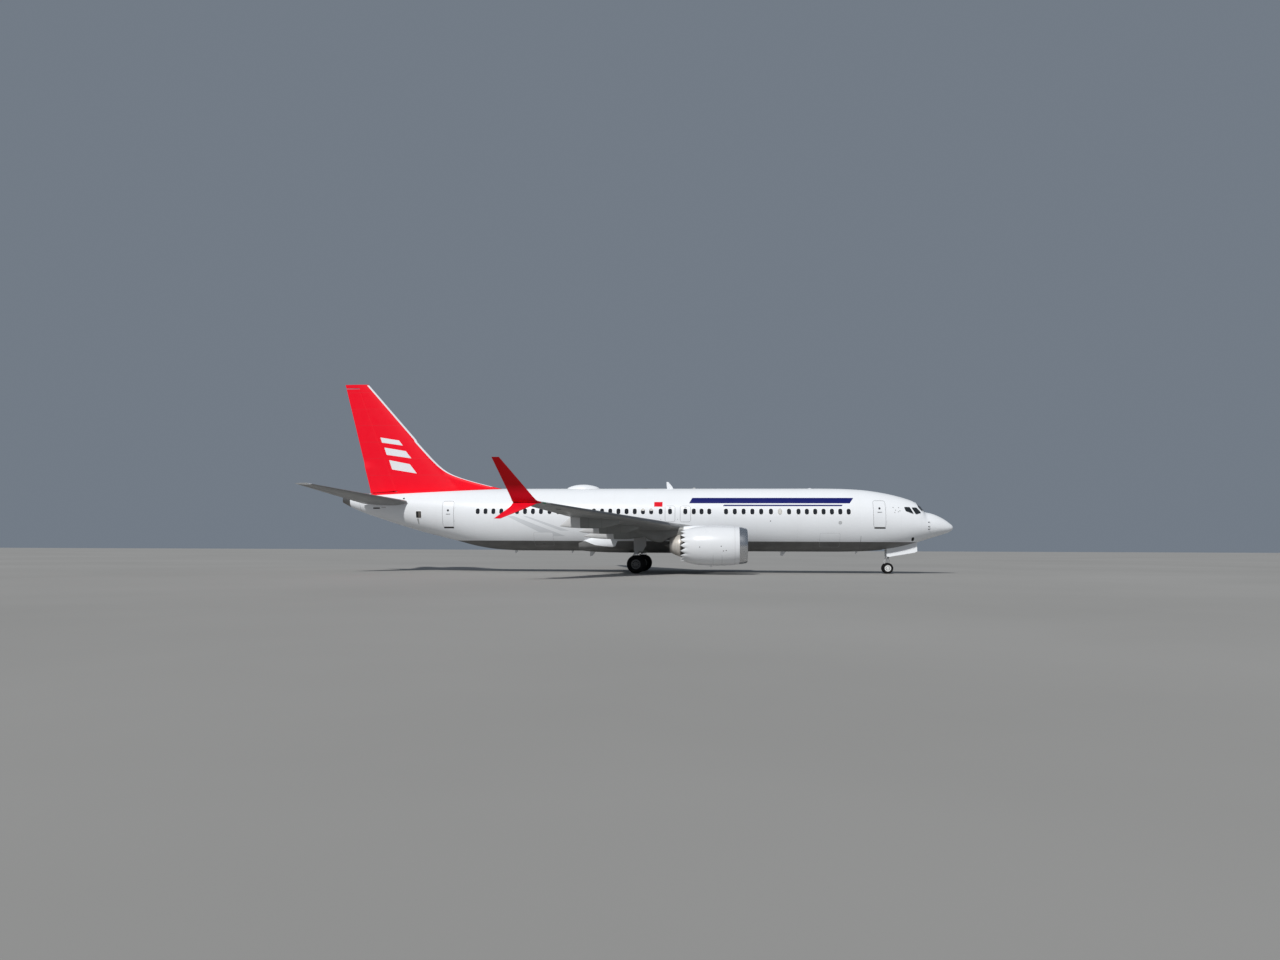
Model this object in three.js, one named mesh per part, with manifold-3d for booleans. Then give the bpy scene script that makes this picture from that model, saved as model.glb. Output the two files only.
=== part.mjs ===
// A single-aisle twin-jet airliner parked on its gear, at full size.
// Millimetres. +X points forward, +Y to port (the left wing), +Z up. The origin is on the ground,
// below the middle of the overall length. A "station" is the distance aft of the nose tip, and
// "out" is the distance out from the centreline, so one table serves both sides.
import * as THREE from "three";
import { mergeVertices } from "three/addons/utils/BufferGeometryUtils.js";
import Module from "manifold-3d";

const wasm = await Module();
wasm.setup();

// Driving dimensions
const LENGTH = 39520;
const NOSE_X = LENGTH / 2;
const SEAM = 0.4; // between fixed pieces that meet
const PANEL_GAP = 12; // around a flap or a fixed panel
const SWING_GAP = 26; // beside the ends of a moving surface
const COVE_GAP = 20; // around the round nose of a moving surface
const SIDES = { left: 1, right: -1 };

const FUSELAGE_SIDES = 28;
// The outline of the body: station, top, bottom, half width, height of the widest point
const BODY = [
  [0, 2890, 2890, 0, 2890],
  [60, 3015, 2765, 165, 2888],
  [210, 3170, 2640, 335, 2888],
  [600, 3450, 2490, 600, 2900],
  [1000, 3660, 2362, 805, 2930],
  [1400, 3800, 2235, 970, 2975],
  [1770, 3885, 2115, 1105, 3020],
  [2060, 4240, 2020, 1210, 3060],
  [2400, 4510, 1915, 1315, 3110],
  [3000, 4745, 1745, 1460, 3190],
  [3730, 4945, 1590, 1590, 3280],
  [4700, 5140, 1460, 1720, 3370],
  [5720, 5270, 1395, 1815, 3440],
  [7200, 5345, 1363, 1870, 3475],
  [8600, 5360, 1360, 1880, 3480],
  [27250, 5360, 1360, 1880, 3480],
  [28830, 5360, 1430, 1868, 3510],
  [30170, 5358, 1620, 1810, 3600],
  [31500, 5340, 1950, 1700, 3740],
  [32800, 5300, 2270, 1560, 3890],
  [33800, 5260, 2520, 1435, 4010],
  [34800, 5215, 2800, 1285, 4140],
  [35840, 5160, 3110, 1100, 4270],
  [36860, 5100, 3440, 895, 4390],
  [37900, 5010, 3790, 655, 4480],
  [38760, 4905, 4140, 400, 4550],
  [39330, 4785, 4430, 180, 4610],
];
// The stations where one section of the body ends and the next begins
const BODY_SECTIONS = [
  ["radome", 0, 1250],
  ["forward_fuselage", 1250, 11500],
  ["centre_fuselage", 11500, 22500],
  ["aft_fuselage", 22500, 33300],
  ["tail_section", 33300, 38760],
];

const GLAZING = { front: 1690, back: 3330, low: 3640, high: 4160, thick: 30 };
const APU_OUTLET = { front: 38760, back: 39330, wall: 30, depth: 330 };

// The wing-body fairing: station, top, bottom, half width
const FAIRING = [
  [12700, 2100, 1420, 900],
  [13400, 2420, 1330, 1480],
  [14600, 2760, 1262, 1760],
  [16500, 2930, 1240, 1840],
  [19600, 2930, 1240, 1840],
  [21600, 2740, 1255, 1740],
  [22700, 2430, 1300, 1560],
  [23500, 2050, 1370, 1250],
];
const FAIRING_SIDES = 20;
const WHEEL_WELL = { station: 19690, out: 930, radius: 640, top: 1760, armHalf: 210, armOut: 2150 };

// The wing: out, leading edge, chord, height of the chord, thickness over chord, nose-up twist
const WING = [
  [900, 14215, 7271, 2320, 0.145, 1.0],
  [4900, 16930, 4585, 2780, 0.125, 0.5],
  [5750, 17363, 4157, 2870, 0.122, 0.3],
  [12000, 20550, 2581, 3340, 0.11, -0.4],
  [17000, 23100, 1320, 3700, 0.105, -1.0],
];
const WING_CAMBER = 0.014;
const FLAPS = { inner: [1900, 5690], outer: [5740, 12290], share: 0.735, innerFront: 20180 };
const AILERON = { from: 12340, to: 16260, hinge: 0.76, travel: 20 };

// The split winglet: out, leading edge, height, chord, thickness over chord, lean of the section
const WINGLET_UP = [
  [17000, 23100, 3700, 1320, 0.105, 0],
  [17230, 23235, 3752, 1215, 0.1, 22],
  [17420, 23390, 3915, 1085, 0.09, 52],
  [17540, 23590, 4165, 985, 0.085, 72],
  [17950, 24950, 5780, 355, 0.08, 74],
];
const WINGLET_DOWN = [
  [17060, 23180, 3705, 1250, 0.09, -12],
  [17300, 23420, 3560, 1030, 0.085, -50],
  [17850, 24840, 2910, 320, 0.08, -54],
];

// The fin: height, leading edge, trailing edge, thickness over chord
const FIN = [
  [4650, 30987, 37327, 0.11],
  [8290, 34245, 38320, 0.105],
  [12290, 37826, 39400, 0.1],
];
// The dorsal fillet ahead of the fin, as station and height
const DORSAL = [
  [27900, 4900],
  [27900, 5180],
  [28900, 5385],
  [32170, 6350],
  [32750, 6720],
  [33230, 7160],
  [34600, 8600],
  [35200, 4900],
];
const DORSAL_THICK = 240;
const RUDDER = { footStation: 35750, footHeight: 5200, topStation: 38440, topHeight: 11990 };
const RUDDER_LIFT = 34; // between the rudder's foot and the body
const RUDDER_CAP_GAP = 62; // the swept rudder rises as it swings

// The tailplane: out, leading edge, trailing edge, height, thickness over chord
const TAILPLANE = [
  [560, 34038, 37656, 4325, 0.11],
  [7175, 38700, 39520, 5260, 0.09],
];
const TAILPLANE_ROOT = { front: [34300, 1450], back: [38300, 640] }; // station and out of its root
const TAILPLANE_PIVOT = { station: 36250, height: 4390, radius: 90, reach: 420 };
const PIN_SIDES = 20;
const ELEVATOR = { hinge: 0.7, to: 6900 };

// Flap-track fairings: their nose starts below the wing, and their tail reaches past its trailing edge
const FLAP_FAIRINGS = {
  inner: { out: 4250, front: 18750, back: 22800, half: 175, nose: 2330, low: 2070, tip: 2230 },
  middle: { out: 7000, front: 19250, back: 22700, half: 160, nose: 2660, low: 2345, tip: 2470 },
  outer: { out: 10200, front: 20000, back: 23300, half: 145, nose: 2900, low: 2600, tip: 2720 },
};
const FAIRING_DEEPEST = 0.42; // share of a flap-track fairing's length
const FAIRING_ARCH = 0.3; // how far its top bulges, over its half width
const FAIRING_RINGS = 12;
const FAIRING_POINTS = 14;
const THINNEST = 4;

const ENGINE_OUT = 4830;
const ENGINE_HEIGHT = 1715;
const CHEVRONS = 18;
// The nacelle's outside from the lip's back edge, then its inside from the trailing edge forward
const NACELLE = [
  [13470, 1088],
  [14000, 1143],
  [14900, 1174],
  [15900, 1126],
  [16760, 938],
  [16760, 914],
  [15500, 1000],
  [14600, 950],
  [14330, 886],
  [13470, 886],
];
const NACELLE_TEETH = [4, 5]; // rows of NACELLE that carry the chevrons
const CHEVRON_DEPTH = 145;
const LIP = [
  [13470, 1088],
  [13180, 1048],
  [13040, 1006],
  [12992, 964],
  [13030, 915],
  [13180, 874],
  [13470, 886],
];
const FAN = { station: 13950, radius: 872, hub: 270, chord: 250, blades: 18, tip: 13480 };
const CORE = [
  [14270, 0],
  [14270, 300],
  [15200, 580],
  [16000, 690],
  [16900, 665],
  [17200, 570],
  [17560, 395],
  [17560, 345],
  [17300, 355],
  [17300, 255],
  [17600, 205],
  [17900, 0],
];
const VANES = { count: 6, station: 14420, chord: 150, thick: 26, reach: 905 };
const PYLON = {
  // station and height of the side view
  side: [
    [14560, 2700],
    [14900, 2850],
    [15700, 2890],
    [16500, 2860],
    [16930, 2815],
    [17500, 2800],
    [19300, 2760],
    [19650, 2700],
    [19550, 2540],
    [19080, 2220],
    [18640, 1975],
    [18090, 1890],
    [17800, 1985],
    [17560, 2125],
    [17100, 2180],
    [15900, 2230],
    [15300, 2400],
  ],
  // station and half width of the view from above
  plan: [
    [14500, 0],
    [15000, 120],
    [15900, 205],
    [17500, 215],
    [18800, 150],
    [19700, 0],
  ],
};

const MAIN_GEAR = { station: 19690, out: 2860, tyre: 565, width: 400, spacing: 864, rim: 285 };
const NOSE_GEAR = { station: 4090, out: 0, tyre: 343, width: 190, spacing: 400, rim: 190 };
const TYRE_STEPS = 24;
const NOSE_BAY = { front: 2300, back: 4450, half: 300, top: 2150 };
// The lower edge of an open nose door slopes from its high front to its low back
const NOSE_DOOR = { front: 2290, back: 4180, out: 342, thick: 32, highFront: 1360, lowBack: 1030 };

// Members of the gear legs: both ends as distance aft of the axle, outward of the leg, and height,
// then the radius at each end and the number of sides
const MAIN_MEMBERS = [
  { from: [0, 0, 2550], to: [0, 0, 1180], radii: [138, 138], sides: 16 },
  { from: [0, 0, 1180], to: [0, 0, 560], radii: [88, 88], sides: 16 },
  { from: [0, -130, 560], to: [0, 130, 560], radii: [112, 112], sides: 20 },
  { from: [150, 0, 1220], to: [330, 0, 960], radii: [42, 34], sides: 8 },
  { from: [330, 0, 960], to: [110, 0, 690], radii: [34, 42], sides: 8 },
  { from: [60, 0, 1220], to: [170, 0, 1220], radii: [45, 45], sides: 8 },
  { from: [20, 0, 690], to: [120, 0, 690], radii: [42, 42], sides: 8 },
  { from: [0, -40, 1330], to: [40, -1160, 1640], radii: [58, 50], sides: 10 },
  { from: [-60, 0, 1420], to: [-620, 0, 2550], radii: [46, 46], sides: 10 },
  { from: [0, 0, 1500], to: [0, 168, 1540], radii: [34, 34], sides: 8 },
  { from: [0, 0, 1850], to: [0, 168, 1890], radii: [34, 34], sides: 8 },
];
const NOSE_MEMBERS = [
  { from: [0, 0, 1060], to: [0, 0, 2050], radii: [92, 92], sides: 16 },
  { from: [0, -298, 1960], to: [0, 298, 1960], radii: [60, 60], sides: 12 },
  { from: [-60, 0, 1240], to: [-900, 0, 2060], radii: [48, 42], sides: 10 },
  { from: [-900, -298, 2060], to: [-900, 298, 2060], radii: [44, 44], sides: 12 },
];
const FORK_MEMBERS = [
  { from: [0, 0, 1054], to: [0, 0, 924], radii: [112, 112], sides: 20 },
  { from: [0, 0, 1054], to: [0, 0, 340], radii: [58, 58], sides: 16 },
  { from: [0, -78, 340], to: [0, 78, 340], radii: [84, 84], sides: 20 },
  { from: [90, 0, 980], to: [215, 0, 780], radii: [30, 26], sides: 8 },
  { from: [215, 0, 780], to: [70, 0, 430], radii: [26, 30], sides: 8 },
  { from: [20, 0, 430], to: [80, 0, 430], radii: [32, 32], sides: 8 },
];
const AXLE_BORE = { main: 68, nose: 52, reach: 200 };
// The door on the main leg, as distance aft of the axle and height
const LEG_DOOR = {
  outline: [
    [-600, 1700],
    [-380, 1330],
    [150, 1350],
    [170, 1950],
    [60, 2550],
    [-600, 2550],
  ],
  out: 150,
  thick: 36,
};
const TOW_FITTING = { front: 190, back: 40, half: 60, low: 440, high: 500 };

// Materials: colour, roughness, metalness
const material = (color, roughness, metalness) =>
  new THREE.MeshStandardMaterial({ color, roughness, metalness });
const WHITE = material(0xeef0f2, 0.28, 0.0);
const RED = material(0xe0142a, 0.3, 0.0);
const WING_GREY = material(0x9a9d9f, 0.42, 0.25);
const POLISHED = material(0xb4b8bd, 0.22, 0.95);
const HOT_METAL = material(0x7d7468, 0.42, 0.85);
const FAN_METAL = material(0x4a4d52, 0.4, 0.8);
const GEAR_PAINT = material(0xbfc3c6, 0.42, 0.2);
const HUB_PAINT = material(0xe4e4e0, 0.4, 0.15);
const RUBBER = material(0x17181a, 0.85, 0.0);
const GLASS = material(0x14181c, 0.12, 0.0);

// Geometry helpers

// A closed BufferGeometry as a solid that manifold-3d can join and cut
function solid(geometry) {
  const bare = geometry.index ? geometry.toNonIndexed() : geometry.clone();
  const plain = new THREE.BufferGeometry().setAttribute("position", bare.getAttribute("position"));
  const merged = mergeVertices(plain, 1e-3);
  const index = Array.from(merged.index.array);
  const kept = [];
  for (let i = 0; i < index.length; i += 3) {
    const [a, b, c] = index.slice(i, i + 3);
    if (a !== b && b !== c && a !== c) kept.push(a, b, c);
  }
  const build = (order) =>
    new wasm.Manifold(
      new wasm.Mesh({
        numProp: 3,
        vertProperties: merged.attributes.position.array,
        triVerts: new Uint32Array(order),
      }),
    );
  const made = build(kept);
  if (made.volume() > 0) return made;
  for (let i = 0; i < kept.length; i += 3) [kept[i + 1], kept[i + 2]] = [kept[i + 2], kept[i + 1]];
  return build(kept);
}

const join = (...solids) => solids.reduce((whole, piece) => whole.add(piece));
const cut = (whole, ...tools) => tools.reduce((rest, tool) => rest.subtract(tool), whole);

// The largest body of a solid, without the slivers that a cut can leave
function largest(whole) {
  return whole.decompose().reduce((best, body) => (body.volume() > best.volume() ? body : best));
}

function mesh(name, shape, look) {
  const data = shape.getMesh();
  const position = new Float32Array(data.numVert * 3);
  for (let i = 0; i < data.numVert; i++)
    position.set(data.vertProperties.subarray(i * data.numProp, i * data.numProp + 3), i * 3);
  const geometry = new THREE.BufferGeometry()
    .setAttribute("position", new THREE.BufferAttribute(position, 3))
    .setIndex(new THREE.BufferAttribute(new Uint32Array(data.triVerts), 1));
  const made = new THREE.Mesh(geometry.toNonIndexed(), look);
  made.geometry.computeVertexNormals();
  made.name = name;
  return made;
}

// A skin over rings of points. A ring of one point is a tip; loop joins the last ring to the first.
function skin(rings, loop = false) {
  const corners = [];
  const face = (...points) => points.forEach((p) => corners.push(...p));
  const count = rings.length;
  for (let i = 0; i < (loop ? count : count - 1); i++) {
    const a = rings[i];
    const b = rings[(i + 1) % count];
    const steps = Math.max(a.length, b.length);
    for (let j = 0; j < steps; j++) {
      const k = (j + 1) % steps;
      if (a.length === 1) face(a[0], b[k], b[j]);
      else if (b.length === 1) face(a[j], a[k], b[0]);
      else {
        face(a[j], a[k], b[k]);
        face(a[j], b[k], b[j]);
      }
    }
  }
  if (!loop)
    for (const [ring, flip] of [
      [rings[0], true],
      [rings[count - 1], false],
    ]) {
      if (ring.length === 1) continue;
      const middle = [0, 1, 2].map((c) => ring.reduce((sum, p) => sum + p[c], 0) / ring.length);
      ring.forEach((p, j) => {
        const q = ring[(j + 1) % ring.length];
        if (flip) face(middle, q, p);
        else face(middle, p, q);
      });
    }
  return solid(
    new THREE.BufferGeometry().setAttribute(
      "position",
      new THREE.Float32BufferAttribute(corners, 3),
    ),
  );
}

// The columns of a table at a station, by a curve through its rows that never overshoots
function at(table, station) {
  const last = table.length - 1;
  let i = table.findIndex((row) => row[0] > station) - 1;
  if (i === -2) i = last - 1;
  i = Math.min(Math.max(i, 0), last - 1);
  const width = (k) => table[k + 1][0] - table[k][0];
  const slope = (k, c) => (table[k + 1][c] - table[k][c]) / width(k);
  const tangent = (k, c) => {
    if (k === 0) return slope(0, c);
    if (k === last) return slope(last - 1, c);
    const [before, after] = [slope(k - 1, c), slope(k, c)];
    if (before * after <= 0) return 0;
    const [w1, w2] = [2 * width(k) + width(k - 1), width(k) + 2 * width(k - 1)];
    return (w1 + w2) / (w1 / before + w2 / after);
  };
  const h = width(i);
  const t = (station - table[i][0]) / h;
  return table[i].map((start, c) =>
    c === 0
      ? station
      : start * (1 + 2 * t) * (1 - t) ** 2 +
        table[i + 1][c] * t * t * (3 - 2 * t) +
        tangent(i, c) * h * t * (1 - t) ** 2 +
        tangent(i + 1, c) * h * t * t * (t - 1),
  );
}

// The columns of a table along straight lines between its rows
function along(table, key) {
  const last = table.length - 1;
  const found = table.findIndex((row) => row[0] > key) - 1;
  const i = Math.min(Math.max(found < 0 ? (key > table[last][0] ? last - 1 : 0) : found, 0), last - 1);
  const t = (key - table[i][0]) / (table[i + 1][0] - table[i][0]);
  return table[i].map((start, c) => start + (table[i + 1][c] - start) * t);
}

function prism(outline, toPoint, from, to) {
  const shape = new THREE.Shape(outline.map(([u, v]) => new THREE.Vector2(u, v)));
  const made = new THREE.ExtrudeGeometry(shape, { depth: to - from, bevelEnabled: false });
  const position = made.getAttribute("position");
  for (let i = 0; i < position.count; i++) {
    const [x, y, z] = toPoint(position.getX(i), position.getY(i), position.getZ(i) + from);
    position.setXYZ(i, x, y, z);
  }
  return solid(made);
}
// An outline of station and height, drawn out sideways from one out to another
const sidePrism = (outline, from, to, side = 1) =>
  prism(outline, (station, height, out) => [NOSE_X - station, side * out, height], from, to);
// An outline of station and out, drawn up from one height to another
const planPrism = (outline, from, to, side = 1) =>
  prism(outline, (station, out, height) => [NOSE_X - station, side * out, height], from, to);
// A box between two corners of station, out and height
const block = ([s0, o0, h0], [s1, o1, h1], side = 1) =>
  sidePrism([[s0, h0], [s1, h0], [s1, h1], [s0, h1]], o0, o1, side);

// A round bar between two points, which may taper
function bar(from, to, radius, endRadius = radius, steps = 10) {
  const [a, b] = [new THREE.Vector3(...from), new THREE.Vector3(...to)];
  const made = new THREE.CylinderGeometry(endRadius, radius, a.distanceTo(b), steps);
  const turn = new THREE.Quaternion().setFromUnitVectors(
    new THREE.Vector3(0, 1, 0),
    b.clone().sub(a).normalize(),
  );
  made.applyQuaternion(turn);
  made.translate(...a.clone().add(b).multiplyScalar(0.5).toArray());
  return solid(made);
}
const point = (station, out, height, side = 1) => [NOSE_X - station, side * out, height];

// Half the thickness of a wing section of unit chord and thickness, at a share of its chord
const halfThickness = (x) =>
  5 * (0.2969 * Math.sqrt(x) - 0.126 * x - 0.3516 * x ** 2 + 0.2843 * x ** 3 - 0.1015 * x ** 4);

const SECTION_STEPS = 7;
const BLUNT_EDGE = 5; // half the thickness of a trailing edge

// The points round a wing section. lean turns its thickness from upright towards the centreline.
function sectionRing({ out, lead, height, chord, ratio, twist = 0, camber = 0, lean = 0 }, side, grow = 0) {
  const shares = Array.from(
    { length: SECTION_STEPS + 1 },
    (_, i) => (1 - Math.cos((Math.PI * i) / SECTION_STEPS)) / 2,
  );
  const turn = THREE.MathUtils.degToRad(twist);
  const tilt = THREE.MathUtils.degToRad(lean);
  const place = (share, sign) => {
    const thick = ratio * chord * halfThickness(share) + BLUNT_EDGE * share + (share ? grow : 0);
    const u = (share - 0.25) * chord + grow * (2 * share - 1);
    const v = sign * thick + camber * chord * 4 * share * (1 - share);
    const back = u * Math.cos(turn) + v * Math.sin(turn);
    const up = v * Math.cos(turn) - u * Math.sin(turn);
    return [
      NOSE_X - (lead + 0.25 * chord + back),
      side * (out - up * Math.sin(tilt)),
      height + up * Math.cos(tilt),
    ];
  };
  return [
    ...shares.toReversed().map((share) => place(share, 1)),
    ...shares.slice(1).map((share) => place(share, -1)),
  ];
}

// Body

function bodyRing(station, grow = 0) {
  const [, top, bottom, half, widest] = at(BODY, station);
  return Array.from({ length: FUSELAGE_SIDES }, (_, i) => {
    const angle = (2 * Math.PI * i) / FUSELAGE_SIDES;
    const rise = Math.cos(angle) >= 0 ? top - widest : widest - bottom;
    return [
      NOSE_X - station,
      (half + grow) * Math.sin(angle),
      widest + (rise + grow) * Math.cos(angle),
    ];
  });
}

// Every station that has a ring of its own, so that all solids cut from the body share one skin
const STATIONS = [...BODY.map((row) => row[0]), ...BODY_SECTIONS.map((row) => row[2])]
  .sort((a, b) => a - b)
  .filter((station, i, all) => station !== all[i - 1]);

function bodySolid(from, to, grow = 0) {
  const between = STATIONS.filter((s) => s > from + 40 && s < to - 40);
  const rings = [from, ...between, to].map((s) =>
    s === 0 ? [[NOSE_X + grow, 0, BODY[0][1]]] : bodyRing(s, grow),
  );
  return skin(rings);
}

const wholeBody = bodySolid(0, 38760, SEAM);

function fairingSolid(grow = 0) {
  const rings = FAIRING.map(([station, top, bottom, half]) =>
    Array.from({ length: FAIRING_SIDES }, (_, i) => {
      const angle = (2 * Math.PI * i) / FAIRING_SIDES;
      const boxy = (value) => Math.sign(value) * Math.abs(value) ** 0.72;
      return [
        NOSE_X - station,
        (half + grow) * boxy(Math.sin(angle)),
        (top + bottom) / 2 + ((top - bottom) / 2 + grow) * boxy(Math.cos(angle)),
      ];
    }),
  );
  return skin(rings);
}
const fairingTool = fairingSolid(SEAM);

function wheelWells() {
  const { station, out, radius, top, armHalf, armOut } = WHEEL_WELL;
  return Object.values(SIDES).map((side) =>
    join(
      bar(point(station, out, 900, side), point(station, out, top, side), radius, radius, 28),
      block([station - armHalf, out, 900], [station + armHalf, armOut, top - 60], side),
    ),
  );
}
const wells = wheelWells();

const glazingBand = (grow) => {
  const { front, back, low, high, thick } = GLAZING;
  const outside = bodySolid(1250, 5000, grow);
  const inside = bodySolid(1200, 5050, -thick - grow);
  const shell = cut(outside, inside);
  const side = sidePrism(
    [
      [front - grow, low + 190 - grow],
      [front + 520, low - grow],
      [back + grow, low + 150 - grow],
      [back - 60 + grow, high + 30 + grow],
      [front + 900, high + 40 + grow],
      [front + 430, high + 90 + grow],
      [front - grow, low + 250],
    ],
    -1700,
    1700,
  );
  return largest(shell.intersect(side));
};

function fuselageNodes() {
  const bay = block([NOSE_BAY.front, -NOSE_BAY.half, 1000], [NOSE_BAY.back, NOSE_BAY.half, NOSE_BAY.top]);
  const { station, height, radius, reach } = TAILPLANE_PIVOT;
  const bearing = bar(
    point(station, -1500, height),
    point(station, 1500, height),
    radius + 6,
    radius + 6,
    20,
  );
  const inner = 1000 - reach;
  const core = block([station - 60, -inner, height - 300], [station + 60, inner, height + 300]);
  const cuts = {
    forward_fuselage: [bay, glazingBand(SEAM)],
    centre_fuselage: wells,
    tail_section: [cut(bearing, core)],
  };
  return BODY_SECTIONS.map(([name, from, to]) => {
    const shape = bodySolid(from ? from + SEAM / 2 : 0, to - SEAM / 2);
    return mesh(name, largest(cut(shape, ...(cuts[name] ?? []))), WHITE);
  });
}

function apuOutlet() {
  const { front, back, wall, depth } = APU_OUTLET;
  const outside = bodySolid(front + SEAM, back);
  const bore = skin([bodyRing(back - depth, -wall * 1.6), bodyRing(back + 5, -wall)]);
  return mesh("apu_exhaust", cut(outside, bore), HOT_METAL);
}

function fairing() {
  return mesh("wing_body_fairing", largest(cut(fairingSolid(), wholeBody, ...wells)), WHITE);
}

function roofPieces() {
  const dome = [
    [22300, 20, 5300],
    [22650, 420, 5540],
    [23050, 520, 5625],
    [23700, 520, 5625],
    [24100, 420, 5540],
    [24480, 20, 5300],
  ];
  const rings = dome.map(([station, half, top]) =>
    Array.from({ length: 14 }, (_, i) => {
      const angle = (Math.PI * i) / 13;
      const rise = Math.max(Math.sin(angle), 0) ** 0.8;
      return point(station, half * Math.cos(angle), 5200 + (top - 5200) * rise);
    }),
  );
  const blade = skin([
    sectionRing({ out: 0, lead: 17600, height: 5300, chord: 460, ratio: 0.12, lean: 90 }, 1).map((p) => [
      p[0],
      p[1],
      5300,
    ]),
    sectionRing({ out: 0, lead: 17960, height: 5790, chord: 190, ratio: 0.12, lean: 90 }, 1).map((p) => [
      p[0],
      p[1],
      5790,
    ]),
  ]);
  return [
    mesh("satcom_fairing", largest(cut(skin(rings), wholeBody)), WHITE),
    mesh("vhf_antenna", largest(cut(blade, wholeBody)), WHITE),
  ];
}

// Wing

const wingRow = ([out, lead, chord, height, ratio, twist]) => ({
  out,
  lead,
  chord,
  height,
  ratio,
  twist,
  camber: WING_CAMBER,
});
const wingAt = (out) => wingRow(along(WING, out));
const wingSolid = (side, grow = 0) => skin(WING.map((row) => sectionRing(wingRow(row), side, grow)));

// A point of the wing's hinge line, half way through its thickness
function wingPoint(out, share, side) {
  const { lead, chord, height, twist, camber } = wingAt(out);
  const up = camber * chord * 4 * share * (1 - share);
  const drop = Math.sin(THREE.MathUtils.degToRad(twist)) * (share - 0.25) * chord;
  return point(lead + share * chord, out, height + up - drop, side);
}
const wingHalf = (out, share) => {
  const { chord, ratio } = wingAt(out);
  return ratio * chord * halfThickness(share) + BLUNT_EDGE * share;
};

function flapOutline(from, to, grow) {
  const inner = to < FLAPS.outer[0];
  const front = (out) => {
    const { lead, chord } = wingAt(out);
    return inner ? FLAPS.innerFront : lead + FLAPS.share * chord;
  };
  const back = (out) => wingAt(out).lead + wingAt(out).chord + 400;
  return [
    [front(from) - grow, from - grow],
    [back(from), from - grow],
    [back(to), to + grow],
    [front(to) - grow, to + grow],
  ];
}

function aileronOutline(grow) {
  const { from, to, hinge } = AILERON;
  const front = (out) => wingAt(out).lead + hinge * wingAt(out).chord;
  const back = (out) => wingAt(out).lead + wingAt(out).chord + 400;
  return [
    [front(from), from - grow],
    [back(from), from - grow],
    [back(to), to + grow],
    [front(to), to + grow],
  ];
}

// A tapered bar along a hinge line: the round nose of a moving surface, or the cove that it turns in
function hingeBar(pointAt, halfAt, from, to, share, side, grow) {
  return bar(
    pointAt(from, share, side),
    pointAt(to, share, side),
    halfAt(from, share) * 0.95 + grow,
    halfAt(to, share) * 0.95 + grow,
    24,
  );
}

// The top and bottom of a flap-track fairing at a share of its length. Its top lies inside the wing,
// and behind the wing it falls to the tip. Its bottom falls from the nose to its deepest point.
function fairingHeights({ out, front, back, nose, low, tip }, t, side) {
  const { lead, chord } = wingAt(out);
  const share = Math.min((front + (back - front) * t - lead) / chord, 1);
  const tail = (lead + chord - front) / (back - front);
  const past = Math.max(t - tail, 0) / (1 - tail);
  const inside = wingPoint(out, share, side)[2] - 0.25 * wingHalf(out, share);
  const top = inside + (tip - inside) * past;
  const sag = Math.min(t / FAIRING_DEEPEST, 1);
  const rise = Math.max(t - FAIRING_DEEPEST, 0) / (1 - FAIRING_DEEPEST);
  const bottom = nose - (nose - low) * Math.sin((Math.PI / 2) * sag) ** 0.8 + (tip - low) * rise ** 3;
  return [top, Math.min(bottom, top - THINNEST)];
}

function flapFairing(side, size) {
  const { out, front, back, half } = size;
  const rings = Array.from({ length: FAIRING_RINGS + 1 }, (_, i) => {
    const t = (1 - Math.cos((Math.PI * i) / FAIRING_RINGS)) / 2;
    const [top, bottom] = fairingHeights(size, t, side);
    const swell = half * Math.max(Math.sin(Math.PI * t), 0.001) ** 0.55 + THINNEST;
    return Array.from({ length: FAIRING_POINTS }, (_, j) => {
      const angle = (2 * Math.PI * j) / FAIRING_POINTS;
      const reach = Math.sin(angle) >= 0 ? top - bottom : FAIRING_ARCH * swell;
      const height = top - reach * Math.sign(Math.sin(angle)) * Math.abs(Math.sin(angle)) ** 0.8;
      return point(front + (back - front) * t, out + swell * Math.cos(angle), height, side);
    });
  });
  return skin(rings);
}

function wingNodes(name, side) {
  const whole = cut(wingSolid(side), wholeBody, fairingTool);
  const flapTool = (range, grow) => planPrism(flapOutline(...range, grow), 500, 5000, side);
  const flapCut = Object.values(FLAPS)
    .filter(Array.isArray)
    .map((range) => flapTool(range, PANEL_GAP));
  const { from, to, hinge } = AILERON;
  const aileronNose = hingeBar(wingPoint, wingHalf, from, to, hinge, side, 0);
  const cove = hingeBar(wingPoint, wingHalf, from - SWING_GAP, to + SWING_GAP, hinge, side, COVE_GAP);
  const aileronTool = planPrism(aileronOutline(0), 500, 5000, side);
  const aileronCut = planPrism(aileronOutline(SWING_GAP), 500, 5000, side);
  const pad = block([18370, 3370, 2270], [18510, 3510, 2740], side);
  const main = cut(whole, ...flapCut, aileronCut, cove);
  const skinTool = wingSolid(side, SEAM);
  const parts = {
    wing: largest(main),
    inboard_flap: largest(whole.intersect(flapTool(FLAPS.inner, 0))),
    outboard_flap: largest(whole.intersect(flapTool(FLAPS.outer, 0))),
    aileron: largest(join(whole.intersect(aileronTool), aileronNose.intersect(wingSolid(side)))),
    winglet: join(winglet(WINGLET_UP, side), winglet(WINGLET_DOWN, side)),
  };
  parts.jack_pad = largest(cut(pad, skinTool));
  const nodes = Object.entries(parts).map(([piece, shape]) =>
    mesh(`${name}_${piece}`, shape, piece === "winglet" ? RED : WING_GREY),
  );
  for (const [place, size] of Object.entries(FLAP_FAIRINGS)) {
    const shape = largest(cut(flapFairing(side, size), skinTool));
    nodes.push(mesh(`${name}_${place}_flap_fairing`, shape, WING_GREY));
  }
  return nodes;
}

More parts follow.
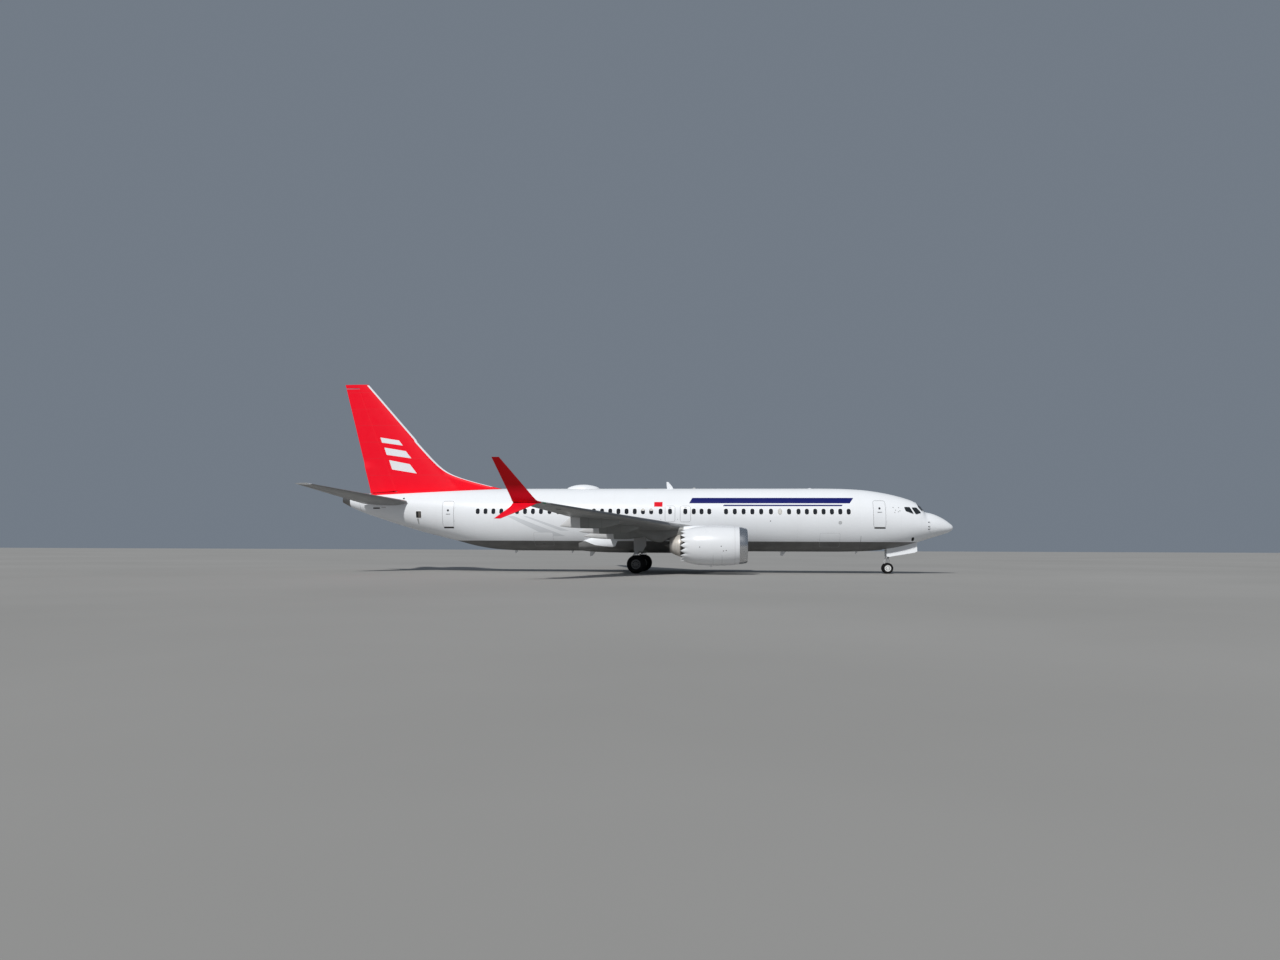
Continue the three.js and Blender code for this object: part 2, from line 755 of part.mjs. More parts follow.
function winglet(rows, side) {
  return skin(
    rows.map(([out, lead, height, chord, ratio, lean], i) =>
      sectionRing(
        { out: out + (i ? 0 : SEAM), lead, height, chord, ratio, lean, twist: i ? 0 : WING.at(-1)[5] },
        side,
      ),
    ),
  );
}

// Engine

function ringAt(station, radius, side, steps, teeth = 0) {
  return Array.from({ length: steps }, (_, i) => {
    const angle = (2 * Math.PI * i) / steps;
    const shift = teeth ? (i % 2 ? teeth : -teeth) : 0;
    return point(
      station + shift,
      ENGINE_OUT + radius * Math.sin(angle),
      ENGINE_HEIGHT + radius * Math.cos(angle),
      side,
    );
  });
}

function revolved(rows, side, { steps = 2 * CHEVRONS, loop = false, teeth = [], grow = 0 } = {}) {
  const rings = rows.map(([station, radius], i) =>
    radius === 0
      ? [point(station, ENGINE_OUT, ENGINE_HEIGHT, side)]
      : ringAt(station, radius + grow, side, steps, teeth.includes(i) ? CHEVRON_DEPTH : 0),
  );
  return skin(rings, loop);
}

function fanRotor(side) {
  const { station, radius, hub, chord, blades, tip } = FAN;
  const spinner = revolved(
    [
      [tip, 0],
      [tip + 40, 70],
      [tip + 180, 150],
      [station, hub],
      [station + chord, hub + 15],
      [station + chord, 0],
    ],
    side,
    { steps: 18 },
  );
  const blade = (turn) => {
    // radius, how far the blade's section is turned from the shaft's direction, half thickness
    const rows = [
      [hub - 40, 25, 14],
      [radius, 60, 6],
    ];
    return skin(
      rows.map(([r, twist, thick]) => {
        const a = THREE.MathUtils.degToRad(twist);
        const half = chord / 2 + (r - hub) * 0.08;
        const corners = [
          [-half, 0],
          [-half * 0.3, thick],
          [half, 0],
          [-half * 0.3, -thick],
        ];
        return corners.map(([u, v]) => {
          const back = u * Math.cos(a) - v * Math.sin(a);
          const across = u * Math.sin(a) + v * Math.cos(a);
          const angle = turn + Math.atan2(across, r);
          const reach = Math.min(Math.hypot(across, r), radius);
          return [
            NOSE_X - (station + chord / 2 + back),
            side * ENGINE_OUT + reach * Math.sin(angle),
            ENGINE_HEIGHT + reach * Math.cos(angle),
          ];
        });
      }),
    );
  };
  return join(spinner, ...Array.from({ length: blades }, (_, i) => blade((2 * Math.PI * i) / blades)));
}

function guideVanes(side) {
  const { count, station, chord, thick, reach } = VANES;
  return Array.from({ length: count }, (_, i) => {
    const made = new THREE.BoxGeometry(chord, thick, reach - 250);
    made.translate(0, 0, 250 + (reach - 250) / 2);
    made.rotateX((2 * Math.PI * (i + 0.5)) / count);
    made.translate(NOSE_X - station - chord / 2, side * ENGINE_OUT, ENGINE_HEIGHT);
    return solid(made);
  });
}

function engineNodes(name, side) {
  const shell = (grow) => {
    const [outside, inside] = NACELLE_TEETH;
    const grown = NACELLE.map(([station, radius], i) => [
      station + (i === outside || i === inside ? 3 * grow : 0),
      radius + (i <= outside ? grow : -grow),
    ]);
    return revolved(grown, side, { loop: true, teeth: NACELLE_TEETH });
  };
  const wingTool = wingSolid(side, 6);
  const core = revolved(CORE, side, { steps: 20 });
  const coreTool = revolved(CORE, side, { steps: 20, grow: SEAM });
  const plan = [...PYLON.plan, ...PYLON.plan.slice(1, -1).toReversed().map(([s, o]) => [s, -o])];
  const strut = sidePrism(PYLON.side, ENGINE_OUT - 260, ENGINE_OUT + 260, side).intersect(
    planPrism(
      plan.map(([s, o]) => [s, o + ENGINE_OUT]),
      1500,
      3500,
      side,
    ),
  );
  const nacelle = largest(cut(shell(0), wingTool));
  return [
    mesh(`${name}_inlet_lip`, revolved(LIP.map(([s, r]) => [s - SEAM, r]), side, { loop: true }), POLISHED),
    mesh(`${name}_nacelle`, nacelle, WHITE),
    mesh(`${name}_fan`, fanRotor(side), FAN_METAL),
    mesh(`${name}_engine_core`, largest(cut(join(core, ...guideVanes(side)), shell(SEAM))), HOT_METAL),
    mesh(`${name}_pylon`, largest(cut(strut, shell(SEAM), coreTool, wingSolid(side, SEAM))), WHITE),
  ];
}

// Tail

const finRow = ([height, lead, trail, ratio]) => ({
  out: 0,
  lead,
  height,
  chord: trail - lead,
  ratio,
  lean: 90,
});
const level = (ring, height) => ring.map(([x, y]) => [x, y, height]);
const finSolid = () => skin(FIN.map((row) => level(sectionRing(finRow(row), 1), row[0])));

function finHinge(t) {
  const { footStation, footHeight, topStation, topHeight } = RUDDER;
  return [footStation + (topStation - footStation) * t, footHeight + (topHeight - footHeight) * t];
}
function finHalf(t) {
  const [station, height] = finHinge(t);
  const [, lead, trail, ratio] = along(FIN, height);
  const share = (station - lead) / (trail - lead);
  return ratio * (trail - lead) * halfThickness(share) + BLUNT_EDGE * share;
}
function rudderBar(from, to, grow) {
  const ends = [from, to].map((t) => {
    const [station, height] = finHinge(t);
    return point(station, 0, height);
  });
  return bar(...ends, finHalf(from) * 0.95 + grow, finHalf(to) * 0.95 + grow, 24);
}
function rudderOutline(lift, cap) {
  const foot = (station) => [station, at(BODY, station)[1] + lift];
  const reach = 39700;
  const [footStation] = finHinge(0);
  const [topStation] = finHinge(1);
  return [
    foot(footStation),
    foot(36600),
    foot(37900),
    [reach, 5000],
    [reach, RUDDER.topHeight + cap],
    [topStation, RUDDER.topHeight + cap],
  ];
}

function finNodes() {
  const whole = finSolid();
  const fillet = sidePrism(DORSAL, -DORSAL_THICK / 2, DORSAL_THICK / 2);
  const band = (lift, cap) => sidePrism(rudderOutline(lift, cap), -600, 600);
  const nose = rudderBar(0.004, 0.992, 0);
  const cove = rudderBar(-0.06, 1 + RUDDER_CAP_GAP / 7000, COVE_GAP);
  const trimmed = band(RUDDER_LIFT, 0);
  const rudder = join(whole.intersect(trimmed), nose.intersect(sidePrism(
    [
      [35000, RUDDER.footHeight + 20],
      [39000, RUDDER.footHeight + 20],
      [39000, RUDDER.topHeight],
      [35000, RUDDER.topHeight],
    ],
    -600,
    600,
  )));
  const fixed = cut(join(whole, fillet), wholeBody, band(-400, RUDDER_CAP_GAP), cove);
  return [mesh("vertical_fin", largest(fixed), RED), mesh("rudder", largest(rudder), RED)];
}

const tailAt = (out) => {
  const [, lead, trail, height, ratio] = along(TAILPLANE, out);
  return { out, lead, height, chord: trail - lead, ratio };
};
const tailPoint = (out, share, side) => {
  const { lead, chord, height } = tailAt(out);
  return point(lead + share * chord, out, height, side);
};
const tailHalf = (out, share) => {
  const { chord, ratio } = tailAt(out);
  return ratio * chord * halfThickness(share) + BLUNT_EDGE * share;
};
// The out of the tailplane's root at a station
function rootOut(station) {
  const { front, back } = TAILPLANE_ROOT;
  return front[1] + ((back[1] - front[1]) * (station - front[0])) / (back[0] - front[0]);
}

function tailplaneNodes(name, side) {
  const whole = skin(TAILPLANE.map(([out]) => sectionRing(tailAt(out), side)));
  const cutFrom = 33000;
  const cutTo = 40000;
  const outboard = planPrism(
    [
      [cutFrom, rootOut(cutFrom)],
      [cutTo, rootOut(cutTo)],
      [cutTo, 8000],
      [cutFrom, 8000],
    ],
    3000,
    6500,
    side,
  );
  const share = ELEVATOR.hinge;
  const hingeStation = (out) => tailAt(out).lead + share * tailAt(out).chord;
  const from = 1010;
  const tip = ELEVATOR.to;
  const elevatorOutline = [
    [hingeStation(from), from],
    [cutTo, rootOut(cutTo) + 60],
    [cutTo, tip],
    [hingeStation(tip), tip],
  ];
  const elevatorSpace = [
    [hingeStation(600), 600],
    [cutTo, 600 - cutTo / 100],
    [cutTo, tip + SWING_GAP],
    [hingeStation(tip), tip + SWING_GAP],
  ];
  const nose = hingeBar(tailPoint, tailHalf, from, tip, share, side, 0);
  const cove = hingeBar(tailPoint, tailHalf, from - 150, tip + SWING_GAP, share, side, COVE_GAP);
  const { station, height, radius, reach } = TAILPLANE_PIVOT;
  const inner = 1000 - reach + 12;
  const stubEnd = (out) => point(station, out, height, side);
  const stub = bar(stubEnd(inner), stubEnd(1300), radius, radius, PIN_SIDES);
  const fixed = cut(
    whole.intersect(outboard),
    planPrism(elevatorSpace, 3000, 6500, side),
    cove,
  );
  const elevator = join(
    whole.intersect(outboard).intersect(planPrism(elevatorOutline, 3000, 6500, side)),
    nose.intersect(whole).intersect(outboard),
  );
  return [
    mesh(`${name}_stabilizer`, join(largest(fixed), stub), WING_GREY),
    mesh(`${name}_elevator`, largest(elevator), WING_GREY),
  ];
}

// Gear

const axleHeight = ({ tyre }) => tyre * Math.cos(Math.PI / TYRE_STEPS);

// A solid of revolution on an axle that runs sideways, from rows of radius and distance along it
function turned(rows, { station, out, height }, side, steps = TYRE_STEPS) {
  const profile = rows.map(([radius, along]) => new THREE.Vector2(radius, along));
  const made = new THREE.LatheGeometry(profile, steps, Math.PI / steps);
  made.translate(...point(station, side * out, height, 1));
  return solid(made);
}

function tyre(gear, out, side) {
  const { tyre: r, rim, width } = gear;
  const w = width / 2;
  const rows = [
    [rim, -w * 0.72],
    [rim + (r - rim) * 0.5, -w],
    [r, -w * 0.55],
    [r, w * 0.55],
    [rim + (r - rim) * 0.5, w],
    [rim, w * 0.72],
    [rim, -w * 0.72],
  ];
  return turned(rows, { station: gear.station, out, height: axleHeight(gear) }, side);
}

function hubs(gear, side, axle) {
  const { rim, width, spacing } = gear;
  const r = rim - SEAM;
  const w = width / 2;
  const rows = [
    [0, -w * 0.2],
    [r * 0.55, -w * 0.2],
    [r, -w * 0.68],
    [r, w * 0.68],
    [r * 0.55, w * 0.3],
    [r * 0.3, w * 0.8],
    [0, w * 0.8],
  ];
  const height = axleHeight(gear);
  const wheel = (sign) => {
    const facing = rows.map(([radius, along]) => [radius, sign * side * along]);
    return turned(facing, { station: gear.station, out: gear.out + (sign * spacing) / 2, height }, side);
  };
  const shaft = bar(
    point(gear.station, gear.out - spacing / 2, height, side),
    point(gear.station, gear.out + spacing / 2, height, side),
    axle,
  );
  return join(wheel(1), wheel(-1), shaft);
}

const members = (gear, table, side = 1) =>
  join(
    ...table.map(({ from, to, radii, sides }) => {
      const end = ([aft, outward, height]) =>
        point(gear.station + aft, gear.out + outward, height, side);
      return bar(end(from), end(to), ...radii, sides);
    }),
  );

function axleBore(gear, radius, side = 1) {
  const end = (outward) => point(gear.station, gear.out + outward, axleHeight(gear), side);
  return bar(end(-AXLE_BORE.reach), end(AXLE_BORE.reach), radius, radius, 16);
}

function mainLeg(side) {
  const { station, out } = MAIN_GEAR;
  const door = sidePrism(
    LEG_DOOR.outline.map(([aft, height]) => [station + aft, height]),
    out + LEG_DOOR.out,
    out + LEG_DOOR.out + LEG_DOOR.thick,
    side,
  );
  const leg = join(members(MAIN_GEAR, MAIN_MEMBERS, side), door);
  const bore = axleBore(MAIN_GEAR, AXLE_BORE.main, side);
  return largest(cut(leg, bore, wingSolid(side, SEAM), fairingTool, wholeBody));
}

const noseLeg = () => members(NOSE_GEAR, NOSE_MEMBERS);

function noseFork() {
  const { station } = NOSE_GEAR;
  const { front, back, half, low, high } = TOW_FITTING;
  const fitting = block([station - front, -half, low], [station - back, half, high]);
  return cut(join(members(NOSE_GEAR, FORK_MEMBERS), fitting), axleBore(NOSE_GEAR, AXLE_BORE.nose));
}

function noseDoor(side) {
  const { front, back, out, thick, highFront, lowBack } = NOSE_DOOR;
  const panel = sidePrism(
    [
      [front, 1850],
      [front, highFront + 70],
      [front + 90, highFront - 16],
      [back - 110, lowBack],
      [back, lowBack + 50],
      [back, 1850],
    ],
    out,
    out + thick,
    side,
  );
  return largest(cut(panel, wholeBody));
}

function gearNodes() {
  const nodes = [
    mesh("nose_gear_leg", noseLeg(), GEAR_PAINT),
    mesh("nose_gear_fork", noseFork(), GEAR_PAINT),
    mesh("nose_wheel_hubs", hubs(NOSE_GEAR, 1, 44), HUB_PAINT),
  ];
  for (const [name, side] of Object.entries(SIDES)) {
    nodes.push(mesh(`${name}_nose_gear_door`, noseDoor(side), WHITE));
    nodes.push(mesh(`${name}_nose_tyre`, tyre(NOSE_GEAR, NOSE_GEAR.spacing / 2, side), RUBBER));
    nodes.push(mesh(`${name}_main_gear_leg`, mainLeg(side), GEAR_PAINT));
    nodes.push(mesh(`${name}_main_wheel_hubs`, hubs(MAIN_GEAR, side, 60), HUB_PAINT));
    for (const [place, sign] of [
      ["outer", 1],
      ["inner", -1],
    ]) {
      const out = MAIN_GEAR.out + (sign * MAIN_GEAR.spacing) / 2;
      nodes.push(mesh(`${name}_main_${place}_tyre`, tyre(MAIN_GEAR, out, side), RUBBER));
    }
  }
  return nodes;
}

// Assembly

const airliner = new THREE.Group();
airliner.add(...fuselageNodes(), apuOutlet(), fairing(), ...roofPieces(), ...finNodes(), ...gearNodes());
airliner.add(mesh("cockpit_windows", glazingBand(0), GLASS));
for (const [name, side] of Object.entries(SIDES))
  airliner.add(...wingNodes(name, side), ...engineNodes(name, side), ...tailplaneNodes(name, side));

export default airliner;
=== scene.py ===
import math
import random

import bmesh
import bpy
import numpy as np
from mathutils import Matrix, Vector


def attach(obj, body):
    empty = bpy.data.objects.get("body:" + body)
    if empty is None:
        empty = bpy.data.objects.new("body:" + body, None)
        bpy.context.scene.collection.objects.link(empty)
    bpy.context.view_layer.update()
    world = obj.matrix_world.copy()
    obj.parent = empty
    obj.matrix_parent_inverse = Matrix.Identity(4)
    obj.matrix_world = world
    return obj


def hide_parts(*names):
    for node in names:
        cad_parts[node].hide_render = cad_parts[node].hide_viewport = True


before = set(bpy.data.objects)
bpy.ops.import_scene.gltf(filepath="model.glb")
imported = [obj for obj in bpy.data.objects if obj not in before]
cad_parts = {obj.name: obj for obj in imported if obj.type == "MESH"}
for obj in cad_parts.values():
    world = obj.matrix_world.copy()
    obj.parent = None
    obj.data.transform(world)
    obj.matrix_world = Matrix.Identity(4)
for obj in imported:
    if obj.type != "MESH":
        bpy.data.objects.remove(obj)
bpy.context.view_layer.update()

NOSE_X = 19.76
SIDES = {"left": 1, "right": -1}
RANDOM_SEED = 7
TAU = 2 * math.pi
UP = np.array([0, 0, 1.0])
ACROSS = np.array([0, 1.0, 0])
FORWARD = np.array([1.0, 0, 0])
HAIR = 0.0004  # keeps neighbouring sections and surfaces from sharing a plane
SMOOTH_ANGLE = 32  # degrees up to which an edge is shaded smooth

# Sizes shared with the solids

# The outline of the body: station, top, bottom, half width, height of the widest point
BODY = [
    (0.00, 2.890, 2.890, 0.000, 2.890),
    (0.06, 3.015, 2.765, 0.165, 2.888),
    (0.21, 3.170, 2.640, 0.335, 2.888),
    (0.60, 3.450, 2.490, 0.600, 2.900),
    (1.00, 3.660, 2.362, 0.805, 2.930),
    (1.40, 3.800, 2.235, 0.970, 2.975),
    (1.77, 3.885, 2.115, 1.105, 3.020),
    (2.06, 4.240, 2.020, 1.210, 3.060),
    (2.40, 4.510, 1.915, 1.315, 3.110),
    (3.00, 4.745, 1.745, 1.460, 3.190),
    (3.73, 4.945, 1.590, 1.590, 3.280),
    (4.70, 5.140, 1.460, 1.720, 3.370),
    (5.72, 5.270, 1.395, 1.815, 3.440),
    (7.20, 5.345, 1.363, 1.870, 3.475),
    (8.60, 5.360, 1.360, 1.880, 3.480),
    (27.25, 5.360, 1.360, 1.880, 3.480),
    (28.83, 5.360, 1.430, 1.868, 3.510),
    (30.17, 5.358, 1.620, 1.810, 3.600),
    (31.50, 5.340, 1.950, 1.700, 3.740),
    (32.80, 5.300, 2.270, 1.560, 3.890),
    (33.80, 5.260, 2.520, 1.435, 4.010),
    (34.80, 5.215, 2.800, 1.285, 4.140),
    (35.84, 5.160, 3.110, 1.100, 4.270),
    (36.86, 5.100, 3.440, 0.895, 4.390),
    (37.90, 5.010, 3.790, 0.655, 4.480),
    (38.76, 4.905, 4.140, 0.400, 4.550),
    (39.33, 4.785, 4.430, 0.180, 4.610),
]
NOSE_ROUND = 0.21  # the nose is a round cap ahead of this station
BODY_SECTIONS = {
    "radome": (0.0, 1.25),
    "forward_fuselage": (1.25, 11.5),
    "centre_fuselage": (11.5, 22.5),
    "aft_fuselage": (22.5, 33.3),
    "tail_section": (33.3, 38.76),
}
BODY_SIDES = 112
NOSE_BAY = {"front": 2.3, "back": 4.45, "half": 0.3, "top": 2.15}
WHEEL_WELL = {
    "station": 19.69,
    "out": 0.93,
    "radius": 0.64,
    "foot": 0.90,
    "top": 1.76,
    "arm_half": 0.21,
    "arm_out": 2.15,
    "arm_drop": 0.06,
}
SECTION_GAP = 0.0002  # left at each end of a body section

# The wing-body fairing: station, top, bottom, half width
FAIRING = [
    (12.7, 2.10, 1.420, 0.90),
    (13.4, 2.42, 1.330, 1.48),
    (14.6, 2.76, 1.262, 1.76),
    (16.5, 2.93, 1.240, 1.84),
    (19.6, 2.93, 1.240, 1.84),
    (21.6, 2.74, 1.255, 1.74),
    (22.7, 2.43, 1.300, 1.56),
    (23.5, 2.05, 1.370, 1.25),
]
FAIRING_BOXY = 0.72  # the power that squares up the fairing's oval section

# Wing: out, leading edge, chord, height of the chord, thickness over chord, nose-up twist
WING = [
    (0.90, 14.215, 7.271, 2.320, 0.145, 1.0),
    (4.90, 16.930, 4.585, 2.780, 0.125, 0.5),
    (5.75, 17.363, 4.157, 2.870, 0.122, 0.3),
    (12.00, 20.550, 2.581, 3.340, 0.110, -0.4),
    (17.00, 23.100, 1.320, 3.700, 0.105, -1.0),
]
WING_CAMBER = 0.014
WING_ROOT = 0.95  # the wing's skin starts at this distance out, inside the fairing
BLUNT_EDGE = 0.005  # added to half the thickness at a trailing edge
PANEL_GAP = 0.012  # ahead of a flap and beside it
SWING_GAP = 0.026  # beside an aileron or an elevator
COVE_GAP = 0.020  # round the nose of a moving surface
ROUND_NOSE = 0.95  # radius of a moving surface's nose over half its thickness
NOSE_TURN = np.linspace(0.5, -0.5, 9)[1:-1] * math.pi  # angles round such a nose
INNER_FLAP = {"from": 1.90, "to": 5.69, "front": 20.18}
OUTER_FLAP = {"from": 5.74, "to": 12.29, "share": 0.735}
AILERON = {"from": 12.34, "to": 16.26, "hinge": 0.76}

# The split winglet: out, leading edge, height, chord, thickness over chord, lean of the section
WINGLET_UP = [
    (17.000, 23.100, 3.700, 1.320, 0.105, 0),
    (17.230, 23.235, 3.752, 1.215, 0.100, 22),
    (17.420, 23.390, 3.915, 1.085, 0.090, 52),
    (17.540, 23.590, 4.165, 0.985, 0.085, 72),
    (17.949, 24.950, 5.779, 0.355, 0.080, 74),
]
WINGLET_DOWN = [
    (17.060, 23.180, 3.705, 1.250, 0.090, -12),
    (17.300, 23.420, 3.560, 1.030, 0.085, -50),
    (17.850, 24.840, 2.910, 0.320, 0.080, -54),
]

# Fin: height, leading edge, chord, its own height, thickness over chord, twist
FIN = [
    (4.65, 30.987, 6.340, 0, 0.110, 0),
    (8.29, 34.245, 4.075, 0, 0.105, 0),
    (12.29, 37.826, 1.574, 0, 0.100, 0),
]
DORSAL = [(5.18, 27.90), (5.385, 28.90), (6.35, 32.17), (6.72, 32.75), (7.16, 33.23), (8.60, 34.60)]
DORSAL_HALF = 0.120
RUDDER = {"foot": (35.75, 5.20), "top": (38.44, 11.99), "base": 5.22, "lift": 0.034, "cap_gap": 0.062}

# Tailplane: out, leading edge, chord, height, thickness over chord, twist
TAILPLANE = [
    (0.560, 34.038, 3.618, 4.325, 0.11, 0),
    (7.175, 38.700, 0.820, 5.260, 0.09, 0),
]
TAILPLANE_ROOT = ((34.3, 1.45), (38.3, 0.64))
ELEVATOR = {"from": 1.01, "to": 6.90, "hinge": 0.70}

# Flap-track fairings: distance out, front and back station, half width, and the heights of the nose,
# of the lowest point and of the tip. They start below the wing and reach past its trailing edge.
FLAP_FAIRING_COLUMNS = ("out", "front", "back", "half", "nose", "low", "tip")
FLAP_FAIRING_ROWS = {
    "inner": (4.25, 18.75, 22.80, 0.175, 2.330, 2.070, 2.230),
    "middle": (7.00, 19.25, 22.70, 0.160, 2.660, 2.345, 2.470),
    "outer": (10.20, 20.00, 23.30, 0.145, 2.900, 2.600, 2.720),
}
FLAP_FAIRINGS = {
    label: dict(zip(FLAP_FAIRING_COLUMNS, row)) for label, row in FLAP_FAIRING_ROWS.items()
}
FAIRING_DEEPEST = 0.42  # share of a flap-track fairing's length
FAIRING_ARCH = 0.3  # how far its top bulges, over its half width

ENGINE_OUT = 4.83
ENGINE_HEIGHT = 1.715
CHEVRONS = 18
CHEVRON_DEPTH = 0.145

# Small helpers


def turns(count):
    """Angles once round a circle."""
    return np.arange(count) * TAU / count


def eased(value, power):
    """A power that keeps the sign, which turns circles into rounded boxes."""
    return np.sign(value) * np.abs(value) ** power


def quad(front, back, low, high):
    """The corners of an upright four-sided outline of station and height."""
    return [(front, low), (back, low), (back, high), (front, high)]


def quad_about(station, height, half_wide, half_tall):
    """The corners of an upright outline round a point."""
    return quad(station - half_wide, station + half_wide, height - half_tall, height + half_tall)


def spaced(*ends_and_counts):
    """Numbers along a chain of stretches: start, then end and count of each stretch."""
    values = [ends_and_counts[0]]
    for end, count in zip(ends_and_counts[1::2], ends_and_counts[2::2]):
        values += list(np.linspace(values[-1], end, count + 1)[1:])
    return np.array(values)


class Profile:
    """The columns of a table along its first column, by a curve that never overshoots its rows."""

    def __init__(self, rows):
        table = np.array(rows, float)
        self.key = table[:, 0]
        self.rows = table[:, 1:]
        self.width = np.diff(self.key)[:, None]
        slope = np.diff(self.rows, axis=0) / self.width
        before, after = slope[:-1], slope[1:]
        near = 2 * self.width[1:] + self.width[:-1]
        far = self.width[1:] + 2 * self.width[:-1]
        with np.errstate(divide="ignore", invalid="ignore"):
            inner = (near + far) / (near / before + far / after)
        inner = np.where(before * after > 0, inner, 0)
        self.tangent = np.vstack([slope[:1], inner, slope[-1:]])

    def __call__(self, key):
        key = np.atleast_1d(np.asarray(key, float))
        i = np.clip(np.searchsorted(self.key, key, side="right") - 1, 0, len(self.key) - 2)
        width = self.width[i]
        t = (key - self.key[i])[:, None] / width
        start = self.rows[i] * (1 + 2 * t) * (1 - t) ** 2
        end = self.rows[i + 1] * t * t * (3 - 2 * t)
        bend = self.tangent[i] * t * (1 - t) ** 2 + self.tangent[i + 1] * t * t * (t - 1)
        return start + end + bend * width


def lerp_rows(rows, key):
    """The columns of a table along straight lines between its rows, continued past its ends."""
    table = np.array(rows, float)
    key = np.asarray(key, float)
    i = np.clip(np.searchsorted(table[:, 0], key, side="right") - 1, 0, len(table) - 2)
    t = (key - table[i, 0]) / (table[i + 1, 0] - table[i, 0])
    return [table[i, c] + (table[i + 1, c] - table[i, c]) * t for c in range(1, table.shape[1])]


def loft(rings, loop=False):
    """Vertices and faces of a skin over rings of equally many points, with closed ends or as a loop."""
    rings = [np.asarray(ring, float) for ring in rings]
    steps = len(rings[0])
    count = len(rings)
    faces = []
    for i in range(count if loop else count - 1):
        a, b = i * steps, ((i + 1) % count) * steps
        for j in range(steps):
            k = (j + 1) % steps
            faces.append((a + j, a + k, b + k, b + j))
    if not loop:
        faces.append(tuple(range(steps - 1, -1, -1)))
        faces.append(tuple((count - 1) * steps + j for j in range(steps)))
    return np.vstack(rings), faces


def merged(parts):
    """One mesh's vertices and faces from several."""
    vertices, faces = [], []
    base = 0
    for points, polygons in parts:
        vertices.append(np.asarray(points, float).reshape(-1, 3))
        faces += [tuple(base + i for i in polygon) for polygon in polygons]
        base += len(vertices[-1])
    return np.vstack(vertices), faces


def shade_smooth(mesh, angle):
    mesh.polygons.foreach_set("use_smooth", [True] * len(mesh.polygons))
    mesh.set_sharp_from_angle(angle=math.radians(angle))


def finish_mesh(mesh, smooth_angle):
    """Points the faces outwards, and shades the mesh smooth up to an angle."""
    work = bmesh.new()
    work.from_mesh(mesh)
    bmesh.ops.remove_doubles(work, verts=work.verts, dist=1e-5)
    bmesh.ops.dissolve_degenerate(work, edges=work.edges, dist=1e-6)
    bmesh.ops.recalc_face_normals(work, faces=work.faces)
    work.to_mesh(mesh)
    work.free()
    shade_smooth(mesh, smooth_angle)


def add_object(name, data):
    made = bpy.data.objects.new(name, data)
    bpy.context.scene.collection.objects.link(made)
    return made


def add_mesh(name, vertices, faces, smooth_angle):
    mesh = bpy.data.meshes.new(name)
    mesh.from_pydata([tuple(v) for v in vertices], [], faces)
    mesh.validate()
    finish_mesh(mesh, smooth_angle)
    return add_object(name, mesh)


def piece(
    name, parts, material, body="airframe", replaces=(), smooth_angle=SMOOTH_ANGLE, bevel=0.0
):
    """A mesh object from one or several lofts, riding on a body of the model."""
    vertices, faces = merged(parts if isinstance(parts, list) else [parts])
    made = add_mesh(name, vertices, faces, smooth_angle)
    made.data.materials.append(material)
    if bevel:
        add_bevel(made, bevel)
    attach(made, body)
    if replaces:
        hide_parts(*replaces)
    return made


def cover(node, shape, material, body="airframe"):
    """The skin that stands for one of the solids."""
    return piece(f"{node}_skin", shape, material, body, [node])


def fitting(name, parts, material, body="airframe", replaces=()):
    """A small part, made as a piece."""
    return piece(name, parts, material, body, replaces)


def add_bevel(made, width, segments=2):
    modifier = made.modifiers.new("edge", "BEVEL")
    modifier.width = width
    modifier.segments = segments
    modifier.limit_method = "ANGLE"
    modifier.angle_limit = math.radians(35)
    modifier.harden_normals = False


def carve(made, tools):
    """Cuts tool meshes out of an object, and keeps the tools' own materials on the cut faces."""
    for vertices, faces, material in tools:
        cutter = add_mesh("cutter", vertices, faces, SMOOTH_ANGLE)
        mesh = cutter.data
        mesh.materials.append(material)
        modifier = made.modifiers.new("cut", "BOOLEAN")
        modifier.operation = "DIFFERENCE"
        modifier.solver = "EXACT"
        modifier.material_mode = "TRANSFER"
        modifier.object = cutter
        bpy.context.view_layer.update()
        cut = bpy.data.meshes.new_from_object(made.evaluated_get(bpy.context.evaluated_depsgraph_get()))
        made.modifiers.remove(modifier)
        old = made.data
        made.data = cut
        cut.name = old.name
        bpy.data.meshes.remove(old)
        bpy.data.objects.remove(cutter)
        bpy.data.meshes.remove(mesh)
    shade_smooth(made.data, SMOOTH_ANGLE)


def place(station, out, height):
    """Points of the frame from stations, distances to port and heights."""
    station, out, height = np.broadcast_arrays(station, out, height)
    return np.stack([NOSE_X - station, out, height], axis=-1).astype(float)


def box(corner, opposite):
    """A box between two corners of station, distance to port and height."""
    (s0, o0, h0), (s1, o1, h1) = corner, opposite
    low = [place(s, o, h0) for s, o in ((s0, o0), (s1, o0), (s1, o1), (s0, o1))]
    high = [place(s, o, h1) for s, o in ((s0, o0), (s1, o0), (s1, o1), (s0, o1))]
    return loft([low, high])


def across(direction):
    """Two unit vectors square to a direction and to each other."""
    direction = np.asarray(direction, float)
    direction = direction / np.linalg.norm(direction)
    other = np.array([0, 0, 1.0]) if abs(direction[2]) < 0.9 else np.array([1.0, 0, 0])
    first = np.cross(direction, other)
    first /= np.linalg.norm(first)
    return first, np.cross(direction, first)


